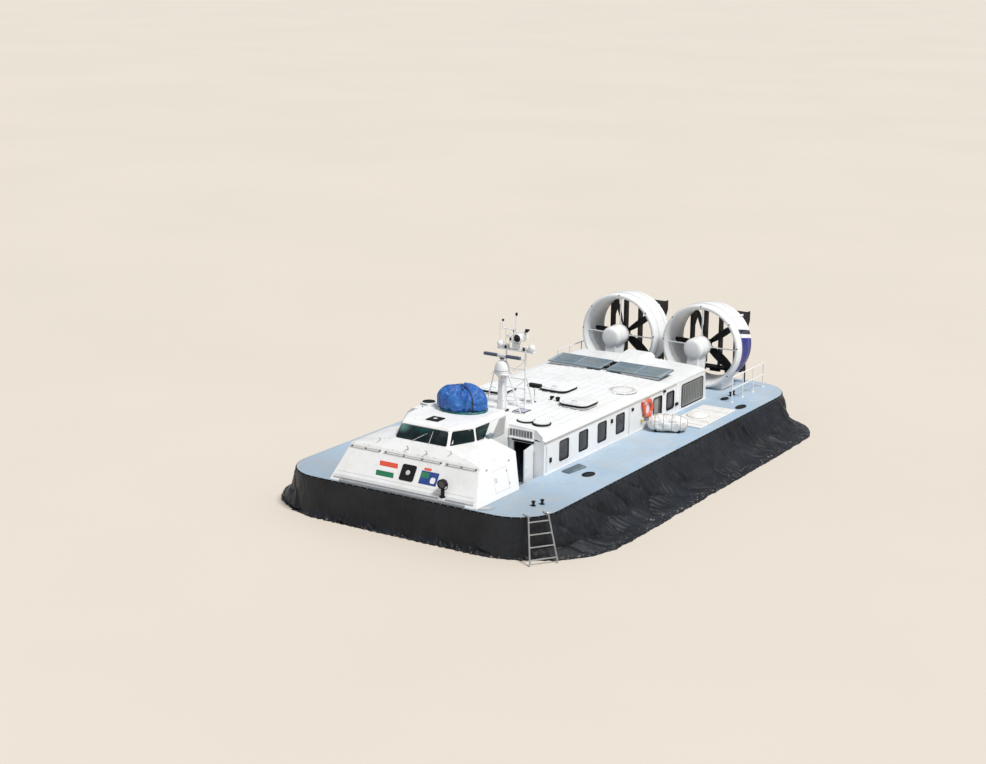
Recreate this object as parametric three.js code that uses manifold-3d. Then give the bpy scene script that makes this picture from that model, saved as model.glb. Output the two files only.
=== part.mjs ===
// Patrol hovercraft with twin ducted propellers, parked with its skirt down.
// Millimetres. +X is the bow, +Y is port, +Z is up; the origin is on the ground under the middle.
import * as THREE from "three";
import { ConvexGeometry } from "three/addons/geometries/ConvexGeometry.js";
import { mergeVertices } from "three/addons/utils/BufferGeometryUtils.js";
import Module from "manifold-3d";

const wasm = await Module();
wasm.setup();

// Driving dimensions of the whole craft.
const LENGTH = 21150; // skirt, bow to stern
const BEAM = 13180; // skirt as it lies on the sand
const GAP = 0.3; // between faces that touch
const DECK_Z = 1420;
const DECK_BOTTOM_Z = 1120;
const DECK_HALF = 5100;
const DECK_BOW_X = 10370;
const DECK_STERN_X = -9980;
const DECK_BOW_RADIUS = 1550;
const DECK_STERN_RADIUS = 1760;
const HULL_HALF = 2950;
const HULL_BOTTOM_Z = 320;
const PIT_FLOOR_Z = 950;
const PIT_HALF = 2700;

// Bow block and wheelhouse.
const BLOCK_BOW_X = 10310;
const BLOCK_SHOULDER_X = 9570;
const BLOCK_AFT_FOOT_X = 7720;
const BLOCK_AFT_TOP_X = 7360;
const BLOCK_SHOULDER_HALF = 2560;
const BLOCK_SHOULDER_Z = 2600;
const HOOD_Z = 2900;
const WINDSCREEN_X = 9200;
const WINDSCREEN_TOP_X = 8900;
const WINDSCREEN_HALF = 1040;
const WINDSCREEN_TOP_HALF = 930;
const WHEELHOUSE_HALF = 1460;
const WHEELHOUSE_TOP_HALF = 1390;
const WHEELHOUSE_KINK_X = 8100;
const WHEELHOUSE_TOP_Z = 3380;
const WHEELHOUSE_ROOF_Z = 3500;
const WALL = 60;

// Cabin and engine casing.
const CABIN_BOW_X = 6030;
const CABIN_STERN_X = -3700;
const CABIN_HALF = 2860;
const WALL_TOP_Z = 2600;
const ROOF_EDGE_HALF = 2550;
const ROOF_EDGE_Z = 2720;
const ROOF_CROWN_Z = 2820;
const ROOF_STERN_X = -2950;
const CASING_STERN_X = -6350;
const FRONT_BOX_Z = 3040;
const FRONT_BOX_STERN_X = 4800;

// Ducted propellers.
const DUCT_Y = 1860;
const HUB_Z = 3125;
const DUCT_RADIUS = 1700;
const THROAT_RADIUS = 1410;
const DUCT_LIP_X = -7650;
const DUCT_EXIT_X = -9150;
const PROPELLER_X = -8260;
const PROPELLER_RADIUS = 1370;
const BLADES = 5;
const RUDDER_AXIS_X = -9480;
const RUDDER_PITCH = 680;
const RUDDER_HALF_HEIGHT = 1150;
const RUDDER_LEAD = 90;
const RUDDER_TRAIL = 370;
const RUDDER_FRAME_HALF = 1150;

// Mast and scanner.
const SCANNER = new THREE.Vector3(4200, 0, 4830);
const SCANNER_HALF_LENGTH = 740;
const MAST_X = 3280;
const MAST_HALF = 400;
const MAST_ARM_Z = 4880;

const SIDES = [["port", 1], ["starboard", -1]];

// Paints and materials, taken from the look of the craft in daylight.
const paint = (color, roughness, metalness = 0) => new THREE.MeshStandardMaterial({ color, roughness, metalness });
const white = paint(0xe8e9ea, 0.45);
const deckBlue = paint(0xa8bfd2, 0.7);
const rubber = paint(0x26282c, 0.8);
const glass = paint(0x1d2b2f, 0.1);
const intakeGrey = paint(0x788a96, 0.6);
const black = paint(0x1c1d1f, 0.55);
const metal = paint(0xb4b6b6, 0.4, 0.8);
const tarpBlue = paint(0x1e55aa, 0.6);
const ringRed = paint(0xe15a50, 0.6);
const engineGrey = paint(0x59605f, 0.6);

const craft = new THREE.Group();

// Adds one named piece to the craft.
function piece(name, geometry, material) {
  const mesh = new THREE.Mesh(geometry, material);
  mesh.name = name;
  craft.add(mesh);
  return mesh;
}

// Solid of a closed geometry, for joins and cuts.
function solid(geometry) {
  const bare = geometry.clone();
  bare.deleteAttribute("normal");
  bare.deleteAttribute("uv");
  const merged = mergeVertices(bare, 1e-3);
  const index = merged.index ? merged.index.array : Array.from({ length: merged.attributes.position.count }, (_, i) => i);
  return new wasm.Manifold(new wasm.Mesh({
    numProp: 3,
    vertProperties: new Float32Array(merged.attributes.position.array),
    triVerts: new Uint32Array(index),
  }));
}

function geometryOf(body) {
  const mesh = body.getMesh();
  const geometry = new THREE.BufferGeometry();
  geometry.setAttribute("position", new THREE.BufferAttribute(new Float32Array(mesh.vertProperties), 3));
  geometry.setIndex(new THREE.BufferAttribute(new Uint32Array(mesh.triVerts), 1));
  return geometry;
}

const join = (...geometries) => geometryOf(geometries.map(solid).reduce((a, b) => a.add(b)));
const cut = (geometry, ...holes) => geometryOf(holes.map(solid).reduce((a, b) => a.subtract(b), solid(geometry)));

const shapeOf = (points) => new THREE.Shape(points.map(([x, y]) => new THREE.Vector2(x, y)));
const extrude = (shape, depth, curveSegments = 6) =>
  new THREE.ExtrudeGeometry(shape, { depth, bevelEnabled: false, curveSegments });

// Prism of a plan outline, between two heights.
const planPrism = (shape, low, high, segments) => extrude(shape, high - low, segments).translate(0, 0, low);

// Prism of an outline in X and Z, between two values of Y.
const sidePrism = (shape, low, high, segments) =>
  extrude(shape, high - low, segments).rotateX(Math.PI / 2).translate(0, high, 0);

// Prism of an outline in Y and Z, between two values of X.
const frontBasis = new THREE.Matrix4().makeBasis(
  new THREE.Vector3(0, 1, 0), new THREE.Vector3(0, 0, 1), new THREE.Vector3(1, 0, 0));
const frontPrism = (shape, low, high, segments) =>
  extrude(shape, high - low, segments).applyMatrix4(frontBasis).translate(low, 0, 0);

// Box between two corners.
const box = (x0, x1, y0, y1, z0, z1) =>
  new THREE.BoxGeometry(x1 - x0, y1 - y0, z1 - z0).translate((x0 + x1) / 2, (y0 + y1) / 2, (z0 + z1) / 2);

// Rounded rectangle outline about a centre.
function roundedRectangle(cx, cy, halfX, halfY, radius) {
  const shape = new THREE.Shape();
  shape.moveTo(cx - halfX + radius, cy - halfY);
  shape.lineTo(cx + halfX - radius, cy - halfY);
  shape.absarc(cx + halfX - radius, cy - halfY + radius, radius, -Math.PI / 2, 0);
  shape.lineTo(cx + halfX, cy + halfY - radius);
  shape.absarc(cx + halfX - radius, cy + halfY - radius, radius, 0, Math.PI / 2);
  shape.lineTo(cx - halfX + radius, cy + halfY);
  shape.absarc(cx - halfX + radius, cy + halfY - radius, radius, Math.PI / 2, Math.PI);
  shape.lineTo(cx - halfX, cy - halfY + radius);
  shape.absarc(cx - halfX + radius, cy - halfY + radius, radius, Math.PI, 1.5 * Math.PI);
  return shape;
}

// Convex body of points given for y > 0 and mirrored to both sides.
function mirroredHull(points) {
  const all = points.flatMap(([x, y, z]) => [new THREE.Vector3(x, y, z), new THREE.Vector3(x, -y, z)]);
  return new ConvexGeometry(all);
}

// Round bar between two points.
function bar(from, to, radius, sides = 8) {
  const a = new THREE.Vector3(...from);
  const b = new THREE.Vector3(...to);
  const axis = b.clone().sub(a);
  const turn = new THREE.Quaternion().setFromUnitVectors(new THREE.Vector3(0, 1, 0), axis.clone().normalize());
  const middle = a.clone().add(b).multiplyScalar(0.5);
  return new THREE.CylinderGeometry(radius, radius, axis.length(), sides)
    .applyQuaternion(turn).translate(middle.x, middle.y, middle.z);
}

// Upright cylinder standing on a height.
const post = (x, y, low, high, radius, sides = 16) =>
  new THREE.CylinderGeometry(radius, radius, high - low, sides).rotateX(Math.PI / 2).translate(x, y, (low + high) / 2);

// Hull tank with its landing pads and the pit that the cabin floor lies in.
const PAD_HALF = 2300;
const PADS = [[6900, 8300], [-700, 700], [-8300, -6900]]; // each pad: first x, last x
const hullSide = shapeOf([
  [DECK_STERN_X, DECK_Z], [DECK_STERN_X, DECK_BOTTOM_Z], [DECK_STERN_X + 400, DECK_BOTTOM_Z - 150], [-8900, HULL_BOTTOM_Z],
  [8700, HULL_BOTTOM_Z], [DECK_BOW_X - 400, DECK_BOTTOM_Z - 150], [DECK_BOW_X, DECK_BOTTOM_Z], [DECK_BOW_X, DECK_Z],
]);
const padBoxes = PADS.map(([x0, x1]) => box(x0, x1, -PAD_HALF, PAD_HALF, 0, HULL_BOTTOM_Z + 20));
const PIT_BOW_X = BLOCK_AFT_FOOT_X - 60;
const pit = box(CABIN_STERN_X + 100, PIT_BOW_X, -PIT_HALF, PIT_HALF, PIT_FLOOR_Z, DECK_Z + 10);
piece("hull", cut(join(sidePrism(hullSide, -HULL_HALF, HULL_HALF), ...padBoxes), pit), deckBlue);

// Side decks, port and starboard of the hull, with rounded corners.
const CORNER_CURVE = 5; // each corner is drawn in twice this many steps
function sideDeckShape(side) {
  const inner = HULL_HALF + GAP;
  const outer = DECK_HALF;
  const shape = new THREE.Shape();
  shape.moveTo(DECK_STERN_X, inner);
  shape.lineTo(DECK_BOW_X, inner);
  shape.lineTo(DECK_BOW_X, outer - DECK_BOW_RADIUS);
  shape.absarc(DECK_BOW_X - DECK_BOW_RADIUS, outer - DECK_BOW_RADIUS, DECK_BOW_RADIUS, 0, Math.PI / 2);
  shape.lineTo(DECK_STERN_X + DECK_STERN_RADIUS, outer);
  shape.absarc(DECK_STERN_X + DECK_STERN_RADIUS, outer - DECK_STERN_RADIUS, DECK_STERN_RADIUS, Math.PI / 2, Math.PI);
  return side > 0 ? shape : new THREE.Shape(shape.getPoints(CORNER_CURVE).reverse().map((p) => new THREE.Vector2(p.x, -p.y)));
}
// Bollards and the folded steps on the port deck. Each bollard: x, y.
const BOLLARDS = [[-7250, 3500], [-7500, 3500], [8900, 4200], [8600, 4350]];
const FOLDED_STEPS = [[4250, 3200], [5250, 3120], [5300, 3420], [4350, 3550]];
const portFittings = [
  ...BOLLARDS.flatMap(([x, y]) => [post(x, y, DECK_Z - 10, DECK_Z + 130, 38, 10), post(x, y, DECK_Z + 120, DECK_Z + 160, 66, 12)]),
  planPrism(shapeOf(FOLDED_STEPS), DECK_Z - 10, DECK_Z + 60),
];
for (const [name, side] of SIDES) {
  const deck = planPrism(sideDeckShape(side), DECK_BOTTOM_Z, DECK_Z, CORNER_CURVE);
  piece(`side_deck_${name}`, side > 0 ? join(deck, ...portFittings) : deck, deckBlue);
}

// Skirt: a ring of rubberised cloth in four quarters, from the deck edge down and out onto the ground.
const SKIRT_STEPS = 120;
const SKIRT_CLOTH = 45;
const SKIRT_FRONT_RADIUS = 3650;
const SKIRT_REAR_RADIUS = 3000;
const SKIRT_FOLDS = 30;
const SKIRT_FOLD_DEPTH = 45;
// Section from the deck edge to the ground: share of the spread, height.
const SKIRT_SECTION = [[0, 1380], [0.1, 1150], [0.2, 850], [0.34, 520], [0.55, 240], [0.8, 90], [1, 0]];
// Steps that each stretch of one half takes: bow, bow corner, side, stern corner, stern.
const SKIRT_STRETCHES = [7, 2 * CORNER_CURVE, 26, 2 * CORNER_CURVE, 7];

// Point and outward direction of the deck edge at a step of the way round, from the bow to port.
function deckEdge(step) {
  const mirrored = step > SKIRT_STEPS / 2;
  let left = mirrored ? SKIRT_STEPS - step : step;
  let stretch = 0;
  while (stretch < 4 && left > SKIRT_STRETCHES[stretch]) {
    left -= SKIRT_STRETCHES[stretch];
    stretch += 1;
  }
  const t = Math.min(1, left / SKIRT_STRETCHES[stretch]);
  const bow = DECK_BOW_X - DECK_BOW_RADIUS;
  const stern = DECK_STERN_X + DECK_STERN_RADIUS;
  const corners = [
    [bow, DECK_HALF - DECK_BOW_RADIUS, DECK_BOW_RADIUS, 0], [stern, DECK_HALF - DECK_STERN_RADIUS, DECK_STERN_RADIUS, Math.PI / 2],
  ]; // each corner: centre x, centre y, radius, first angle
  const point = new THREE.Vector2();
  const out = new THREE.Vector2();
  if (stretch === 1 || stretch === 3) {
    const [x, y, radius, first] = corners[(stretch - 1) / 2];
    out.set(Math.cos(first + (t * Math.PI) / 2), Math.sin(first + (t * Math.PI) / 2));
    point.set(x, y).addScaledVector(out, radius);
  } else if (stretch === 2) {
    out.set(0, 1);
    point.set(THREE.MathUtils.lerp(bow, stern, t), DECK_HALF);
  } else {
    const atBow = stretch === 0;
    out.set(atBow ? 1 : -1, 0);
    point.set(atBow ? DECK_BOW_X : DECK_STERN_X, corners[atBow ? 0 : 1][1] * (atBow ? t : 1 - t));
  }
  if (mirrored) {
    point.y *= -1;
    out.y *= -1;
  }
  return { point, out };
}

// How far a point lies outside the line where the skirt meets the ground.
function outsideFoot(point) {
  const radius = point.x > 0 ? SKIRT_FRONT_RADIUS : SKIRT_REAR_RADIUS;
  const x = Math.abs(point.x) - LENGTH / 2 + radius;
  const y = Math.abs(point.y) - BEAM / 2 + radius;
  return Math.hypot(Math.max(x, 0), Math.max(y, 0)) + Math.min(Math.max(x, y), 0) - radius;
}

// Distance from the deck edge to that line, measured straight outward.
function skirtReach({ point, out }) {
  let near = 0;
  let far = 4000;
  for (let i = 0; i < 40; i += 1) {
    const middle = (near + far) / 2;
    if (outsideFoot(point.clone().addScaledVector(out, middle)) > 0) {
      far = middle;
    } else {
      near = middle;
    }
  }
  return near;
}

// One quarter of the skirt, from one step to another, closed at both ends with a small gap to the next quarter.
function skirtQuarter(first, last) {
  const vertices = [];
  const rows = SKIRT_SECTION.length;
  for (let i = first; i <= last; i += 1) {
    const edge = deckEdge(i);
    const inward = (i === first ? GAP / 2 : 0) - (i === last ? GAP / 2 : 0);
    const reach = skirtReach(edge);
    edge.point.add(new THREE.Vector2(-edge.out.y, edge.out.x).multiplyScalar(inward));
    const start = GAP + SKIRT_CLOTH;
    const depth = Math.min(SKIRT_FOLD_DEPTH, 0.08 * reach);
    const fold = depth * (Math.cos((i / SKIRT_STEPS) * 2 * Math.PI * SKIRT_FOLDS) - 1);
    const outs = SKIRT_SECTION.map(([spread, z]) => [start + (reach - start) * spread + fold * Math.sin(Math.PI * spread), z]);
    const place = (out, z) => [edge.point.x + edge.out.x * out, edge.point.y + edge.out.y * out, z];
    const outer = outs.map(([out, z]) => place(out, z));
    const inner = outs.map(([out, z], k) => place(out - SKIRT_CLOTH * (k === rows - 1 ? 2.4 : Math.max(1, 0.9 + k * 0.12)), z));
    // Round the section: down the outside and back up the inside.
    vertices.push(...outer.flat(), ...inner.reverse().flat());
  }
  const ring = rows * 2;
  const index = [];
  for (let i = 0; i < last - first; i += 1) {
    for (let k = 0; k < ring; k += 1) {
      const a = i * ring + k;
      const b = i * ring + ((k + 1) % ring);
      index.push(a, b, b + ring, a, b + ring, a + ring);
    }
  }
  // The two end faces, strip by strip between the outer and the inner cloth.
  const end = (last - first) * ring;
  for (let k = 0; k < rows - 1; k += 1) {
    const outer = [k, k + 1];
    const inner = [ring - 1 - k, ring - 2 - k];
    index.push(outer[1], outer[0], inner[0], outer[1], inner[0], inner[1]);
    index.push(end + outer[0], end + outer[1], end + inner[1], end + outer[0], end + inner[1], end + inner[0]);
  }
  const geometry = new THREE.BufferGeometry();
  geometry.setAttribute("position", new THREE.Float32BufferAttribute(vertices, 3));
  geometry.setIndex(index);
  return geometry;
}
// Each quarter: name, first step, last step.
const SKIRT_QUARTERS = [
  ["skirt_bow_port", 0, 30], ["skirt_stern_port", 30, 60], ["skirt_stern_starboard", 60, 90], ["skirt_bow_starboard", 90, 120],
];
for (const [name, first, last] of SKIRT_QUARTERS) {
  piece(name, skirtQuarter(first, last), rubber);
}

// Bow block: sloped front, shoulders and the hood under the windscreen, hollow at the cockpit.
const blockOutside = mirroredHull([
  [BLOCK_BOW_X, HULL_HALF, DECK_Z + GAP], [BLOCK_AFT_FOOT_X, HULL_HALF, DECK_Z + GAP],
  [BLOCK_SHOULDER_X, BLOCK_SHOULDER_HALF, BLOCK_SHOULDER_Z], [BLOCK_AFT_TOP_X, BLOCK_SHOULDER_HALF, BLOCK_SHOULDER_Z],
  [WINDSCREEN_X + 60, WINDSCREEN_HALF, HOOD_Z], [WHEELHOUSE_KINK_X, WHEELHOUSE_HALF + 30, HOOD_Z],
  [BLOCK_AFT_TOP_X, WHEELHOUSE_HALF + 30, HOOD_Z],
]);
const cockpit = box(BLOCK_AFT_TOP_X - 200, 8750, -1250, 1250, DECK_Z - 100, HOOD_Z + 100);

// Grab rails under the shoulder, on short posts, and the ledge along the foot of the slope.
const SHOULDER_RAILS = [[-2520, -1300, 3], [-1130, 1150, 4], [1320, 2520, 3]]; // each rail: first y, last y, posts
const SHOULDER_RAIL_Z = 2505; // height of its posts' feet
const SHOULDER_RAIL_OFF = 48;
const LEDGE = { low: 1530, high: 1615, thick: 42, lengths: [[-2790, 1450], [1710, 2790]] }; // open at the searchlight
// Point of the sloped front at a height, lifted off it.
function onSlope(y, z, lift) {
  const run = BLOCK_SHOULDER_X - BLOCK_BOW_X;
  const rise = BLOCK_SHOULDER_Z - DECK_Z;
  const size = Math.hypot(run, rise);
  return [BLOCK_BOW_X + (run * (z - DECK_Z)) / rise + (lift * rise) / size, y, z - (lift * run) / size];
}
const shoulderRails = SHOULDER_RAILS.flatMap(([first, last, posts]) => [
  bar(onSlope(first, SHOULDER_RAIL_Z, SHOULDER_RAIL_OFF), onSlope(last, SHOULDER_RAIL_Z, SHOULDER_RAIL_OFF), 17),
  ...Array.from({ length: posts }, (_, i) => {
    const y = first + 40 + ((last - first - 80) * i) / (posts - 1);
    return bar(onSlope(y, SHOULDER_RAIL_Z, -20), onSlope(y, SHOULDER_RAIL_Z, SHOULDER_RAIL_OFF), 20, 6);
  }),
]);
const ledges = LEDGE.lengths.map((ends) => new ConvexGeometry(ends.flatMap((y) => [
  onSlope(y, LEDGE.low, -10), onSlope(y, LEDGE.low, LEDGE.thick),
  onSlope(y, LEDGE.high, LEDGE.thick * 0.8), onSlope(y, LEDGE.high + 20, -10),
]).map((point) => new THREE.Vector3(...point))));
piece("bow_block", cut(join(blockOutside, ...ledges, ...shoulderRails), cockpit), white);

// Rubber fender under the front edge of the bow block.
piece("bow_fender", box(BLOCK_BOW_X + GAP, BLOCK_BOW_X + 60, -2500, 2500, DECK_Z + GAP, DECK_Z + 90), rubber);

// Plan of the wheelhouse at a height, drawn in by an inset: bow corner, kink and after end.
function wheelhousePlan(z, inset, stern) {
  const t = (z - HOOD_Z) / (WHEELHOUSE_TOP_Z - HOOD_Z);
  const between = THREE.MathUtils.lerp;
  return [
    [between(WINDSCREEN_X, WINDSCREEN_TOP_X, t) - inset, between(WINDSCREEN_HALF, WINDSCREEN_TOP_HALF, t) - inset, z],
    [WHEELHOUSE_KINK_X - inset / 4, between(WHEELHOUSE_HALF, WHEELHOUSE_TOP_HALF, t) - inset, z],
    [stern, between(WHEELHOUSE_HALF, WHEELHOUSE_TOP_HALF, t) - inset, z],
  ];
}
const wheelhouseBody = (inset, low, high, stern) =>
  mirroredHull([...wheelhousePlan(low, inset, stern), ...wheelhousePlan(high, inset, stern)]);

// Wheelhouse shell, standing on the bow block and, behind it, on the floor of the pit.
const shellTop = wheelhouseBody(0, HOOD_Z + GAP, WHEELHOUSE_TOP_Z, CABIN_BOW_X + GAP);
const shellFoot = sidePrism(shapeOf([
  [CABIN_BOW_X + GAP, PIT_FLOOR_Z + GAP], [PIT_BOW_X - GAP, PIT_FLOOR_Z + GAP],
  [PIT_BOW_X - GAP, DECK_Z + GAP], [BLOCK_AFT_FOOT_X - 2, DECK_Z + GAP],
  [BLOCK_AFT_TOP_X - 2, BLOCK_SHOULDER_Z], [BLOCK_AFT_TOP_X - 2, HOOD_Z + 10], [CABIN_BOW_X + GAP, HOOD_Z + 10],
]), -WHEELHOUSE_HALF, WHEELHOUSE_HALF);
const footInside = box(CABIN_BOW_X - 300, 7900, -WHEELHOUSE_HALF + WALL, WHEELHOUSE_HALF - WALL, PIT_FLOOR_Z - 100, HOOD_Z + 50);
const windscreenHole = box(8500, 9500, -870, 870, 2960, 3320);
const forwardPane = shapeOf([[8960, 2980], [8790, 3310], [8190, 3310], [8190, 2980]]);
const afterPane = shapeOf([[8030, 2980], [8030, 3310], [7220, 3310], [7620, 2980]]);
const paneHoles = [forwardPane, afterPane].map((pane) => sidePrism(pane, -1800, 1800));
// Perforated plates on the after end of both sides.
const SIDE_PLATE = [[7350, 2800], [6380, 2800], [6150, 3360], [6640, 3360]]; // each corner: x, z
const sidePlates = SIDES.map(([, side]) => new ConvexGeometry(SIDE_PLATE.flatMap(([x, z]) => {
  const wall = THREE.MathUtils.lerp(WHEELHOUSE_HALF, WHEELHOUSE_TOP_HALF, Math.max(0, (z - HOOD_Z) / (WHEELHOUSE_TOP_Z - HOOD_Z)));
  return [-20, 22].map((off) => new THREE.Vector3(x, side * (wall + off), z));
})));
const shell = cut(
  join(shellTop, shellFoot, ...sidePlates),
  wheelhouseBody(WALL, HOOD_Z - 20, WHEELHOUSE_TOP_Z + 1, CABIN_BOW_X - 300), footInside, windscreenHole, ...paneHoles);
piece("wheelhouse", shell, white);

// Glass of the wheelhouse: one band inside the pillars, open at the back.
const glassBand = cut(
  wheelhouseBody(WALL + GAP, HOOD_Z + 20, WHEELHOUSE_TOP_Z - 20, 6800),
  wheelhouseBody(WALL + 14, HOOD_Z + 10, WHEELHOUSE_TOP_Z - 10, 6800),
  box(5000, 7100, -2000, 2000, 2500, 4000));
piece("wheelhouse_glass", glassBand, glass);

// Wheelhouse roof: a crowned slab with a small lip.
const ROOF_HATCH = { x: 8330, half: 230, top: 3530 };
const BUNDLE = { x: 6720, halfX: 720, halfY: 900, height: 850 };
// Low ring round the foot of the covered bundle. Profile: share of the bundle's radius, height.
const bundleRing = new THREE.LatheGeometry([[0.86, -10], [0.99, -10], [0.97, 40], [0.9, 52], [0.86, 40], [0.86, -10]]
  .map(([r, z]) => new THREE.Vector2(r, z)), 20).rotateX(Math.PI / 2)
  .applyMatrix4(new THREE.Matrix4().makeScale(BUNDLE.halfX, BUNDLE.halfY, 1))
  .translate(BUNDLE.x, 0, WHEELHOUSE_ROOF_Z);
const roofSlab = mirroredHull([
  [WINDSCREEN_TOP_X + 40, WINDSCREEN_TOP_HALF, WHEELHOUSE_TOP_Z + GAP],
  [WHEELHOUSE_KINK_X, WHEELHOUSE_TOP_HALF + 20, WHEELHOUSE_TOP_Z + GAP],
  [CABIN_BOW_X + GAP, WHEELHOUSE_TOP_HALF + 20, WHEELHOUSE_TOP_Z + GAP],
  [WINDSCREEN_TOP_X - 20, WINDSCREEN_TOP_HALF - 20, WHEELHOUSE_TOP_Z + 60],
  [WINDSCREEN_TOP_X - 250, WINDSCREEN_TOP_HALF - 130, WHEELHOUSE_ROOF_Z],
  [WHEELHOUSE_KINK_X, WHEELHOUSE_TOP_HALF - 160, WHEELHOUSE_ROOF_Z],
  [CABIN_BOW_X + GAP, WHEELHOUSE_TOP_HALF - 160, WHEELHOUSE_ROOF_Z],
]);
piece("wheelhouse_roof", join(
  roofSlab, bundleRing,
  planPrism(roundedRectangle(ROOF_HATCH.x, 0, ROOF_HATCH.half, ROOF_HATCH.half, 50), 3480, ROOF_HATCH.top, 3)), white);

// Covered bundle lashed on the wheelhouse roof.
const bundleProfile = [[0, 0], [0.8, 0], [1, 0.28], [0.97, 0.55], [0.8, 0.82], [0.45, 0.98], [0, 1]]
  .map(([r, z]) => new THREE.Vector2(r, z));
piece("tarp_bundle", new THREE.LatheGeometry(bundleProfile, 20).rotateX(Math.PI / 2)
  .scale(BUNDLE.halfX, BUNDLE.halfY, BUNDLE.height)
  .translate(BUNDLE.x, 0, WHEELHOUSE_ROOF_Z + GAP), tarpBlue);

// Cabin side walls with their window openings.
// Each window: centre x, centre z, half width, half height.
const WINDOWS = [
  [4700, 2050, 310, 350], [3370, 2050, 310, 350], [2040, 2050, 310, 350], [700, 2050, 310, 350],
  [-2200, 2010, 330, 370], [-3230, 2030, 290, 330],
];
const WINDOW_RADIUS = 70;
// Rack and cases beside the lifebuoy: first x, last x, outer y, low z, high z.
const RACK = [[-985, -895, 2945, 2290, 2470], [-985, -880, 2930, 1720, 1880]];
for (const [name, side] of SIDES) {
  const wall = shapeOf([
    [CABIN_STERN_X + GAP, DECK_Z + GAP], [CABIN_BOW_X, DECK_Z + GAP], [CABIN_BOW_X, WALL_TOP_Z], [CABIN_STERN_X + GAP, WALL_TOP_Z],
  ]);
  wall.holes = WINDOWS.map(([x, z, w, h]) => new THREE.Path(roundedRectangle(x, z, w, h, WINDOW_RADIUS).getPoints(3)));
  const near = side > 0 ? CABIN_HALF - WALL : -CABIN_HALF;
  const flat = sidePrism(wall, near, near + WALL, 3);
  piece(`cabin_wall_${name}`, side > 0 ? join(flat, ...RACK.map(([x0, x1, y1, z0, z1]) => box(x0, x1, near + 10, y1, z0, z1))) : flat, white);
  const pane = side > 0 ? CABIN_HALF - WALL - GAP - 12 : -CABIN_HALF + WALL + GAP;
  piece(`cabin_glass_${name}`, box(-3600, 5090, pane, pane + 12, 1600, 2480), glass);
}

// Front bulkhead of the cabin, with two doorways and the way through to the wheelhouse.
const DOOR = { inner: 1640, outer: 2400, low: 1030, high: 2480 };
const bulkhead = join(
  box(CABIN_BOW_X - WALL, CABIN_BOW_X - GAP, -CABIN_HALF + WALL + GAP, CABIN_HALF - WALL - GAP, DECK_Z + GAP, WALL_TOP_Z),
  box(CABIN_BOW_X - WALL, CABIN_BOW_X - GAP, -PIT_HALF + GAP, PIT_HALF - GAP, PIT_FLOOR_Z + GAP, DECK_Z + 100));
const doorway = (y0, y1, z1) => box(CABIN_BOW_X - 200, CABIN_BOW_X + 200, y0, y1, DOOR.low, z1);
piece("front_bulkhead", cut(bulkhead,
  doorway(DOOR.inner, DOOR.outer, DOOR.high), doorway(-DOOR.outer, -DOOR.inner, DOOR.high), doorway(-1100, 1100, 2500)), white);
const DOOR_MIDDLE_Z = (DOOR.low + DOOR.high + 20) / 2;

// Entrance doors, hinged at their outer edges on the face of the bulkhead.
const DOOR_REST = { port: THREE.MathUtils.degToRad(100), starboard: 0 };
const DOOR_AXIS_X = CABIN_BOW_X + 30;
const DOOR_AXIS_Y = DOOR.outer + 40;
for (const [name, side] of SIDES) {
  const leaf = join(
    box(-18, 22, -DOOR_AXIS_Y + DOOR.inner - 20, -35, DOOR.low + 10, DOOR.high + 10),
    ...[DOOR.low + 160, DOOR.high - 160].flatMap((z) => [
      post(0, 0, z - 60, z + 60, DOOR_AXIS_X - CABIN_BOW_X), box(-12, 12, -60, 0, z - 50, z + 50)]),
    box(20, 60, -700, -640, 1760, 1880));
  const door = piece(`entrance_door_${name}`, side > 0 ? leaf : cut(leaf).applyMatrix4(new THREE.Matrix4().makeRotationX(Math.PI)), white);
  door.position.set(DOOR_AXIS_X, side * DOOR_AXIS_Y, side > 0 ? 0 : 2 * DOOR_MIDDLE_Z);
  door.rotation.z = side * DOOR_REST[name];
}

// Cabin roof: cambered, with long ribs, the raised front boxes, vents and hatch coamings.
const RIBS = 15;
const RIB_HALF = 32;
const RIB_HEIGHT = 26;
const roofZ = (y) => ROOF_EDGE_Z + (ROOF_CROWN_Z - ROOF_EDGE_Z) * (1 - (y / ROOF_EDGE_HALF) ** 2);
const ribPoints = Array.from({ length: RIBS }, (_, i) => ROOF_EDGE_HALF * 0.92 * (1 - (2 * i) / (RIBS - 1))).flatMap((y) => [
  [y + RIB_HALF, roofZ(y + RIB_HALF)], [y + RIB_HALF * 0.7, roofZ(y) + RIB_HEIGHT],
  [y - RIB_HALF * 0.7, roofZ(y) + RIB_HEIGHT], [y - RIB_HALF, roofZ(y - RIB_HALF)],
]);
const GUTTER = 30;
const roofOutline = (top) => shapeOf([
  [CABIN_HALF + GUTTER, WALL_TOP_Z + GAP], [CABIN_HALF + GUTTER, WALL_TOP_Z + 40], [ROOF_EDGE_HALF, ROOF_EDGE_Z],
  ...top,
  [-ROOF_EDGE_HALF, ROOF_EDGE_Z], [-CABIN_HALF - GUTTER, WALL_TOP_Z + 40], [-CABIN_HALF - GUTTER, WALL_TOP_Z + GAP],
  [-CABIN_HALF + WALL + 40, WALL_TOP_Z + GAP], [-ROOF_EDGE_HALF, ROOF_EDGE_Z - WALL], [-1300, ROOF_CROWN_Z - WALL - 25],
  [1300, ROOF_CROWN_Z - WALL - 25], [ROOF_EDGE_HALF, ROOF_EDGE_Z - WALL], [CABIN_HALF - WALL - 40, WALL_TOP_Z + GAP],
]);
const HATCH_HALF = 590;
const HATCH_RADIUS = 330;
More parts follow.
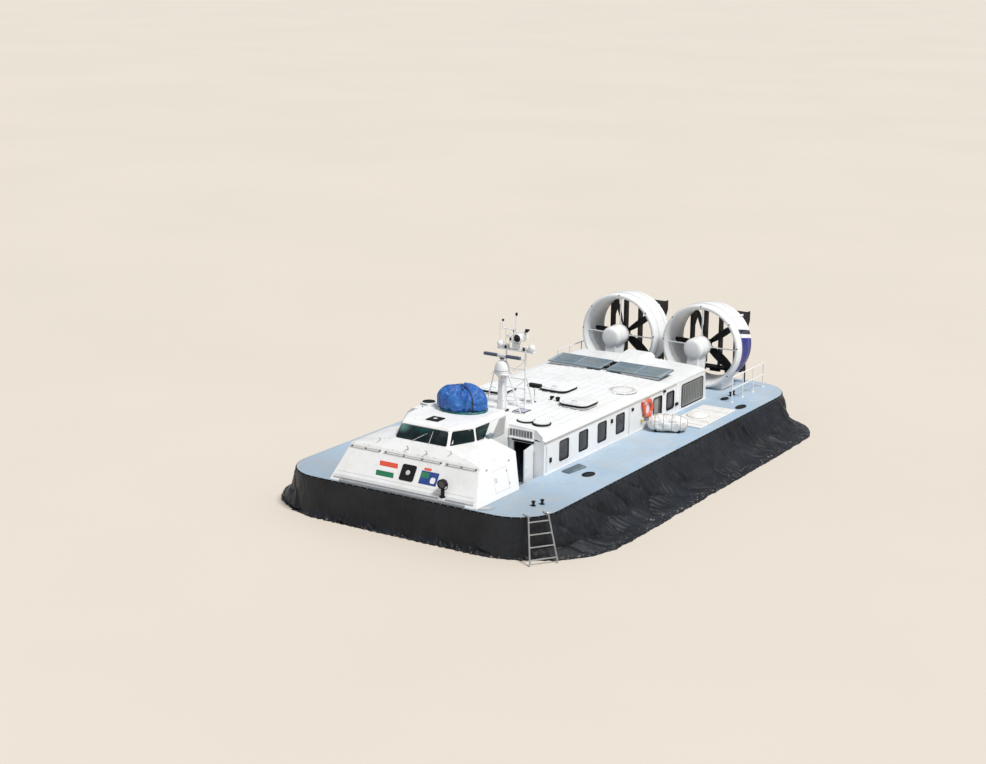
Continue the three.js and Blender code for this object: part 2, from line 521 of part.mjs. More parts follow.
// Each hatch: name, centre x, centre y.
const HATCHES = [["hatch_lid_starboard", 1750, -1720], ["hatch_lid_middle", 350, 60], ["hatch_lid_port", 1750, 1720]];
const COAMING_Z = 2900;
const LID = { low: 2906, high: 2950 };
const HINGE_Z = (LID.low + LID.high) / 2;
const HINGE_OFFSET = HATCH_HALF + 40;
const PAD_Z = 2858;
const MAST_STRUT_X = MAST_X - 620;
const MAST_PADS = [
  [SCANNER.x, 0, 200], ...[-1, 1].flatMap((s) => [[MAST_X, s * MAST_HALF, 90], [MAST_STRUT_X, s * MAST_HALF * 0.8, 80]]),
]; // each pad: x, y, half width
const VENTS = [1700, 2330]; // y of each vent pair
const VENT_X = 5330;
const frontBox = (side) => new ConvexGeometry([
  [CABIN_BOW_X - GAP, 1470, 2500 + 200], [CABIN_BOW_X - GAP, 2800, 2640], [CABIN_BOW_X - GAP, 2790, 2780],
  [CABIN_BOW_X - GAP, 2560, FRONT_BOX_Z - 60], [CABIN_BOW_X - GAP, 1470, FRONT_BOX_Z],
  [FRONT_BOX_STERN_X, 1300, 2700], [FRONT_BOX_STERN_X, 2600, 2650], [FRONT_BOX_STERN_X - 100, 1300, 2790],
  [FRONT_BOX_STERN_X + 250, 1380, FRONT_BOX_Z], [FRONT_BOX_STERN_X + 250, 2540, FRONT_BOX_Z - 60],
].map(([x, y, z]) => new THREE.Vector3(x, side * y, z)));
// Louvred inlets on the face of the front boxes: a frame with upright slots over a ledge.
const LOUVRE = { inner: 1500, outer: 2440, low: 2630, high: 2950, depth: 55, slots: 8 };
const louvre = (side) => {
  const at = (y0, y1) => [Math.min(side * y0, side * y1), Math.max(side * y0, side * y1)];
  const pitch = (LOUVRE.outer - LOUVRE.inner - 40) / LOUVRE.slots;
  const slots = Array.from({ length: LOUVRE.slots }, (_, i) => {
    const y = LOUVRE.inner + 20 + pitch * i;
    return box(CABIN_BOW_X + 20, CABIN_BOW_X + 200, ...at(y + 16, y + pitch - 16), LOUVRE.low + 45, LOUVRE.high - 40);
  });
  return cut(join(
    box(CABIN_BOW_X + 1, CABIN_BOW_X + LOUVRE.depth, ...at(LOUVRE.inner, LOUVRE.outer), LOUVRE.low, LOUVRE.high),
    box(CABIN_BOW_X - 20, CABIN_BOW_X + 10, ...at(LOUVRE.inner + 20, LOUVRE.outer - 20), 2760, 2930),
    box(CABIN_BOW_X + 1, CABIN_BOW_X + 110, ...at(LOUVRE.inner - 10, LOUVRE.outer + 30), LOUVRE.low - 30, LOUVRE.low + 5)), ...slots);
};
const ROOF_POST = [[2500, 320, 2780], [2500, 320, 3330], [2570, 335, 3470]]; // bent post with a lamp on its head
const roofFittings = [
  bar(ROOF_POST[0], ROOF_POST[1], 22, 6), bar(ROOF_POST[1], ROOF_POST[2], 22, 6), box(2500, 2650, 270, 400, 3440, 3530),
  ...[680, 840].map((y) => post(1800, y, 2780, 2920, 55, 10)),
];
const roofBody = join(
  ...SIDES.map(([, side]) => louvre(side)), ...roofFittings,
  frontPrism(roofOutline(ribPoints), ROOF_STERN_X, CABIN_BOW_X - GAP),
  ...SIDES.map(([, side]) => frontBox(side)),
  ...SIDES.flatMap(([, side]) => VENTS.map((y) => post(VENT_X, side * y, 2900, FRONT_BOX_Z + 55, 290, 20))),
  ...HATCHES.map(([, x, y]) => planPrism(roundedRectangle(x, y, HATCH_HALF - 30, HATCH_HALF - 30, HATCH_RADIUS), 2780, COAMING_Z, 4)),
  ...HATCHES.flatMap(([, x, y]) => [-1, 1].map((s) =>
    box(x - HINGE_OFFSET - 20, x - HINGE_OFFSET + 20, y + s * 110 - 20 + GAP, y + s * 110 + 20 - GAP, 2745, LID.high))),
  ...MAST_PADS.map(([x, y, half]) => box(x - half, x + half, y - half, y + half, 2780, PAD_Z)),
  planPrism(roundedRectangle(3800, 600, 260, 260, 60), 2790, 2870, 3));
piece("cabin_roof", roofBody, white);

// Hatch lids, each with its hinge knuckle at the after edge.
for (const [name, x, y] of HATCHES) {
  const lid = join(
    planPrism(roundedRectangle(0, 0, HATCH_HALF, HATCH_HALF, HATCH_RADIUS), LID.low, LID.high, 4),
    planPrism(roundedRectangle(0, 0, HATCH_HALF - 90, HATCH_HALF - 90, HATCH_RADIUS - 60), LID.high - 10, LID.high + 25, 4),
    box(-HINGE_OFFSET, -HATCH_HALF + 60, -88, 88, LID.low + 5, LID.high - 5),
    bar([-HINGE_OFFSET, -90 + GAP, HINGE_Z], [-HINGE_OFFSET, 90 - GAP, HINGE_Z], 20, 12));
  piece(name, lid.translate(x, y, 0), white);
}

// Engine casing behind the cabin: side walls with the grille openings, a rear wall and a cambered top.
const casingTop = roofOutline([[0, ROOF_CROWN_Z - 30]]);
const CASING_TOP_STERN_X = CASING_STERN_X + 150;
const CASING_WALL_TOP = [CASING_TOP_STERN_X, WALL_TOP_Z];
const CASING_REAR_DEPTH = 220;
const GRILLE = { x0: -6000, x1: -4200, low: 1540, high: 2400 };
const INTAKE = { bow: -3120, stern: -4230, inner: 130, outer: 2480, rise: 90 };
for (const [name, side] of SIDES) {
  const wall = shapeOf([[CASING_STERN_X, DECK_Z + GAP], [CABIN_STERN_X, DECK_Z + GAP], [CABIN_STERN_X, WALL_TOP_Z], CASING_WALL_TOP]);
  wall.holes = [new THREE.Path([[GRILLE.x0, GRILLE.low], [GRILLE.x0, GRILLE.high], [GRILLE.x1, GRILLE.high], [GRILLE.x1, GRILLE.low]]
    .map(([x, z]) => new THREE.Vector2(x, z)))];
  const near = side > 0 ? CABIN_HALF - WALL : -CABIN_HALF;
  piece(`casing_wall_${name}`, sidePrism(wall, near, near + WALL), white);
}
const rearWall = shapeOf([
  [CASING_STERN_X, DECK_Z + GAP], [CASING_STERN_X + CASING_REAR_DEPTH, DECK_Z + GAP],
  [CASING_STERN_X + CASING_REAR_DEPTH, WALL_TOP_Z], CASING_WALL_TOP,
]);
const coolers = SIDES.map(([, side]) => box(
  CASING_STERN_X - 420, CASING_TOP_STERN_X - 5, Math.min(side * 220, side * 880), Math.max(side * 220, side * 880), 2060, 2560));
piece("casing_rear_wall", join(sidePrism(rearWall, -CABIN_HALF + WALL + GAP, CABIN_HALF - WALL - GAP), ...coolers), white);
const intakeHoles = SIDES.map(([, side]) =>
  box(INTAKE.stern + 200, CABIN_STERN_X - WALL - 20, Math.min(side * 300, side * 2300), Math.max(side * 300, side * 2300), 2500, 2900));
// Rounded fairing amidships on the after end of the casing top. Each corner: x, half width, z.
const casingHump = mirroredHull([
  [-5020, 560, 2720], [CASING_TOP_STERN_X, 640, 2700], [CASING_TOP_STERN_X, 640, 2850],
  [-5300, 440, 2960], [-5500, 430, 3010], [-6080, 500, 3020], [CASING_TOP_STERN_X, 520, 2960], [-5200, 560, 2850],
]);
piece("casing_top", cut(join(frontPrism(casingTop, CASING_TOP_STERN_X, ROOF_STERN_X - GAP), casingHump), ...intakeHoles), white);

// Air intake panels on the casing top, raised on feet at the outer and inner ends.
for (const [name, side] of SIDES) {
  const slab = shapeOf([
    [INTAKE.bow, 2838], [INTAKE.stern, 2838 + INTAKE.rise - 20], [INTAKE.stern, 2838 + INTAKE.rise + 40], [INTAKE.bow, 2878],
  ]);
  const feet = [400, 1300, 2200].map((y) =>
    box(INTAKE.stern + 30, INTAKE.stern + 170, side * y - 60, side * y + 60, roofZ(y) - 20, 2900));
  const y0 = Math.min(side * INTAKE.inner, side * INTAKE.outer);
  piece(`intake_panel_${name}`, cut(
    join(sidePrism(slab, y0, y0 + INTAKE.outer - INTAKE.inner), ...feet),
    frontPrism(casingTop, CASING_TOP_STERN_X, ROOF_STERN_X).translate(0, 0, GAP)), intakeGrey);
}

// Side grilles of the engine casing: a frame with upright slats.
const SLATS = 11;
for (const [name, side] of SIDES) {
  const y0 = side > 0 ? CABIN_HALF - 45 : -CABIN_HALF + 5;
  const frame = cut(
    box(GRILLE.x0 + GAP, GRILLE.x1 - GAP, y0, y0 + 40, GRILLE.low + GAP, GRILLE.high - GAP),
    box(GRILLE.x0 + 60, GRILLE.x1 - 60, y0 - 10, y0 + 50, GRILLE.low + 60, GRILLE.high - 60));
  const pitch = (GRILLE.x1 - GRILLE.x0 - 120) / (SLATS + 1);
  const slats = Array.from({ length: SLATS }, (_, i) => {
    const x = GRILLE.x0 + 60 + pitch * (i + 1);
    return box(x - 35, x + 35, y0 + 8, y0 + 28, GRILLE.low + 50, GRILLE.high - 50);
  });
  piece(`engine_grille_${name}`, join(frame, ...slats), intakeGrey);
}

// Engines: plain blocks on the deck inside the casing.
for (const [name, side] of SIDES) {
  const y = side * 1500;
  piece(`engine_${name}`, box(-5600, -4200, y - 450, y + 450, DECK_Z + GAP, 2350), engineGrey);
}

// Ducts: a ring with a full rounded lip and a thin trailing edge, on a foot that meets the deck.
// Section: distance ahead of the exit, radius.
const chord = DUCT_LIP_X - DUCT_EXIT_X;
const ductSection = [
  [0, THROAT_RADIUS + 50], [0.45 * chord, THROAT_RADIUS], [0.72 * chord, THROAT_RADIUS + 15],
  [0.88 * chord, THROAT_RADIUS + 65], [0.97 * chord, THROAT_RADIUS + 130], [chord, THROAT_RADIUS + 190],
  [0.985 * chord, DUCT_RADIUS - 35], [0.92 * chord, DUCT_RADIUS - 5], [0.8 * chord, DUCT_RADIUS],
  [0.4 * chord, DUCT_RADIUS - 60], [0, THROAT_RADIUS + 110], [0, THROAT_RADIUS + 50],
].map(([x, r]) => new THREE.Vector2(r, x)).reverse();
const DUCT_SIDES = 48;
const axle = new THREE.Matrix4().makeBasis(
  new THREE.Vector3(0, 0, 1), new THREE.Vector3(1, 0, 0), new THREE.Vector3(0, 1, 0));
const alongX = (geometry) => geometry.applyMatrix4(axle);
const FOOT_RADIUS = THROAT_RADIUS + 75; // inside the ring's wall
const boreCutter = alongX(new THREE.CylinderGeometry(FOOT_RADIUS, FOOT_RADIUS, 3000, DUCT_SIDES));
for (const [name, side] of SIDES) {
  const ring = alongX(new THREE.LatheGeometry(ductSection, DUCT_SIDES)).translate(DUCT_EXIT_X, side * DUCT_Y, HUB_Z);
  const foot = cut(
    box(DUCT_EXIT_X + 150, DUCT_LIP_X - 250, side * DUCT_Y - 950, side * DUCT_Y + 950, DECK_Z + GAP, HUB_Z - 1350),
    boreCutter.clone().translate(-8400, side * DUCT_Y, HUB_Z));
  const y = side * (DUCT_Y + RUDDER_FRAME_HALF);
  const strut = new ConvexGeometry([
    [DUCT_LIP_X - 420, 4300], [DUCT_LIP_X - 520, 4400], [DUCT_EXIT_X, 4340], [DUCT_EXIT_X, 4255],
  ].flatMap(([x, z]) => [-28, 28].map((off) => new THREE.Vector3(x, y + off, z))));
  piece(`duct_${name}`, join(ring, foot, strut), white);
}

const HUB = { radius: 190, length: 300 };

// Nacelles: a blunt barrel in front of each propeller, on a raked pylon, with three stays to the duct.
const NACELLE = { bow: -6980, stern: -8050, radius: 425 };
const nacelleProfile = [[0, 0], [0.72, 0], [0.92, 0.05], [1, 0.17], [1, 0.7], [0.93, 0.86], [0.7, 0.97], [0.4, 1], [0, 1]]
  .map(([r, x]) => new THREE.Vector2(r * NACELLE.radius, x * (NACELLE.bow - NACELLE.stern)));
const pylonShape = shapeOf([[-7900, HUB_Z - 200], [-7100, HUB_Z - 200], [-6750, DECK_Z + GAP], [-7550, DECK_Z + GAP]]);
const STAY_X = -7850;
const STAY_TO = THROAT_RADIUS + 155;
// Each stay: direction in Y and Z from the hub.
const STAYS = [[1, 0], [-1, 0], [0, 1]];
for (const [name, side] of SIDES) {
  const barrel = alongX(new THREE.LatheGeometry(nacelleProfile, 24).rotateX(Math.PI))
    .translate(NACELLE.bow, side * DUCT_Y, HUB_Z);
  const pylon = sidePrism(pylonShape, side * DUCT_Y - 230, side * DUCT_Y + 230);
  const stays = STAYS.map(([dy, dz]) => {
    const at = (r) => [STAY_X, side * DUCT_Y + dy * r, HUB_Z + dz * r];
    return bar(at(200), at(STAY_TO), 26);
  });
  const ring = alongX(new THREE.LatheGeometry(ductSection, DUCT_SIDES)).translate(DUCT_EXIT_X, side * DUCT_Y, HUB_Z);
  const shaft = bar([NACELLE.stern + 20, side * DUCT_Y, HUB_Z], [PROPELLER_X + HUB.length / 2 + GAP, side * DUCT_Y, HUB_Z], 70, 16);
  piece(`nacelle_${name}`, cut(join(barrel, shaft, pylon, ...stays), ring), white);
}

// Propellers: a spinner hub and broad blades, as one body on the nacelle's shaft.
const PROPELLER_PITCH = THREE.MathUtils.degToRad(38);
const BLADE_STATIONS = 8;
// Blade at a share of the radius: half chord, half thickness and angle, from root to tip.
function bladeStation(share) {
  return {
    half: 85 + 330 * share * (1 - share) + 35 * share,
    thick: 24 - 15 * share,
    angle: PROPELLER_PITCH * (1.5 - 0.8 * share),
  };
}
function bladeGeometry() {
  const rings = Array.from({ length: BLADE_STATIONS }, (_, i) => {
    const share = 0.1 + (0.9 * i) / (BLADE_STATIONS - 1);
    const { half, thick, angle } = bladeStation(share);
    return [[half, 0], [half * 0.2, -thick], [-half, 0], [half * 0.2, thick]].map(([c, t]) => [
      c * Math.sin(angle) + t * Math.cos(angle), c * Math.cos(angle) - t * Math.sin(angle), share * PROPELLER_RADIUS,
    ]);
  });
  const index = [0, 1, 2, 0, 2, 3].reverse();
  for (let i = 0; i < rings.length - 1; i += 1) {
    for (let k = 0; k < 4; k += 1) {
      const a = i * 4 + k;
      const b = i * 4 + ((k + 1) % 4);
      index.push(a, b, b + 4, a, b + 4, a + 4);
    }
  }
  const last = (rings.length - 1) * 4;
  index.push(last, last + 1, last + 2, last, last + 2, last + 3);
  const geometry = new THREE.BufferGeometry();
  geometry.setAttribute("position", new THREE.Float32BufferAttribute(rings.flat(2), 3));
  geometry.setIndex(index);
  return geometry;
}
for (const [name, side] of SIDES) {
  const hub = alongX(new THREE.CylinderGeometry(HUB.radius, HUB.radius, HUB.length, 20));
  const blades = Array.from({ length: BLADES }, (_, i) => bladeGeometry().rotateX((2 * Math.PI * i) / BLADES + 0.3));
  const propeller = piece(`propeller_${name}`, join(hub, ...blades), black);
  propeller.position.set(PROPELLER_X, side * DUCT_Y, HUB_Z);
}

// Rudder frames behind the ducts: two uprights joined by bars at the top and bottom.
for (const [name, side] of SIDES) {
  const y = side * DUCT_Y;
  const high = HUB_Z + RUDDER_HALF_HEIGHT;
  const low = HUB_Z - RUDDER_HALF_HEIGHT;
  const upright = shapeOf([
    [DUCT_EXIT_X - GAP, low - 20], [DUCT_EXIT_X - GAP, high + 60], [DUCT_EXIT_X - 680, high + 60],
    [DUCT_EXIT_X - 680, high - 330], [DUCT_EXIT_X - 400, high - 760], [DUCT_EXIT_X - 400, low + 300], [DUCT_EXIT_X - 480, low - 20],
  ]);
  const uprights = [-1, 1].map((s) =>
    sidePrism(upright, y + s * RUDDER_FRAME_HALF - 20, y + s * RUDDER_FRAME_HALF + 20));
  const bars = [[high + 10, high + 60], [low - 60, low - 10]].map(([z0, z1]) =>
    box(DUCT_EXIT_X - 480, DUCT_EXIT_X - GAP, y - RUDDER_FRAME_HALF, y + RUDDER_FRAME_HALF, z0, z1));
  const legs = [-1, 1].map((s) =>
    box(DUCT_EXIT_X - 460, DUCT_EXIT_X - 340, y + s * RUDDER_FRAME_HALF - 16, y + s * RUDDER_FRAME_HALF + 16, DECK_Z + GAP, low + 20));
  piece(`rudder_frame_${name}`, join(...uprights, ...bars, ...legs), black);
  [-1, 0, 1].forEach((place, i) => {
    const blade = shapeOf([[RUDDER_LEAD, 0], [40, 22], [-60, 22], [-RUDDER_TRAIL, 4], [-RUDDER_TRAIL, -4], [-60, -22], [40, -22]]);
    const rudder = piece(`rudder_${name}_${i + 1}`, join(
      planPrism(blade, low, high), post(0, 0, low - 10 + GAP, high + 10 - GAP, 16, 12)), black);
    rudder.position.set(RUDDER_AXIS_X, y + place * RUDDER_PITCH, 0);
  });
}

// Radar pylon: a tapered post with a table and the round pedestal.
const PEDESTAL_TOP = SCANNER.z - 90;
piece("radar_pylon", join(
  new ConvexGeometry([
    [-170, -170, PAD_Z + GAP], [170, -170, PAD_Z + GAP], [170, 170, PAD_Z + GAP], [-170, 170, PAD_Z + GAP],
    [-90, -90, 4232], [90, -90, 4232], [90, 90, 4232], [-90, 90, 4232],
  ].map(([x, y, z]) => new THREE.Vector3(SCANNER.x + x, SCANNER.y + y, z))),
  box(SCANNER.x - 260, SCANNER.x + 260, -340, 340, 4215, 4250),
  new THREE.LatheGeometry([[0, 0], [250, 0], [270, 90], [230, 300], [150, 420], [60, 440], [0, 440]]
    .map(([r, z]) => new THREE.Vector2(r, z)), 20).rotateX(Math.PI / 2).translate(SCANNER.x, 0, 4240),
  post(SCANNER.x, 0, 4600, PEDESTAL_TOP, 55)), white);

const scanner = piece("radar_scanner", join(
  box(-70, 70, -SCANNER_HALF_LENGTH, SCANNER_HALF_LENGTH, -30, 80), post(0, 0, -89.7, 0, 90)), intakeGrey);
scanner.position.copy(SCANNER);

// Main mast: two posts with rungs and struts, standing on pads of the roof.
const rung = (z) => bar([MAST_X, -MAST_HALF, z], [MAST_X, MAST_HALF, z], 22, 6);
const MAST_FOOT_Z = PAD_Z + GAP;
const ARM_LOW_Z = MAST_ARM_Z - 35;
piece("mast", join(
  ...[-1, 1].map((s) => bar([MAST_X, s * MAST_HALF, MAST_FOOT_Z], [MAST_X, s * MAST_HALF, ARM_LOW_Z - GAP], 34)),
  ...[-1, 1].map((s) => bar([MAST_STRUT_X, s * MAST_HALF * 0.8, MAST_FOOT_Z + 40], [MAST_X, s * MAST_HALF, 4100], 26, 6)),
  ...[-1, 1].map((s) => box(
    MAST_STRUT_X - 60, MAST_STRUT_X + 60, s * MAST_HALF * 0.8 - 50, s * MAST_HALF * 0.8 + 50, MAST_FOOT_Z, MAST_FOOT_Z + 60)),
  ...[3150, 3500, 3850, 4200, 4550].map(rung)), white);

// Head of the mast: the cross arm with two domes, the platform, and the camera and horn cluster on a pole.
const dome = (y) => new THREE.SphereGeometry(130, 16, 10).translate(MAST_X, y, MAST_ARM_Z + 150);
piece("mast_head", join(
  box(MAST_X - 60, MAST_X + 60, -760, 760, ARM_LOW_Z, MAST_ARM_Z + 35), dome(-650), dome(650),
  box(MAST_X - 140, MAST_X + 140, -260, 260, MAST_ARM_Z + 300, MAST_ARM_Z + 335),
  bar([MAST_X, 0, MAST_ARM_Z], [MAST_X, 0, 6250], 30),
  box(MAST_X + 20, MAST_X + 330, 20, 330, 5210, 5520),
  box(MAST_X - 90, MAST_X + 60, 380, 560, 5560, 5740), bar([MAST_X, 0, 5500], [MAST_X, 460, 5640], 24, 6),
  bar([MAST_X, -560, 5600], [MAST_X, -560, 5950], 26, 6), bar([MAST_X, 0, 5600], [MAST_X, -560, 5620], 22, 6)), white);

// Lifebuoy on the port cabin wall.
const buoyProfile = new THREE.EllipseCurve(290, 0, 75, 55, 0, 2 * Math.PI).getPoints(12);
const buoyRing = new THREE.LatheGeometry(buoyProfile, 24);
piece("lifebuoy", buoyRing.translate(-1350, CABIN_HALF + 55 + GAP, 2150), ringRed);

// Wrapped liferaft bundle lying on the port side deck.
piece("liferaft_bundle", new THREE.SphereGeometry(1, 20, 12).rotateX(Math.PI / 2).scale(450, 750, 300)
  .rotateZ(0.43).translate(-1400, 3720, DECK_Z + 300 + GAP), white);

// Low deck box on the port side deck, aft.
const domeProfile = [[0, 0], [420, 0], [390, 50], [260, 110], [0, 140]].map(([r, z]) => new THREE.Vector2(r, z));
piece("deck_box", join(
  box(-5300, -2250, 3250, 4650, DECK_Z + GAP, DECK_Z + 60),
  new THREE.LatheGeometry(domeProfile, 20).rotateX(Math.PI / 2).translate(-3700, 3800, DECK_Z + 50)), white);

// Handrails beside the ducts.
const RAIL = { high: DECK_Z + 1000, middle: DECK_Z + 520, y: 3950, x0: -9300, x1: -6400, posts: 4 };
for (const [name, side] of SIDES) {
  const y = side * RAIL.y;
  const xs = Array.from({ length: RAIL.posts }, (_, i) => RAIL.x0 + ((RAIL.x1 - RAIL.x0) * i) / (RAIL.posts - 1));
  piece(`handrail_${name}`, join(
    ...xs.map((x) => bar([x, y, DECK_Z + GAP], [x, y, RAIL.high], 24)),
    ...[RAIL.middle, RAIL.high].map((z) => bar([RAIL.x0, y, z], [RAIL.x1, y, z], 21))), white);
}

// Searchlight on a small bracket at the foot of the sloped front.
const SEARCHLIGHT = { x: 10200, y: 1580, z: 2040, radius: 160 };
piece("bow_searchlight", cut(
  join(
    box(SEARCHLIGHT.x - 100, SEARCHLIGHT.x + 100, SEARCHLIGHT.y - 110, SEARCHLIGHT.y + 110, DECK_Z + 5, 1730),
    post(SEARCHLIGHT.x, SEARCHLIGHT.y, 1700, SEARCHLIGHT.z, 45),
    new THREE.SphereGeometry(SEARCHLIGHT.radius, 16, 12).translate(SEARCHLIGHT.x, SEARCHLIGHT.y, SEARCHLIGHT.z)),
  blockOutside.clone().translate(GAP, 0, GAP)), black);

// Boarding ladder hooked over the port bow corner, wider at its foot.
const LADDER = { angle: THREE.MathUtils.degToRad(55), out: 110, lean: 500, halfTop: 340, halfFoot: 480, top: 1520, foot: 31, radius: 28, rungs: 4 };
const ladderOut = new THREE.Vector3(Math.cos(LADDER.angle), Math.sin(LADDER.angle), 0);
const ladderAcross = new THREE.Vector3(-Math.sin(LADDER.angle), Math.cos(LADDER.angle), 0);
const deckCorner = new THREE.Vector3(DECK_BOW_X - DECK_BOW_RADIUS, DECK_HALF - DECK_BOW_RADIUS, 0)
  .addScaledVector(ladderOut, DECK_BOW_RADIUS);
// Point of the ladder at a share of its way down, on one side of its middle.
function ladderPoint(share, side) {
  const half = LADDER.halfTop + (LADDER.halfFoot - LADDER.halfTop) * share;
  const z = LADDER.top + (LADDER.foot - LADDER.top) * share;
  return deckCorner.clone().addScaledVector(ladderOut, LADDER.out + LADDER.lean * share)
    .addScaledVector(ladderAcross, side * half).setZ(z);
}
const ladderHook = (side) => {
  const end = ladderPoint(0.03, side);
  const reach = end.clone().addScaledVector(ladderOut, -420);
  return bar(end.setZ(DECK_Z + 24 + GAP).toArray(), reach.setZ(DECK_Z + 24 + GAP).toArray(), 24);
};
piece("boarding_ladder", join(
  ...[-1, 1].map((side) => bar(ladderPoint(0, side).toArray(), ladderPoint(1, side).toArray(), LADDER.radius)),
  ...[-1, 1].map(ladderHook),
  ...Array.from({ length: LADDER.rungs }, (_, i) => {
    const share = (i + 0.6) / LADDER.rungs;
    return bar(ladderPoint(share, -1).toArray(), ladderPoint(share, 1).toArray(), 20);
  })), metal);

export default craft;
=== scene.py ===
"""Patrol hovercraft with twin ducted propellers, parked with its skirt down on a pale floor."""
import math
import random
from contextlib import contextmanager

import bmesh
import bpy
from mathutils import Euler, Matrix, Vector, noise


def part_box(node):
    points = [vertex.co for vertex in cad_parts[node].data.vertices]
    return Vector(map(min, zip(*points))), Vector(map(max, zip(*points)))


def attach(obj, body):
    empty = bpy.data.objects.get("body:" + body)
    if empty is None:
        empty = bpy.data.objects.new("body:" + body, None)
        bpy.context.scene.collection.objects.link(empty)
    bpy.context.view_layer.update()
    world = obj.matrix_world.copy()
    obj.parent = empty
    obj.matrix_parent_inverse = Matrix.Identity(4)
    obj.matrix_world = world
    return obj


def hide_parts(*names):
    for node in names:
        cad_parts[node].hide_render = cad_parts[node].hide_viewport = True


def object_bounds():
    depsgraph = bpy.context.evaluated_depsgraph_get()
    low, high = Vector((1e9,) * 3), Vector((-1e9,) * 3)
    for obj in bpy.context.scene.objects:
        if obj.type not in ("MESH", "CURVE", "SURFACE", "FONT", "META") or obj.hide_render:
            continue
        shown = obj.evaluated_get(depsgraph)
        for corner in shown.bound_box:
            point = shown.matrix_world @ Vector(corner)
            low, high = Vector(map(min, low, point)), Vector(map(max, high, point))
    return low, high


bl_info = {
    "name": "Patrol hovercraft",
    "version": (1, 0, 0),
    "blender": (4, 5, 0),
    "location": "View3D > Sidebar > Hovercraft",
    "description": "Dresses the construction of a patrol hovercraft with paint, cloth, glass and fittings",
    "category": "Object",
}

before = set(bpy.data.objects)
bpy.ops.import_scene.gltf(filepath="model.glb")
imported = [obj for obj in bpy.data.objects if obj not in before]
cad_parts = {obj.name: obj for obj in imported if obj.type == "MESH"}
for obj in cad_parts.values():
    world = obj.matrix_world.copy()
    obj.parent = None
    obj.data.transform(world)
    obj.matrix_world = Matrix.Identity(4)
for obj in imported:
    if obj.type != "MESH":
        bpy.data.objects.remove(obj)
CAD_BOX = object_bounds()
BODY = "craft"
SIDES = (("port", 1), ("starboard", -1))
DECK_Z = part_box("side_deck_starboard")[1].z
DECK_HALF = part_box("side_deck_port")[1].y
DECK_STERN_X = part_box("side_deck_port")[0].x
DECK_BOW_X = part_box("side_deck_port")[1].x
ROOF_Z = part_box("tarp_bundle")[0].z
WALL_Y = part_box("casing_wall_port")[1].y
DUCT_LOW, DUCT_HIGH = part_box("duct_port")
DUCT_Y = (DUCT_LOW.y + DUCT_HIGH.y) / 2
DUCT_RADIUS = (DUCT_HIGH.y - DUCT_LOW.y) / 2
HUB_Z = DUCT_HIGH.z - DUCT_RADIUS
PROPELLER_X = -8.26


# Modelling helpers

def only(*objs):
    """Selects these objects alone, the first one active."""
    bpy.ops.object.select_all(action="DESELECT")
    for obj in objs:
        obj.select_set(True)
    bpy.context.view_layer.objects.active = objs[0]


@contextmanager
def editing(obj, mode="VERT"):
    """Edit mode on one object with nothing hidden, left again at the end."""
    only(obj)
    bpy.ops.object.mode_set(mode="EDIT")
    bpy.ops.mesh.select_mode(type=mode)
    try:
        yield bmesh.from_edit_mesh(obj.data)
    finally:
        bpy.ops.object.mode_set(mode="OBJECT")


def pick(obj, kind, test):
    """In edit mode, selects the faces, edges or vertices that pass a test."""
    bm = bmesh.from_edit_mesh(obj.data)
    for group in (bm.verts, bm.edges, bm.faces):
        for item in group:
            item.select = False
    for item in getattr(bm, kind):
        if test(item):
            item.select_set(True)
    bm.select_flush_mode()
    bmesh.update_edit_mesh(obj.data)


def settle(obj):
    """Puts an object's place into its mesh."""
    only(obj)
    bpy.ops.object.transform_apply(location=True, rotation=True, scale=True)
    return obj


def modified(obj, kind, **values):
    """Adds one modifier with these values and applies it."""
    only(obj)
    modifier = obj.modifiers.new(kind.title(), kind)
    for key, value in values.items():
        setattr(modifier, key, value)
    bpy.ops.object.modifier_apply(modifier=modifier.name)
    return obj


def smoothed(obj, degrees=35):
    """Smooth shading, with edges above an angle kept sharp."""
    only(obj)
    bpy.ops.object.shade_smooth_by_angle(angle=math.radians(degrees))
    return obj


def joined(parts):
    """One object of several."""
    parts = list(parts)
    only(*parts)
    if len(parts) > 1:
        bpy.ops.object.join()
    return bpy.context.view_layer.objects.active


def copied(obj, move=(0, 0, 0)):
    """A copy with its own mesh, moved by a vector."""
    twin = obj.copy()
    twin.data = obj.data.copy()
    bpy.context.scene.collection.objects.link(twin)
    twin.data.transform(Matrix.Translation(move))
    return twin


def mirrored(obj):
    """The same piece on the other side of the craft, with its faces turned out again."""
    twin = copied(obj)
    twin.data.transform(Matrix.Scale(-1, 4, (0, 1, 0)))
    with editing(twin):
        bpy.ops.mesh.select_all(action="SELECT")
        bpy.ops.mesh.flip_normals()
    return twin


def block(low, high, bevel=0.006, segments=2):
    """Box between two corners with its edges rounded."""
    low, high = Vector(low), Vector(high)
    bpy.ops.mesh.primitive_cube_add(size=1, location=(low + high) / 2, scale=high - low)
    obj = settle(bpy.context.object)
    if bevel:
        with editing(obj):
            bpy.ops.mesh.select_all(action="SELECT")
            bpy.ops.mesh.bevel(offset=bevel, segments=segments, affect="EDGES")
    return obj


def rod(start, end, radius, sides=12, bevel=0.2):
    """Round bar between two points, its end edges rounded by a share of its radius."""
    start, end = Vector(start), Vector(end)
    axis = end - start
    turn = axis.to_track_quat("Z", "Y").to_euler()
    bpy.ops.mesh.primitive_cylinder_add(
        vertices=sides, radius=radius, depth=axis.length, location=(start + end) / 2, rotation=turn)
    obj = settle(bpy.context.object)
    if bevel:
        direction = axis.normalized()
        with editing(obj, "FACE"):
            pick(obj, "faces", lambda f: abs(f.normal.dot(direction)) > 0.99)
            bpy.ops.mesh.bevel(offset=radius * bevel, segments=2, affect="EDGES")
    return obj


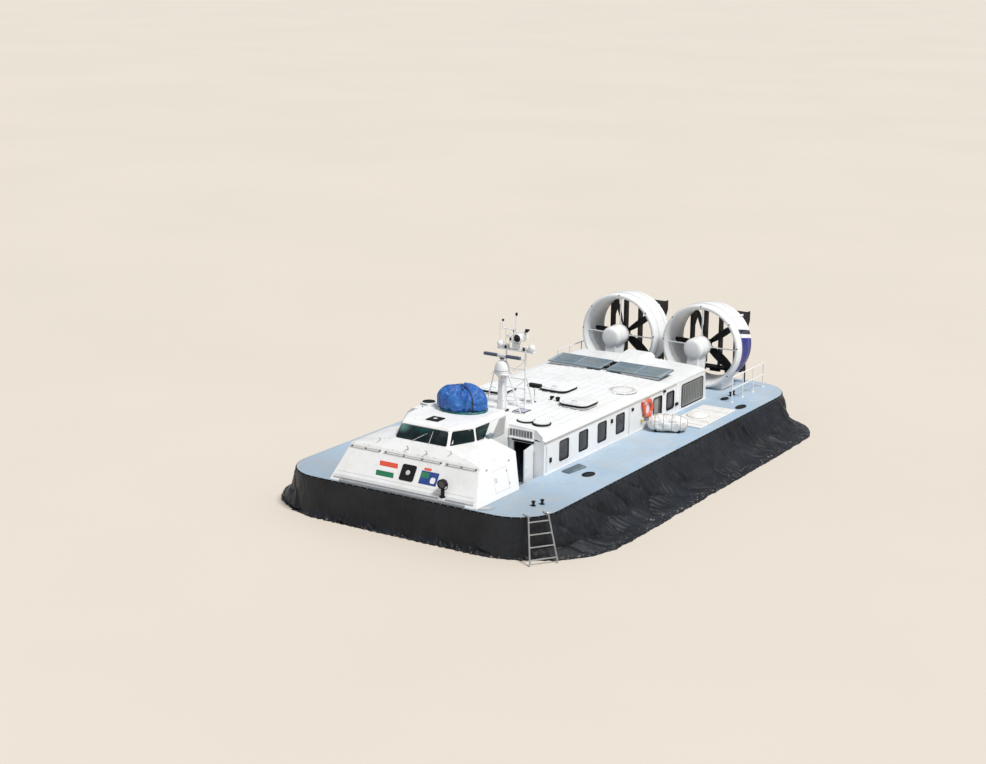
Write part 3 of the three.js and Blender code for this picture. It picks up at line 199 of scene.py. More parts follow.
def pipe(points, radius, sides=3, cyclic=False, smooth_bends=True):
    """Bent tube through a few points, as a mesh."""
    curve = bpy.data.curves.new("pipe", "CURVE")
    curve.dimensions = "3D"
    curve.bevel_depth = radius
    curve.bevel_resolution = sides
    curve.use_fill_caps = True
    kind = "NURBS" if smooth_bends else "POLY"
    spline = curve.splines.new(kind)
    spline.points.add(len(points) - 1)
    for point, place in zip(spline.points, points):
        point.co = (*place, 1)
    spline.use_cyclic_u = cyclic
    if smooth_bends:
        spline.order_u = 3
        spline.use_endpoint_u = not cyclic
        spline.resolution_u = 5
    obj = bpy.data.objects.new("pipe", curve)
    bpy.context.scene.collection.objects.link(obj)
    only(obj)
    bpy.ops.object.convert(target="MESH")
    return bpy.context.view_layer.objects.active


def line_of(points):
    """Chain of edges through points, drawn by extruding one vertex."""
    points = [Vector(p) for p in points]
    bpy.ops.object.select_all(action="DESELECT")
    bpy.ops.mesh.primitive_plane_add(size=0.01, location=points[0])
    obj = settle(bpy.context.object)
    with editing(obj):
        bpy.ops.mesh.select_all(action="SELECT")
        bpy.ops.mesh.merge(type="CENTER")
        for a, b in zip(points, points[1:]):
            bpy.ops.mesh.extrude_region_move(TRANSFORM_OT_translate={"value": b - a})
    return obj


def spun(points, centre, axis, steps, closed=False):
    """Shape turned round an axis from its outline, with its seam and poles merged and its faces turned out."""
    points = list(points) + ([points[0]] if closed else [])
    obj = line_of(points)
    with editing(obj):
        bpy.ops.mesh.select_all(action="SELECT")
        bpy.ops.mesh.spin(steps=steps, angle=2 * math.pi, center=centre, axis=axis)
        bpy.ops.mesh.select_all(action="SELECT")
        bpy.ops.mesh.remove_doubles(threshold=0.0002)
        bpy.ops.mesh.normals_make_consistent(inside=False)
    return obj


def extruded(points, direction, bevel=0.004):
    """Flat outline filled and drawn out along a direction, with its edges rounded."""
    obj = line_of(list(points) + [points[0]])
    with editing(obj):
        bpy.ops.mesh.select_all(action="SELECT")
        bpy.ops.mesh.remove_doubles(threshold=0.0001)
        bpy.ops.mesh.edge_face_add()
        bpy.ops.mesh.extrude_region_move(TRANSFORM_OT_translate={"value": Vector(direction)})
        bpy.ops.mesh.select_all(action="SELECT")
        bpy.ops.mesh.normals_make_consistent(inside=False)
        if bevel:
            bpy.ops.mesh.bevel(offset=bevel, segments=2, affect="EDGES")
    return obj


def panel(corners, lift=0.004, thick=0.008, radius=0.02, rim=0.0, rim_height=0.01):
    """Thin plate on a flat face, from its four corners seen from outside, turning left, with rounded corners.

    With a rim, its border stands up by rim_height."""
    corners = [Vector(c) for c in corners]
    normal = (corners[1] - corners[0]).cross(corners[3] - corners[0]).normalized()
    bpy.ops.object.select_all(action="DESELECT")
    bpy.ops.mesh.primitive_plane_add(size=1)
    obj = bpy.context.object
    order = [0, 1, 3, 2]
    for index, corner in zip(order, corners):
        obj.data.vertices[index].co = corner + normal * (lift - thick)
    with editing(obj):
        bpy.ops.mesh.select_all(action="SELECT")
        if radius:
            bpy.ops.mesh.bevel(offset=radius, segments=5, affect="VERTICES")
        bpy.ops.mesh.extrude_region_move(TRANSFORM_OT_translate={"value": normal * thick})
        bpy.ops.mesh.select_all(action="SELECT")
        bpy.ops.mesh.normals_make_consistent(inside=False)
        if rim:
            pick(obj, "faces", lambda f: f.normal.dot(normal) > 0.99)
            bpy.ops.mesh.inset(thickness=rim, depth=0)
            bpy.ops.mesh.inset(thickness=rim * 0.15, depth=-rim_height)
    if thick > 0.003:
        modified(obj, "BEVEL", width=min(0.002, thick * 0.3), segments=2, limit_method="ANGLE")
    return obj


def rounded(obj, width, segments=2, degrees=30):
    """Rounds the sharp edges, marks their faces for the paint's wear and keeps the flat faces flat."""
    obj.data.polygons.foreach_set("material_index", [0] * len(obj.data.polygons))
    obj.data.materials.clear()
    obj.data.materials.append(None)
    obj.data.materials.append(None)
    modified(obj, "BEVEL", width=width, segments=segments, limit_method="ANGLE",
             angle_limit=math.radians(degrees), material=1, use_clamp_overlap=True)
    mesh = obj.data
    worn = [float(face.material_index == 1) for face in mesh.polygons]
    attribute = mesh.attributes.new("worn_edge", "FLOAT", "FACE")
    attribute.data.foreach_set("value", worn)
    mesh.polygons.foreach_set("material_index", [0] * len(mesh.polygons))
    smoothed(obj, 42)
    modified(obj, "WEIGHTED_NORMAL", keep_sharp=True)
    return obj


def placed(obj, name, material, body=BODY, stands_for=()):
    """Names a finished piece, gives it its finish and fastens it to the craft."""
    settle(obj)
    obj.name = name
    obj.data.name = name
    obj.data.materials.clear()
    obj.data.materials.append(material)
    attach(obj, body)
    if stands_for:
        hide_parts(*stands_for)
    return obj


def refined(node, material, bevel=0.008, body=BODY, segments=2, degrees=30):
    """A CAD node's own form with merged faces, rounded edges and edges marked for wear."""
    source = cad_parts[node]
    obj = bpy.data.objects.new(f"{node}_finish", source.data.copy())
    bpy.context.scene.collection.objects.link(obj)
    with editing(obj):
        bpy.ops.mesh.select_all(action="SELECT")
        bpy.ops.mesh.remove_doubles(threshold=0.00005)
        bpy.ops.mesh.dissolve_limited(angle_limit=math.radians(0.6))
    rounded(obj, bevel, segments, degrees)
    return placed(obj, f"{node}_finish", material, body, (node,))


def hull_of(points, bevel=0.0, segments=2, degrees=5):
    """Convex body round some points, with its edges rounded."""
    obj = line_of(points)
    with editing(obj):
        bpy.ops.mesh.select_all(action="SELECT")
        bpy.ops.mesh.convex_hull()
        bpy.ops.mesh.dissolve_limited(angle_limit=math.radians(0.5))
        bpy.ops.mesh.select_all(action="SELECT")
        bpy.ops.mesh.normals_make_consistent(inside=False)
    return rounded(obj, bevel, segments, degrees) if bevel else obj


def eased(points, steps=4, closed=False):
    """More points on a smooth curve through the given ones."""
    points = [Vector(p) for p in points]
    count = len(points)
    found = []
    for i in range(count if closed else count - 1):
        at = (lambda k: points[k % count]) if closed else (lambda k: points[min(max(k, 0), count - 1)])
        a, b, c, d = at(i - 1), at(i), at(i + 1), at(i + 2)
        for j in range(steps):
            t = j / steps
            found.append((2 * b + (c - a) * t + (2 * a - 5 * b + 4 * c - d) * t * t + (3 * b - a - 3 * c + d) * t ** 3) / 2)
    if not closed:
        found.append(points[-1])
    return found


def outline(half_a, half_b, radius, steps=5):
    """Rounded rectangle about the origin, turning left."""
    points = []
    for index, (sa, sb) in enumerate(((1, -1), (1, 1), (-1, 1), (-1, -1))):
        for step in range(steps + 1):
            angle = -math.pi / 2 + index * math.pi / 2 + step * math.pi / (2 * steps)
            points.append((sa * (half_a - radius) + radius * math.cos(angle),
                           sb * (half_b - radius) + radius * math.sin(angle)))
    return points


def bead(points, radius, sides=2):
    """Closed round bead through points, such as a gasket."""
    return pipe(points, radius, sides, cyclic=True, smooth_bends=False)


def grown(corners, by):
    """Corners of a plate moved outward from its middle."""
    middle = sum((Vector(c) for c in corners), Vector()) / len(corners)
    return [Vector(c) + (Vector(c) - middle).normalized() * by for c in corners]


def body_of_turns(profile, x_axis_y, height, steps=64, close=False):
    """Body turned round an axis along X, from points of x and radius."""
    points = [(x, x_axis_y, height + radius) for x, radius in profile]
    obj = spun(points, (0, x_axis_y, height), (1, 0, 0), steps, close)
    return smoothed(obj, 40)


def upright_body(profile, x, y, steps=32):
    """Body turned round an upright axis, from points of radius and height."""
    return smoothed(spun([(x + radius, y, z) for radius, z in profile], (x, y, 0), (0, 0, 1), steps), 40)


def puffed(obj, held, pressure, shrink, stiff, frames=20, most=0.12):
    """Cloth simulation that swells and crumples a closed cover, held at some of its points."""
    before = [vert.co.copy() for vert in obj.data.vertices]
    group = obj.vertex_groups.new(name="held")
    group.add([vert.index for vert in obj.data.vertices if held(vert.co)], 1.0, "REPLACE")
    only(obj)
    modifier = obj.modifiers.new("Cloth", "CLOTH")
    cloth = modifier.settings
    cloth.quality = 6
    cloth.mass = 0.25
    cloth.tension_stiffness = stiff
    cloth.compression_stiffness = stiff * 0.6
    cloth.shear_stiffness = stiff * 0.4
    cloth.bending_stiffness = 0.25
    cloth.use_pressure = True
    cloth.uniform_pressure_force = pressure
    cloth.shrink_min = shrink
    cloth.shrink_max = shrink
    cloth.vertex_group_mass = "held"
    cloth.effector_weights.gravity = 0.35
    modifier.point_cache.frame_end = frames
    scene = bpy.context.scene
    for number in range(1, frames + 1):
        scene.frame_set(number)
    bpy.ops.object.modifier_apply(modifier=modifier.name)
    scene.frame_set(1)
    for vert, start in zip(obj.data.vertices, before):
        move = vert.co - start
        if move.length > most:
            vert.co = start + move * (most / move.length)
    obj.vertex_groups.clear()
    return obj


def strap_over(obj, centre, plane_normal, angles, radius, lift=0.004, flat=0.3, reach=3.0):
    """Strap that lies on a cover, found by looking at it from outside in one plane through its centre."""
    centre = Vector(centre)
    normal = Vector(plane_normal).normalized()
    across = normal.cross(Vector((0, 0, 1))).normalized()
    points = []
    low, high, count = angles
    for i in range(count):
        angle = math.radians(low + (high - low) * i / (count - 1))
        out = across * math.cos(angle) + Vector((0, 0, 1)) * math.sin(angle)
        found, place, _, _ = obj.ray_cast(centre + out * reach, -out)
        if found:
            points.append(place + out * lift)
    return pipe(points, radius, 2)


# Finishes

def new_group(name, inputs, outputs):
    """Empty shader node group with named inputs and outputs."""
    group = bpy.data.node_groups.new(name, "ShaderNodeTree")
    for label, kind, default in inputs:
        socket = group.interface.new_socket(name=label, in_out="INPUT", socket_type=kind)
        socket.default_value = default
    for label, kind in outputs:
        group.interface.new_socket(name=label, in_out="OUTPUT", socket_type=kind)
    return group, group.nodes.new("NodeGroupInput"), group.nodes.new("NodeGroupOutput")


def node(tree, kind, inputs=None, **settings):
    """Adds a node, sets its properties and fills or links its inputs."""
    made = tree.nodes.new(kind)
    for key, value in settings.items():
        setattr(made, key, value)
    for key, value in (inputs or {}).items():
        if isinstance(value, bpy.types.NodeSocket):
            tree.links.new(value, made.inputs[key])
        else:
            made.inputs[key].default_value = value
    return made


def calc(tree, operation, a, b=0.0, clamp=False):
    """Result of a Math node."""
    return node(tree, "ShaderNodeMath", {0: a, 1: b}, operation=operation, use_clamp=clamp).outputs[0]


def ramp(tree, value, low, high, low_out=0.0, high_out=1.0):
    """Value mapped smoothly from one range to another."""
    made = node(tree, "ShaderNodeMapRange", {"Value": value, "From Min": low, "From Max": high,
                "To Min": low_out, "To Max": high_out}, interpolation_type="SMOOTHSTEP")
    return made.outputs["Result"]


def mix_colour(tree, share, a, b, blend="MIX"):
    """Colour between two colours by a share."""
    made = tree.nodes.new("ShaderNodeMix")
    made.data_type = "RGBA"
    made.blend_type = blend
    for index, value in ((0, share), (6, a), (7, b)):
        if isinstance(value, bpy.types.NodeSocket):
            tree.links.new(value, made.inputs[index])
        else:
            made.inputs[index].default_value = value
    return made.outputs[2]


def stretched(tree, vector, scale):
    """Coordinates scaled by three factors."""
    return node(tree, "ShaderNodeMapping", {"Vector": vector, "Scale": scale}).outputs[0]


def clouds(tree, vector, scale, detail=3.0, roughness=0.55, warp=0.0):
    """Noise value at a scale."""
    return node(tree, "ShaderNodeTexNoise", {"Vector": vector, "Scale": scale, "Detail": detail,
                "Roughness": roughness, "Distortion": warp}).outputs["Fac"]


def make_groups():
    """Node groups that several finishes share."""
    tree, enter, leave = new_group("Sun fading", [
        ("Vector", "NodeSocketVector", (0, 0, 0)), ("Colour", "NodeSocketColor", (0.8, 0.8, 0.8, 1)),
        ("Faded", "NodeSocketColor", (0.7, 0.7, 0.7, 1)), ("Scale", "NodeSocketFloat", 0.6),
        ("Amount", "NodeSocketFloat", 0.5)], [("Colour", "NodeSocketColor")])
    broad = clouds(tree, enter.outputs["Vector"], enter.outputs["Scale"], 4)
    fine = clouds(tree, enter.outputs["Vector"], calc(tree, "MULTIPLY", enter.outputs["Scale"], 14.0), 2)
    both = calc(tree, "ADD", calc(tree, "MULTIPLY", broad, 0.7), calc(tree, "MULTIPLY", fine, 0.3))
    share = calc(tree, "MULTIPLY", ramp(tree, both, 0.35, 0.68), enter.outputs["Amount"])
    tree.links.new(mix_colour(tree, share, enter.outputs["Colour"], enter.outputs["Faded"]), leave.inputs[0])

    tree, enter, leave = new_group("Rain streaks", [
        ("Vector", "NodeSocketVector", (0, 0, 0)), ("Scale", "NodeSocketFloat", 3.0),
        ("Amount", "NodeSocketFloat", 0.4)], [("Mask", "NodeSocketFloat")])
    scaled = node(tree, "ShaderNodeVectorMath", {0: enter.outputs["Vector"], "Scale": enter.outputs["Scale"]},
                  operation="SCALE").outputs[0]
    runs = clouds(tree, stretched(tree, scaled, (1.0, 1.0, 0.07)), 1.6, 4, 0.6)
    patches = clouds(tree, scaled, 0.35, 2)
    normal = node(tree, "ShaderNodeNewGeometry").outputs["Normal"]
    up = node(tree, "ShaderNodeSeparateXYZ", {0: normal}).outputs[2]
    steep = ramp(tree, calc(tree, "ABSOLUTE", up), 0.5, 0.9, 1.0, 0.15)
    mask = calc(tree, "MULTIPLY", ramp(tree, runs, 0.56, 0.78), ramp(tree, patches, 0.4, 0.65))
    mask = calc(tree, "MULTIPLY", calc(tree, "MULTIPLY", mask, steep), enter.outputs["Amount"])
    tree.links.new(mask, leave.inputs[0])

    tree, enter, leave = new_group("Settled dust", [
        ("Vector", "NodeSocketVector", (0, 0, 0)), ("Scale", "NodeSocketFloat", 1.5),
        ("Amount", "NodeSocketFloat", 0.4)], [("Mask", "NodeSocketFloat")])
    normal = node(tree, "ShaderNodeNewGeometry").outputs["Normal"]
    up = node(tree, "ShaderNodeSeparateXYZ", {0: normal}).outputs[2]
    lying = ramp(tree, up, 0.15, 0.95, 0.12, 1.0)
    drift = ramp(tree, clouds(tree, enter.outputs["Vector"], enter.outputs["Scale"], 5, 0.65, 0.6), 0.42, 0.72)
    specks = ramp(tree, clouds(tree, enter.outputs["Vector"], 60.0, 2), 0.35, 0.7)
    mask = calc(tree, "MULTIPLY", calc(tree, "MULTIPLY", lying, drift), calc(tree, "ADD", specks, 0.4))
    tree.links.new(calc(tree, "MULTIPLY", mask, enter.outputs["Amount"], True), leave.inputs[0])

    tree, enter, leave = new_group("Edge wear", [
        ("Vector", "NodeSocketVector", (0, 0, 0)), ("Amount", "NodeSocketFloat", 0.5)],
        [("Mask", "NodeSocketFloat")])
    edge = node(tree, "ShaderNodeAttribute", attribute_name="worn_edge").outputs["Fac"]
    chips = ramp(tree, clouds(tree, enter.outputs["Vector"], 9.0, 5, 0.7), 0.5, 0.62)
    mask = calc(tree, "MULTIPLY", calc(tree, "MULTIPLY", ramp(tree, edge, 0.35, 0.9), chips), enter.outputs["Amount"])
    tree.links.new(mask, leave.inputs[0])

    tree, enter, leave = new_group("Orange peel", [
        ("Vector", "NodeSocketVector", (0, 0, 0)), ("Scale", "NodeSocketFloat", 120.0)],
        [("Height", "NodeSocketFloat")])
    peel = clouds(tree, enter.outputs["Vector"], enter.outputs["Scale"], 2)
    swell = clouds(tree, enter.outputs["Vector"], 1.3, 2)
    height = calc(tree, "ADD", calc(tree, "MULTIPLY", peel, 0.2), calc(tree, "MULTIPLY", swell, 2.0))
    tree.links.new(height, leave.inputs[0])

    tree, enter, leave = new_group("Non slip grit", [
        ("Vector", "NodeSocketVector", (0, 0, 0)), ("Scale", "NodeSocketFloat", 160.0)],
        [("Height", "NodeSocketFloat")])
    grit = node(tree, "ShaderNodeTexVoronoi", {"Vector": enter.outputs["Vector"], "Scale": enter.outputs["Scale"]})
    tree.links.new(ramp(tree, grit.outputs["Distance"], 0.1, 0.6, 1.0, 0.0), leave.inputs[0])

    tree, enter, leave = new_group("Cloth weave", [
        ("Vector", "NodeSocketVector", (0, 0, 0)), ("Scale", "NodeSocketFloat", 90.0)],
        [("Height", "NodeSocketFloat")])
    warp = node(tree, "ShaderNodeTexWave", {"Vector": enter.outputs["Vector"], "Scale": enter.outputs["Scale"],
                "Distortion": 0.4}, bands_direction="X").outputs["Fac"]
    weft = node(tree, "ShaderNodeTexWave", {"Vector": enter.outputs["Vector"], "Scale": enter.outputs["Scale"],
                "Distortion": 0.4}, bands_direction="Z").outputs["Fac"]
    tree.links.new(calc(tree, "MAXIMUM", warp, weft), leave.inputs[0])


def use_group(tree, name, inputs):
    """Places a shared node group in a material."""
    made = tree.nodes.new("ShaderNodeGroup")
    made.node_tree = bpy.data.node_groups[name]
    for key, value in inputs.items():
        if isinstance(value, bpy.types.NodeSocket):
            tree.links.new(value, made.inputs[key])
        else:
            made.inputs[key].default_value = value
    return made.outputs[0]


def rgb(colour):
    return (*colour[:3], 1.0)


def new_material(name):
    """Material with its Principled shader and its Object coordinates."""
    material = bpy.data.materials.new(name)
    material.use_nodes = True
    tree = material.node_tree
    shader = tree.nodes["Principled BSDF"]
    place = tree.nodes.new("ShaderNodeTexCoord").outputs["Object"]
    return material, tree, shader, place


def painted(name, colour, faded, rough=0.42, dirt=(0.36, 0.31, 0.25), dust=0.3, streaks=0.35, wear=0.5,
            bare=(0.35, 0.33, 0.3), gloss=0.5, coat=0.0, peel=0.02, fading=0.5, extra=None):
    """Paint with fading, rain streaks, settled dust and worn edges."""
    material, tree, shader, place = new_material(name)
    base = use_group(tree, "Sun fading", {"Vector": place, "Colour": rgb(colour), "Faded": rgb(faded),
                     "Scale": 0.5, "Amount": fading})
    if extra:
        base = extra(tree, place, base)
    runs = use_group(tree, "Rain streaks", {"Vector": place, "Scale": 2.6, "Amount": streaks})
    base = mix_colour(tree, runs, base, rgb(dirt))
    worn = use_group(tree, "Edge wear", {"Vector": place, "Amount": wear})
    base = mix_colour(tree, worn, base, rgb(bare))
    settled = use_group(tree, "Settled dust", {"Vector": place, "Scale": 1.4, "Amount": dust})
    base = mix_colour(tree, settled, base, rgb(dirt))
    tree.links.new(base, shader.inputs["Base Color"])
    spread = clouds(tree, place, 2.3, 3)
    rough_value = calc(tree, "ADD", ramp(tree, spread, 0.3, 0.7, rough - 0.08, rough + 0.1),
                       calc(tree, "MULTIPLY", settled, 0.5), True)
    tree.links.new(rough_value, shader.inputs["Roughness"])
    shader.inputs["Specular IOR Level"].default_value = gloss
    shader.inputs["Coat Weight"].default_value = coat
    height = use_group(tree, "Orange peel", {"Vector": place, "Scale": 140.0})
    bump = node(tree, "ShaderNodeBump", {"Height": height, "Strength": 0.5, "Distance": peel})
    tree.links.new(bump.outputs[0], shader.inputs["Normal"])
    return material


def deck_finish(name, colour, faded):
    """Non-slip deck paint with sand that feet have carried over it."""
    material, tree, shader, place = new_material(name)
    base = use_group(tree, "Sun fading", {"Vector": place, "Colour": rgb(colour), "Faded": rgb(faded),
                     "Scale": 0.35, "Amount": 0.9})
    scuffs = ramp(tree, clouds(tree, stretched(tree, place, (0.5, 1.6, 1.0)), 1.1, 6, 0.7, 0.8), 0.5, 0.75)
    base = mix_colour(tree, calc(tree, "MULTIPLY", scuffs, 0.35), base, rgb((0.62, 0.7, 0.76)))
    ahead = ramp(tree, node(tree, "ShaderNodeSeparateXYZ", {0: place}).outputs[0], 5.6, 9.4, 0.0, 0.6)
    base = mix_colour(tree, ahead, base, rgb((0.27, 0.32, 0.37)))
    sand = use_group(tree, "Settled dust", {"Vector": place, "Scale": 0.9, "Amount": 0.32})
    base = mix_colour(tree, sand, base, rgb((0.5, 0.43, 0.33)))
    worn = use_group(tree, "Edge wear", {"Vector": place, "Amount": 0.8})
    base = mix_colour(tree, worn, base, rgb((0.55, 0.57, 0.58)))
    tree.links.new(base, shader.inputs["Base Color"])
    tree.links.new(ramp(tree, clouds(tree, place, 1.9, 3), 0.3, 0.7, 0.52, 0.75), shader.inputs["Roughness"])
    grit = use_group(tree, "Non slip grit", {"Vector": place, "Scale": 110.0})
    bump = node(tree, "ShaderNodeBump", {"Height": grit, "Strength": 0.6, "Distance": 0.003})
    tree.links.new(bump.outputs[0], shader.inputs["Normal"])
    return material


def skirt_finish(name):
    """Black rubberised cloth with a cold sheen and brown dust low down."""
    material, tree, shader, place = new_material(name)
    base = use_group(tree, "Sun fading", {"Vector": place, "Colour": rgb((0.0045, 0.0055, 0.008)),
                     "Faded": rgb((0.013, 0.017, 0.025)), "Scale": 0.7, "Amount": 1.0})
    height = node(tree, "ShaderNodeSeparateXYZ", {0: place}).outputs[2]
    low = ramp(tree, height, 0.05, 0.9, 1.0, 0.3)
    drift = ramp(tree, clouds(tree, stretched(tree, place, (1.0, 1.0, 0.5)), 1.1, 6, 0.7, 0.5), 0.5, 0.85)
    dusty = calc(tree, "MULTIPLY", calc(tree, "MULTIPLY", drift, low), 0.16)
    base = mix_colour(tree, dusty, base, rgb((0.14, 0.12, 0.095)))
    runs = ramp(tree, clouds(tree, stretched(tree, place, (1.4, 1.4, 0.16)), 2.2, 5, 0.65), 0.6, 0.84)
    base = mix_colour(tree, calc(tree, "MULTIPLY", runs, 0.34), base, rgb((0.05, 0.053, 0.056)))
    flecks = ramp(tree, clouds(tree, place, 14.0, 2), 0.6, 0.68)
    hem = ramp(tree, height, 0.02, 0.12, 1.0, 0.0)
    base = mix_colour(tree, calc(tree, "MULTIPLY", flecks, calc(tree, "MULTIPLY", hem, 0.7)), base,
                      rgb((0.4, 0.36, 0.3)))
    tree.links.new(base, shader.inputs["Base Color"])
    tree.links.new(ramp(tree, clouds(tree, place, 1.6, 4), 0.3, 0.7, 0.42, 0.56), shader.inputs["Roughness"])
    shader.inputs["Specular IOR Level"].default_value = 0.32
    weave = use_group(tree, "Cloth weave", {"Vector": place, "Scale": 60.0})
    creases = clouds(tree, stretched(tree, place, (1.3, 1.3, 0.3)), 3.4, 5, 0.55, 0.5)
    together = calc(tree, "ADD", calc(tree, "MULTIPLY", weave, 0.03), creases)
    bump = node(tree, "ShaderNodeBump", {"Height": together, "Strength": 0.7, "Distance": 0.06})
    tree.links.new(bump.outputs[0], shader.inputs["Normal"])
    return material


def cloth_finish(name, colour, faded, dark, rough, weave_scale, coat=0.0, stains=None):
    """Coated cloth with darker lines painted as the shade in its creases, sun-faded patches and a weave."""
    material, tree, shader, place = new_material(name)
    base = use_group(tree, "Sun fading", {"Vector": place, "Colour": rgb(colour), "Faded": rgb(faded),
                     "Scale": 3.0, "Amount": 0.8})
    # Darker lines along the edges of a Voronoi pattern, painted as the shade in the cloth's creases.
    lines = node(tree, "ShaderNodeTexVoronoi", {"Vector": place, "Scale": 5.0}, feature="DISTANCE_TO_EDGE")
    crease_shade = ramp(tree, lines.outputs["Distance"], 0.0, 0.06, 1.0, 0.0)
    base = mix_colour(tree, calc(tree, "MULTIPLY", crease_shade, 0.45), base, rgb(dark))
    if stains:
        spots = ramp(tree, clouds(tree, place, 4.0, 5, 0.7, 1.0), 0.52, 0.7)
        base = mix_colour(tree, calc(tree, "MULTIPLY", spots, 0.6), base, rgb(stains))
    tree.links.new(base, shader.inputs["Base Color"])
    tree.links.new(ramp(tree, clouds(tree, place, 6.0, 3), 0.3, 0.7, rough - 0.1, rough + 0.12), shader.inputs["Roughness"])
    shader.inputs["Coat Weight"].default_value = coat
    weave = use_group(tree, "Cloth weave", {"Vector": place, "Scale": weave_scale})
    folds = clouds(tree, place, 9.0, 5, 0.6, 1.2)
    together = calc(tree, "ADD", calc(tree, "MULTIPLY", weave, 0.04), folds)
    bump = node(tree, "ShaderNodeBump", {"Height": together, "Strength": 0.8, "Distance": 0.02})
    tree.links.new(bump.outputs[0], shader.inputs["Normal"])
    return material


def glass_finish(name, deep, pale, extra=None, gloss=0.25):
    """Dark tinted glass with a paler cast here and there and dried drops."""
    material, tree, shader, place = new_material(name)
    shade = ramp(tree, clouds(tree, stretched(tree, place, (0.7, 0.7, 1.6)), 0.9, 2, 0.5, 0.4), 0.48, 0.7)
    base = mix_colour(tree, shade, rgb(deep), rgb(pale))
    if extra:
        base = extra(tree, place, base)
    film = use_group(tree, "Settled dust", {"Vector": place, "Scale": 3.0, "Amount": 0.12})
    base = mix_colour(tree, film, base, rgb((0.4, 0.38, 0.34)))
    tree.links.new(base, shader.inputs["Base Color"])
    spots = ramp(tree, clouds(tree, place, 30.0, 3), 0.55, 0.8, 0.08, 0.2)
    tree.links.new(spots, shader.inputs["Roughness"])
    shader.inputs["Specular IOR Level"].default_value = gloss
    return material


def metal_finish(name, colour, rough, metallic=1.0, tarnish=(0.3, 0.27, 0.23)):
    """Bare or plated metal with brushed grain and tarnish."""
    material, tree, shader, place = new_material(name)
    base = use_group(tree, "Sun fading", {"Vector": place, "Colour": rgb(colour), "Faded": rgb(tarnish),
                     "Scale": 4.0, "Amount": 0.5})
    dust = use_group(tree, "Settled dust", {"Vector": place, "Scale": 3.0, "Amount": 0.25})
    base = mix_colour(tree, dust, base, rgb((0.4, 0.36, 0.3)))
    tree.links.new(base, shader.inputs["Base Color"])
    grain = clouds(tree, stretched(tree, place, (1.0, 1.0, 12.0)), 40.0, 3)
    tree.links.new(ramp(tree, grain, 0.3, 0.7, rough - 0.08, rough + 0.12), shader.inputs["Roughness"])
    shader.inputs["Metallic"].default_value = metallic
    bump = node(tree, "ShaderNodeBump", {"Height": grain, "Strength": 0.3, "Distance": 0.002})
    tree.links.new(bump.outputs[0], shader.inputs["Normal"])
    return material


# Settings

def colour(name, description, default):
    """A paint's colour for the settings."""
    return bpy.props.FloatVectorProperty(
        name=name, description=description, subtype="COLOR", size=3, min=0.0, max=1.0, default=default)


def length(name, description, default):
    """A size in metres for the settings."""
    return bpy.props.FloatProperty(name=name, description=description, unit="LENGTH", default=default)


def share(name, description, default):
    """A share from none to all for the settings."""
    return bpy.props.FloatProperty(
        name=name, description=description, subtype="FACTOR", min=0.0, max=1.0, default=default)


class CraftColours(bpy.types.PropertyGroup):
    """Colours of the paints, cloths and glass"""

    white: colour("White", "Topsides, cabin, roof and ducts", (0.84, 0.85, 0.86))
    deck: colour("Deck", "Non-slip deck paint", (0.34, 0.47, 0.6))
    intake: colour("Intakes", "Air intake panels", (0.125, 0.17, 0.205))
    black: colour("Black", "Propellers, rudders and small fittings", (0.007, 0.007, 0.008))
    rudder: colour("Rudders", "Sun-browned black of the rudders", (0.012, 0.01, 0.01))
    window: colour("Windows", "Tinted cabin windows", (0.055, 0.055, 0.062))
    windscreen: colour("Windscreen", "Tinted wheelhouse glass", (0.0025, 0.010, 0.0115))
    tarpaulin: colour("Tarpaulin", "Cover of the bundle on the wheelhouse", (0.006, 0.075, 0.36))
    stripe: colour("Duct stripe", "Broad stripe on the ducts", (0.005, 0.012, 0.22))
    lifebuoy: colour("Lifebuoy", "Ring on the cabin wall", (0.78, 0.055, 0.02))
    grille: colour("Grilles", "Mesh of the side grilles", (0.27, 0.27, 0.26))
    scanner: colour("Scanner", "Bar of the radar scanner", (0.035, 0.05, 0.095))


class CraftSkirt(bpy.types.PropertyGroup):
    """Shape of the skirt's cloth"""

    pleat_pitch: length("Pleat pitch", "Distance between the fine pleats under the deck edge", 0.27)
    pleat_depth: length("Pleat depth", "How far the fine pleats stand out", 0.05)
    swell: length("Swell", "How far the cloth bellies between its broad creases", 0.085)
    columns: bpy.props.IntProperty(name="Columns", description="Points along each quarter", default=640, min=60)
    rows: bpy.props.IntProperty(name="Rows", description="Points down the cloth", default=54, min=12)


class CraftFittings(bpy.types.PropertyGroup):
    """Sizes of what is fitted to the craft"""

    edge: length("Edge radius", "Rounding of the plated edges", 0.008)
    gasket: length("Gasket", "Width of the rubber round the windows", 0.026)
    rail: length("Grab rail", "Radius of the rails on the bow shoulder", 0.017)
    blades: bpy.props.IntProperty(name="Blades", description="Blades of each propeller", default=5, min=2, max=8)
    mesh_pitch: length("Mesh pitch", "Distance between the wires of the side grilles", 0.075)


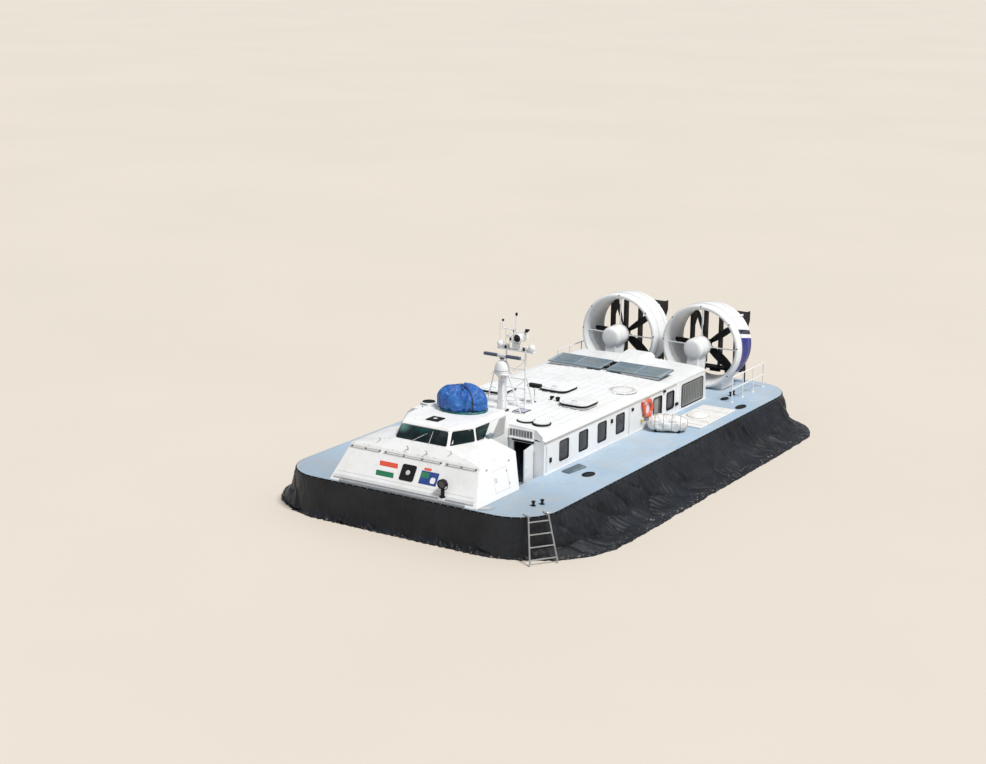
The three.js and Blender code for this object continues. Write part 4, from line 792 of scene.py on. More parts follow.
class StudioSettings(bpy.types.PropertyGroup):
    """Camera, lamps and floor"""

    eye: bpy.props.FloatVectorProperty(
        name="Camera", description="Place of the camera", subtype="TRANSLATION", unit="LENGTH",
        default=(56.3909, 32.822, 19.8285))
    yaw: bpy.props.FloatProperty(
        name="Yaw", description="Turn of the view about the vertical", subtype="ANGLE", default=math.radians(32.4655))
    pitch: bpy.props.FloatProperty(
        name="Pitch", description="Tilt of the view below the horizon", subtype="ANGLE",
        default=math.radians(13.5843))
    roll: bpy.props.FloatProperty(
        name="Roll", description="Lean of the camera", subtype="ANGLE", default=math.radians(0.5792))
    lens: bpy.props.FloatProperty(name="Lens", description="Focal length in millimetres", default=66.23)
    shift: bpy.props.FloatProperty(name="Shift", description="Rise of the lens", default=-0.0289)
    key: bpy.props.FloatProperty(name="Key lamp", description="Strength of the high soft lamp", default=3.25)
    sky: bpy.props.FloatProperty(name="Surround", description="Strength of the pale surround", default=0.46)
    floor: colour("Floor", "Plain pale floor", (0.66, 0.6, 0.52))


SETTINGS = (
    ("hovercraft_colours", CraftColours), ("hovercraft_skirt", CraftSkirt),
    ("hovercraft_fittings", CraftFittings), ("hovercraft_studio", StudioSettings),
)


# Finishes of this craft

def duct_stripes(tree, place, base):
    """Broad blue stripe with a thin dark one above it on the outboard side of each duct."""
    colours = bpy.context.scene.hovercraft_colours
    axes = node(tree, "ShaderNodeSeparateXYZ", {0: place})
    x, y, z = axes.outputs
    across = calc(tree, "SUBTRACT", calc(tree, "ABSOLUTE", y), DUCT_Y)
    rise = calc(tree, "SUBTRACT", z, HUB_Z)
    angle = calc(tree, "MULTIPLY", calc(tree, "ARCTAN2", rise, across), 180 / math.pi)
    angle = calc(tree, "ADD", angle, calc(tree, "MULTIPLY", calc(tree, "SUBTRACT", -8.1, x), 6.3))
    radius = calc(tree, "SQRT", calc(tree, "ADD", calc(tree, "MULTIPLY", across, across),
                                     calc(tree, "MULTIPLY", rise, rise)))
    outside = calc(tree, "MULTIPLY", ramp(tree, radius, 1.52, 1.53), ramp(tree, x, -8.03, -8.02, 1.0, 0.0))
    for low, high, paint in ((-34.0, 16.7, colours.stripe), (22.0, 28.6, (0.01, 0.015, 0.045))):
        band = calc(tree, "MULTIPLY", ramp(tree, angle, low, low + 0.15), ramp(tree, angle, high, high + 0.15, 1.0, 0.0))
        base = mix_colour(tree, calc(tree, "MULTIPLY", band, outside), base, rgb(paint))
    return base


def buoy_bands(tree, place, base):
    """Four pale bands round the lifebuoy."""
    ring_low, ring_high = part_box("lifebuoy")
    middle = (ring_low + ring_high) / 2
    axes = node(tree, "ShaderNodeSeparateXYZ", {0: place})
    x, _, z = axes.outputs
    angle = calc(tree, "ARCTAN2", calc(tree, "SUBTRACT", z, middle.z), calc(tree, "SUBTRACT", x, middle.x))
    wave = calc(tree, "ABSOLUTE", calc(tree, "SINE", calc(tree, "ADD", calc(tree, "MULTIPLY", angle, 2.0), math.pi / 2)))
    return mix_colour(tree, ramp(tree, wave, 0.26, 0.22), base, rgb((0.78, 0.74, 0.7)))


def curtains(tree, place, base):
    """Pale curtain seen behind the forward part of the glass of the first after window, its folds painted in bands of
    light and shade.
    """
    axes = node(tree, "ShaderNodeSeparateXYZ", {0: place})
    x, _, _ = axes.outputs
    folds = node(tree, "ShaderNodeTexWave", {"Vector": place, "Scale": 7.0, "Distortion": 1.0}).outputs["Fac"]
    after = calc(tree, "MULTIPLY", ramp(tree, x, -2.3, -2.27), ramp(tree, x, -1.5, -1.55))
    curtain_and_fold_shade = calc(tree, "MULTIPLY", after, calc(tree, "ADD", calc(tree, "MULTIPLY", folds, 0.3), 0.45))
    return mix_colour(tree, curtain_and_fold_shade, base, rgb((0.45, 0.44, 0.42)))


def windscreen_painted_reflection(tree, place, base):
    """Painted sky reflection: a paler cast in the starboard upper corner of the windscreen."""
    axes = node(tree, "ShaderNodeSeparateXYZ", {0: place})
    _, y, z = axes.outputs
    drift = calc(tree, "MULTIPLY", clouds(tree, place, 2.4, 3), 0.5)
    corner = calc(tree, "MULTIPLY", ramp(tree, calc(tree, "ADD", y, drift), -0.15, -0.75), ramp(tree, z, 3.04, 3.3))
    return mix_colour(tree, corner, base, rgb((0.12, 0.26, 0.25)))


def build_finish(name):
    """One named finish."""
    c = bpy.context.scene.hovercraft_colours
    white, grime = tuple(c.white), (0.4, 0.34, 0.26)
    if name == "White paint":
        return painted(name, white, (0.72, 0.71, 0.68), 0.4, grime, 0.22, 0.3, 0.55, coat=0.15)
    if name == "Roof paint":
        return painted(name, white, (0.68, 0.66, 0.61), 0.48, grime, 0.16, 0.16, 0.5, fading=0.4)
    if name == "Duct paint":
        return painted(name, white, (0.74, 0.73, 0.71), 0.42, grime, 0.05, 0.12, 0.2, gloss=0.25, extra=duct_stripes)
    if name == "Deck paint":
        return deck_finish(name, tuple(c.deck), (0.44, 0.55, 0.66))
    if name == "Skirt rubber":
        return skirt_finish(name)
    if name == "Intake paint":
        return painted(name, tuple(c.intake), (0.2, 0.265, 0.31), 0.55, grime, 0.3, 0.6, 0.8, bare=(0.5, 0.52, 0.52),
                       fading=0.9)
    if name == "Black paint":
        return painted(name, tuple(c.black), (0.017, 0.017, 0.016), 0.55, (0.06, 0.055, 0.05), 0.1, 0.2, 0.3,
                       bare=(0.16, 0.15, 0.145), gloss=0.2, fading=0.6)
    if name == "Rudder paint":
        return painted(name, tuple(c.rudder), (0.02, 0.016, 0.015), 0.62, (0.07, 0.06, 0.05), 0.1, 0.3, 0.3,
                       bare=(0.14, 0.1, 0.08), gloss=0.15, fading=0.7)
    if name == "Scanner paint":
        return painted(name, tuple(c.scanner), (0.09, 0.115, 0.17), 0.4, (0.3, 0.28, 0.25), 0.3, 0.3, 0.3)
    if name == "Grey paint":
        return painted(name, (0.42, 0.43, 0.43), (0.52, 0.52, 0.5), 0.5, grime, 0.4, 0.5, 0.6, fading=0.8)
    if name == "Pale grey paint":
        return painted(name, (0.6, 0.62, 0.63), (0.66, 0.66, 0.65), 0.5, grime, 0.35, 0.4, 0.5, fading=0.8)
    if name == "Casing grey":
        return painted(name, (0.5, 0.52, 0.53), (0.6, 0.6, 0.59), 0.5, grime, 0.3, 0.6, 0.5, fading=0.8)
    if name == "Gutter paint":
        return painted(name, (0.42, 0.37, 0.31), (0.62, 0.6, 0.56), 0.5, grime, 0.3, 0.5, 0.5, fading=0.9)
    if name == "Intake rim":
        return painted(name, (0.24, 0.31, 0.36), (0.36, 0.43, 0.47), 0.5, grime, 0.3, 0.5, 0.9, bare=(0.5, 0.52, 0.52),
                       fading=0.9)
    if name == "Fender rubber":
        return painted(name, (0.3, 0.32, 0.34), (0.42, 0.43, 0.43), 0.65, (0.2, 0.17, 0.14), 0.5, 0.5, 0.9,
                       bare=(0.12, 0.12, 0.12), fading=0.9)
    if name == "Gasket rubber":
        return painted(name, (0.006, 0.006, 0.007), (0.014, 0.014, 0.014), 0.65, (0.08, 0.07, 0.06), 0.1, 0.0, 0.1,
                       gloss=0.2, peel=0.01)
    if name == "Grille wire":
        return painted(name, tuple(c.grille), (0.4, 0.4, 0.37), 0.5, (0.14, 0.13, 0.11), 0.2, 0.6, 0.4, fading=0.9)
    if name == "Signal orange":
        return painted(name, (0.7, 0.07, 0.03), (0.75, 0.2, 0.13), 0.5, grime, 0.1, 0.25, 0.4, bare=white)
    if name == "Signal green":
        return painted(name, (0.01, 0.16, 0.075), (0.05, 0.24, 0.13), 0.5, grime, 0.1, 0.25, 0.4, bare=white)
    if name == "Signal blue":
        return painted(name, (0.008, 0.04, 0.22), (0.03, 0.08, 0.3), 0.5, grime, 0.1, 0.25, 0.4, bare=white)
    if name == "Signal yellow":
        return painted(name, (0.6, 0.45, 0.06), (0.62, 0.52, 0.2), 0.5, grime, 0.2, 0.25, 0.4, bare=white)
    if name == "Lifebuoy plastic":
        return painted(name, tuple(c.lifebuoy), (0.8, 0.13, 0.07), 0.45, grime, 0.3, 0.3, 0.3, extra=buoy_bands,
                       fading=0.9)
    if name == "Red rack":
        return painted(name, (0.55, 0.04, 0.03), (0.6, 0.13, 0.1), 0.45, grime, 0.2, 0.3, 0.7)
    if name == "Window glass":
        return glass_finish(name, tuple(c.window), (0.085, 0.085, 0.095), curtains)
    if name == "Wheelhouse glass":
        return glass_finish(name, tuple(c.windscreen), (0.008, 0.045, 0.045), windscreen_painted_reflection)
    if name == "Skylight glass":
        return glass_finish(name, (0.45, 0.43, 0.55), (0.7, 0.68, 0.76))
    if name == "Bare metal":
        return metal_finish(name, (0.55, 0.56, 0.57), 0.38)
    if name == "Engine iron":
        return metal_finish(name, (0.16, 0.17, 0.17), 0.6, 0.6)
    if name == "Blue tarpaulin":
        return cloth_finish(name, tuple(c.tarpaulin), (0.045, 0.2, 0.52), (0.001, 0.02, 0.12), 0.42, 55.0, 0.0)
    if name == "Green groundsheet":
        return cloth_finish(name, (0.008, 0.1, 0.11), (0.03, 0.2, 0.2), (0.003, 0.03, 0.03), 0.4, 55.0)
    if name == "Raft wrap":
        return cloth_finish(name, (0.74, 0.74, 0.73), (0.82, 0.82, 0.82), (0.42, 0.38, 0.33), 0.5, 60.0,
                            stains=(0.5, 0.36, 0.24))
    if name == "Pad cloth":
        return cloth_finish(name, (0.78, 0.77, 0.75), (0.82, 0.82, 0.81), (0.6, 0.56, 0.5), 0.6, 45.0,
                            stains=(0.62, 0.5, 0.36))
    if name == "Raft tie":
        return cloth_finish(name, (0.34, 0.3, 0.24), (0.5, 0.45, 0.38), (0.15, 0.12, 0.09), 0.7, 140.0)
    if name == "Black webbing":
        return cloth_finish(name, (0.012, 0.012, 0.014), (0.04, 0.04, 0.04), (0.004, 0.004, 0.004), 0.65, 140.0)
    raise ValueError(f"no finish is named {name}")


def finish(name):
    """A named finish, built the first time it is asked for."""
    return bpy.data.materials.get(name) or build_finish(name)


# Shape of the deck edge and the skirt, as in the construction

CRAFT_LOW, CRAFT_HIGH = CAD_BOX
SKIRT_HALF_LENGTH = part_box("skirt_bow_port")[1].x
SKIRT_HALF_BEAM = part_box("skirt_bow_port")[1].y
DECK_CORNERS = {1: 1.55, -1: 1.76}  # radius of the deck's bow and stern corners
FOOT_CORNERS = {1: 3.65, -1: 3.0}  # radius of the foot line's bow and stern corners
SKIRT_SECTION = ((0.0, 1.38), (0.1, 1.15), (0.2, 0.85), (0.34, 0.52), (0.55, 0.24), (0.8, 0.09), (1.0, 0.0))
EDGE_STRETCHES = (
    DECK_HALF - DECK_CORNERS[1], DECK_CORNERS[1] * math.pi / 2, DECK_BOW_X - DECK_STERN_X - sum(DECK_CORNERS.values()),
    DECK_CORNERS[-1] * math.pi / 2, DECK_HALF - DECK_CORNERS[-1])
HALF_EDGE = sum(EDGE_STRETCHES)
QUARTER_EDGE = EDGE_STRETCHES[0] + EDGE_STRETCHES[1] + EDGE_STRETCHES[2] / 2


def deck_edge(along):
    """Point and outward direction of the deck edge at a distance from the bow's middle, to port if positive."""
    side = 1 if along >= 0 else -1
    left = abs(along)
    for index, stretch in enumerate(EDGE_STRETCHES):
        if left <= stretch or index == 4:
            break
        left -= stretch
    if index == 0:
        point, out = Vector((DECK_BOW_X, left)), Vector((1, 0))
    elif index == 2:
        point, out = Vector((DECK_BOW_X - DECK_CORNERS[1] - left, DECK_HALF)), Vector((0, 1))
    elif index == 4:
        point, out = Vector((DECK_STERN_X, DECK_HALF - DECK_CORNERS[-1] - left)), Vector((-1, 0))
    else:
        end = 1 if index == 1 else -1
        radius = DECK_CORNERS[end]
        angle = left / radius + (0 if end > 0 else math.pi / 2)
        out = Vector((math.cos(angle), math.sin(angle)))
        middle_x = DECK_BOW_X - radius if end > 0 else DECK_STERN_X + radius
        point = Vector((middle_x, DECK_HALF - radius)) + out * radius
    return Vector((point.x, point.y * side)), Vector((out.x, out.y * side))


def outside_foot(point):
    """How far a point lies outside the line where the skirt meets the ground."""
    radius = FOOT_CORNERS[1 if point.x > 0 else -1] - (0.35 if point.x > 0 > point.y else 0)
    x = abs(point.x) - SKIRT_HALF_LENGTH + radius
    y = abs(point.y) - SKIRT_HALF_BEAM + radius
    return math.hypot(max(x, 0), max(y, 0)) + min(max(x, y), 0) - radius


def skirt_reach(point, out):
    """Distance from the deck edge to the foot line, straight outward."""
    near, far = 0.0, 4.0
    for _ in range(24):
        middle = (near + far) / 2
        if outside_foot(point + out * middle) > 0:
            far = middle
        else:
            near = middle
    return near


def section_at(drop):
    """Spread and height of the skirt's section at a share of its way down, on a smooth curve."""
    place = drop * (len(SKIRT_SECTION) - 1)
    index = min(int(place), len(SKIRT_SECTION) - 2)
    t = place - index
    points = [Vector(SKIRT_SECTION[min(max(index + k, 0), len(SKIRT_SECTION) - 1)]) for k in (-1, 0, 1, 2)]
    a, b, c, d = points
    value = ((2 * b) + (c - a) * t + (2 * a - 5 * b + 4 * c - d) * t * t + (3 * b - a - 3 * c + d) * t ** 3) / 2
    return value.x, max(value.y, 0.0)


def fade(value, low, high):
    """Smooth step from nothing at low to one at high."""
    t = min(max((value - low) / (high - low), 0.0), 1.0)
    return t * t * (3 - 2 * t)


# Folds of the skirt: distance along the edge at the top and at the foot, first and last share down, height, half width.
FOLDS = (
    (-2.9, -2.2, 0.1, 0.75, -0.1, 0.17), (-2.35, -2.75, 0.35, 0.95, 0.07, 0.12), (-0.6, 0.6, 0.12, 0.95, -0.1, 0.17),
    (0.15, 1.1, 0.25, 0.9, 0.07, 0.15), (2.6, 2.1, 0.05, 0.75, -0.08, 0.15), (-4.6, -4.0, 0.1, 0.9, -0.07, 0.15),
    (-3.6, -3.2, 0.1, 0.6, 0.06, 0.12), (-1.6, -1.2, 0.08, 0.55, -0.07, 0.12), (1.3, 2.0, 0.3, 0.95, -0.07, 0.14),
    (3.4, 3.1, 0.1, 0.9, 0.06, 0.14), (4.4, 4.9, 0.1, 0.85, -0.08, 0.14), (5.75, 6.6, 0.12, 0.92, -0.09, 0.15),
    (6.05, 7.3, 0.3, 0.95, 0.045, 0.18), (6.5, 8.4, 0.25, 0.8, -0.05, 0.16),
    (21.9, 23.9, 0.35, 0.85, 0.06, 0.09), (22.3, 24.2, 0.3, 0.8, -0.05, 0.14), (13.2, 15.3, 0.15, 0.6, -0.05, 0.09),
    (15.4, 17.4, 0.12, 0.55, -0.05, 0.08), (17.6, 19.2, 0.15, 0.6, -0.06, 0.1),
)


def folds(along, drop):
    """How far the cloth stands out or in at its few deep folds."""
    total = 0.0
    for top, foot, first, last, high, half in FOLDS:
        if not first < drop < last:
            continue
        off = (along - top - (foot - top) * drop ** 1.4) / half
        if abs(off) < 3:
            total += high * math.exp(-off * off) * math.sin(math.pi * (drop - first) / (last - first)) ** 0.6
    return total


def skirt_surface(along, drop, settings, reaches):
    """Point of the skirt's cloth, with its pleats, broad creases and wavy foot."""
    key = round(along, 4)
    if key not in reaches:
        point, out = deck_edge(along)
        reaches[key] = (point, out, skirt_reach(point, out))
    point, out, reach = reaches[key]
    spread, height = section_at(drop)
    corner = fade(-along, 3.0, 4.6) * (1 - fade(-along, 8.0, 11.0))
    spread += (1 - height / 1.38 - spread) * 0.8 * corner
    ahead_spread, ahead_height = section_at(min(drop + 0.02, 1.0))
    behind_spread, behind_height = section_at(max(drop - 0.02, 0.0))
    start = 0.048
    run = (ahead_spread - behind_spread) * (reach - start)
    fall = ahead_height - behind_height
    size = math.hypot(run, fall) or 1.0
    outward, upward = -fall / size, run / size
    wide = fade(reach, 0.25, 1.1)
    half = abs(along)
    spot = Vector((half * 0.9, drop * 1.5, 3.0 if along > 0 else 9.0))
    slant = (0.55 * drop + 0.75 * drop * drop) * wide
    wander = 0.35 * noise.noise(spot * 0.9) + 0.12 * noise.noise(spot * 3.1)
    phase = (half - slant + wander) / settings.pleat_pitch
    ridge = 1 - abs(math.sin(math.pi * phase)) ** 0.7
    strength = 0.55 + 0.9 * (noise.noise(Vector((half * 0.55, drop * 1.1, 21.0))) + 0.35)
    fine = settings.pleat_depth * fade(drop, 0.0, 0.1) * (1 - fade(drop, 0.5, 0.82) * wide) * max(strength, 0.12)
    belly = noise.fractal(Vector((half * 0.45, drop * 1.2, 5.0 if along > 0 else 14.0)), 0.9, 2.1, 4)
    creases = 1 - abs(noise.noise(Vector((half * 0.8 - slant * 1.6, drop * 1.7, 31.0 if along > 0 else 44.0)))) * 2.4
    broad = settings.swell * math.sin(math.pi * min(drop * 1.05, 1.0)) * (belly - 0.35)
    crease = -(0.1 + 0.06 * (1 - wide)) * max(creases, 0.0) ** 4 * math.sin(math.pi * drop) ** 0.6
    fingers = abs(math.sin(math.pi * (half + 0.1 * noise.noise(spot * 2.0)) / 0.31))
    hem = (0.016 + 0.02 * (1 - wide)) * (fingers - 0.75) * fade(drop, 0.62, 0.95)
    lift = fine * (ridge - 0.9) + broad + crease + hem - 0.012 + folds(along, drop)
    reach_here = start + (reach - start) * spread
    scallop = -0.05 * fade(drop, 0.8, 1.0) * (abs(noise.noise(Vector((half * 1.1, 7.0, along * 0.01)))) * 2 + 0.3 * (1 - fingers))
    flat = point + out * max(reach_here + lift * outward + scallop, 0.034)
    return Vector((flat.x, flat.y, max(height + lift * upward * fade(1 - drop, 0.0, 0.12), 0.004)))


def mapped_grid(across, down, place):
    """Grid whose points are moved to place(u, v), with u and v from nothing to one."""
    bpy.ops.object.select_all(action="DESELECT")
    bpy.ops.mesh.primitive_grid_add(x_subdivisions=across, y_subdivisions=down, size=1)
    obj = bpy.context.object
    for vert in obj.data.vertices:
        vert.co = place(vert.co.x + 0.5, vert.co.y + 0.5)
    return obj


def band_round(edge, height, thick, bevel=0.004):
    """Strip that stands on a closed line of points, drawn up by a height and outward by a thickness."""
    obj = line_of(list(edge) + [edge[0]])
    with editing(obj):
        bpy.ops.mesh.select_all(action="SELECT")
        bpy.ops.mesh.remove_doubles(threshold=0.0001)
        bpy.ops.mesh.extrude_region_move(TRANSFORM_OT_translate={"value": (0, 0, height)})
        bpy.ops.mesh.select_all(action="SELECT")
        bpy.ops.mesh.normals_make_consistent(inside=False)
    modified(obj, "SOLIDIFY", thickness=thick, offset=1)
    return rounded(obj, bevel)


# Operators

class HOVERCRAFT_OT_stage(bpy.types.Operator):
    """Camera at the photograph's angle, a plain pale floor and soft lamps"""

    bl_idname = "hovercraft.stage"
    bl_label = "Camera, lamps and floor"

    def execute(self, context):
        studio = context.scene.hovercraft_studio
        look = Vector((-math.cos(studio.yaw) * math.cos(studio.pitch),
                       -math.sin(studio.yaw) * math.cos(studio.pitch), -math.sin(studio.pitch)))
        right = look.cross(Vector((0, 0, 1))).normalized()
        up = right.cross(look)
        lean = Matrix.Rotation(-studio.roll, 3, look)
        right, up = lean @ right, lean @ up
        bpy.ops.object.camera_add()
        camera = context.object
        camera.name = "photograph_camera"
        turn = Matrix((right, up, -look)).transposed().to_4x4()
        camera.matrix_world = Matrix.Translation(studio.eye) @ turn
        camera.data.sensor_width = 36
        camera.data.lens = studio.lens
        camera.data.shift_y = studio.shift
        camera.data.clip_end = 3000
        context.scene.camera = camera

        bpy.ops.object.light_add(type="SUN", rotation=(0, 0, 0))
        key = context.object
        key.name = "key_lamp"
        key.data.energy = studio.key
        key.data.angle = math.radians(14)
        key.data.color = (1.0, 0.975, 0.94)
        key.rotation_euler = Vector((0.12, 0.52, 0.85)).to_track_quat("Z", "Y").to_euler()
        world = bpy.data.worlds.new("pale_surround")
        context.scene.world = world
        world.use_nodes = True
        background = world.node_tree.nodes["Background"]
        background.inputs["Color"].default_value = (0.86, 0.92, 1.0, 1)
        background.inputs["Strength"].default_value = studio.sky
        context.scene.view_settings.view_transform = "Standard"

        bpy.ops.mesh.primitive_plane_add(size=1600, location=(-120, -60, -0.004))
        floor = settle(context.object)
        floor.name = "studio_floor"
        material, tree, shader, place = new_material("Pale floor")
        tone = clouds(tree, place, 0.05, 3)
        pale = tuple(studio.floor)
        base = mix_colour(tree, ramp(tree, tone, 0.3, 0.7), rgb(pale), rgb(tuple(v * 1.03 for v in pale)))
        tree.links.new(base, shader.inputs["Base Color"])
        shader.inputs["Roughness"].default_value = 0.85
        floor.data.materials.append(material)
        return {"FINISHED"}


class HOVERCRAFT_OT_hull(bpy.types.Operator):
    """Hull, side decks, the clamp strip of the skirt and the fittings of the deck"""

    bl_idname = "hovercraft.hull"
    bl_label = "Hull and decks"

    def execute(self, context):
        for name in ("hull", "side_deck_port", "side_deck_starboard"):
            refined(name, finish("Deck paint"), 0.01)
        steps = 232
        edge = []
        for i in range(steps):
            point, out = deck_edge(-HALF_EDGE + 2 * HALF_EDGE * i / steps)
            edge.append(Vector((*(point + out * 0.003), DECK_Z - 0.052)))
        strip = band_round(edge, 0.046, 0.012, 0.003)
        placed(strip, "skirt_clamp_strip", finish("Gasket rubber"))
        bolts = []
        count = 200
        bolt = spun([(0.016, 0, 0), (0.0155, 0, 0.006), (0.011, 0, 0.0085), (0, 0, 0.009)], (0, 0, 0), (0, 0, 1), 8)
        for i in range(count):
            point, out = deck_edge(-HALF_EDGE + 2 * HALF_EDGE * (i + 0.5) / count)
            twin = copied(bolt)
            turn = Vector((out.x, out.y, 0)).to_track_quat("Z", "Y").to_matrix().to_4x4()
            twin.data.transform(Matrix.Translation((*(point + out * 0.014), DECK_Z - 0.028)) @ turn)
            bolts.append(twin)
        bpy.data.objects.remove(bolt)
        placed(joined(bolts), "clamp_bolts", finish("Bare metal"))

        # Oval scuttles in the deck, dark inside a low rim: centre and half sizes.
        ovals = ((4.98, 4.0, 0.30, 0.2), (-5.95, 4.55, 0.36, 0.17), (-6.7, 3.5, 0.26, 0.14))
        rims, wells = [], []
        for x, y, half_x, half_y in ovals:
            rim = spun([(1.0, 0, 0), (1.02, 0, 0.014), (0.96, 0, 0.022), (0.88, 0, 0.02), (0.86, 0, 0.002)],
                       (0, 0, 0), (0, 0, 1), 40)
            rim.data.transform(Matrix.Translation((x, y, DECK_Z)) @ Matrix.Diagonal((half_x, half_y, 1, 1)))
            rims.append(smoothed(rim))
            well = spun([(0.87, 0, 0.003), (0.5, 0, 0.006), (0, 0, 0.007)], (0, 0, 0), (0, 0, 1), 40)
            well.data.transform(Matrix.Translation((x, y, DECK_Z)) @ Matrix.Diagonal((half_x, half_y, 1, 1)))
            wells.append(smoothed(well))
        placed(joined(rims), "deck_scuttle_rims", finish("Gasket rubber"))
        placed(joined(wells), "deck_scuttles", finish("Black paint"))

        # Folded steps lying beside the port entrance.
        folded = extruded([(4.24, 3.19, DECK_Z), (5.255, 3.11, DECK_Z), (5.31, 3.43, DECK_Z), (4.345, 3.56, DECK_Z)],
                          (0, 0, 0.065), 0.012)
        slats = [rod((4.35 + 0.14 * i, 3.2, DECK_Z + 0.075), (4.42 + 0.14 * i, 3.46, DECK_Z + 0.075), 0.018, 8)
                 for i in range(7)]
        placed(joined([folded, *slats]), "folded_steps", finish("Intake paint"))

        # Bollards along the deck edge.
        posts = []
        bollard = spun([(0.085, 0, 0), (0.085, 0, 0.015), (0.045, 0, 0.03), (0.041, 0, 0.11), (0.066, 0, 0.118),
                        (0.069, 0, 0.15), (0.06, 0, 0.163), (0, 0, 0.165)], (0, 0, 0), (0, 0, 1), 24)
        smoothed(bollard)
        for x, y in ((-7.25, 3.5), (-7.5, 3.5), (8.9, 4.2), (8.6, 4.35)):
            posts.append(copied(bollard, (x, y, DECK_Z)))
        bpy.data.objects.remove(bollard)
        placed(joined(posts), "bollards", finish("Black paint"))
        return {"FINISHED"}


class HOVERCRAFT_OT_skirt(bpy.types.Operator):
    """Rubberised cloth of the skirt, in four widths that meet at the bow, the stern and amidships"""

    bl_idname = "hovercraft.skirt"
    bl_label = "Skirt"

    def execute(self, context):
        settings = context.scene.hovercraft_skirt
        reaches = {}
        widths = (
            ("skirt_bow_port", 0.0, QUARTER_EDGE, 15.6), ("skirt_stern_port", QUARTER_EDGE, HALF_EDGE, 15.6),
            ("skirt_stern_starboard", -HALF_EDGE, -QUARTER_EDGE, 15.6),
            ("skirt_bow_starboard", -QUARTER_EDGE, -0.00001, 15.6),
        )
        for node_name, first, last, cut_width in widths:
            def place(u, v, first=first, last=last):
                return skirt_surface(first + (last - first) * u, 1 - v, settings, reaches)
            cloth = mapped_grid(settings.columns, settings.rows, place)
            smoothed(cloth, 70)
            placed(cloth, f"{node_name}_cloth", finish("Skirt rubber"), stands_for=(node_name,))
        return {"FINISHED"}


def slope(y, z, lift=0.0):
    """Point on the sloped front of the bow block."""
    low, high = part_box("bow_block")[1].x, 9.57
    t = (z - DECK_Z) / (2.6 - DECK_Z)
    return Vector((low + (high - low) * t + lift * 0.847, y, z + lift * 0.531))


def seam(points, width=0.012):
    """Thin filled joint line laid on a face."""
    return pipe(points, width / 2, 1, smooth_bends=False)


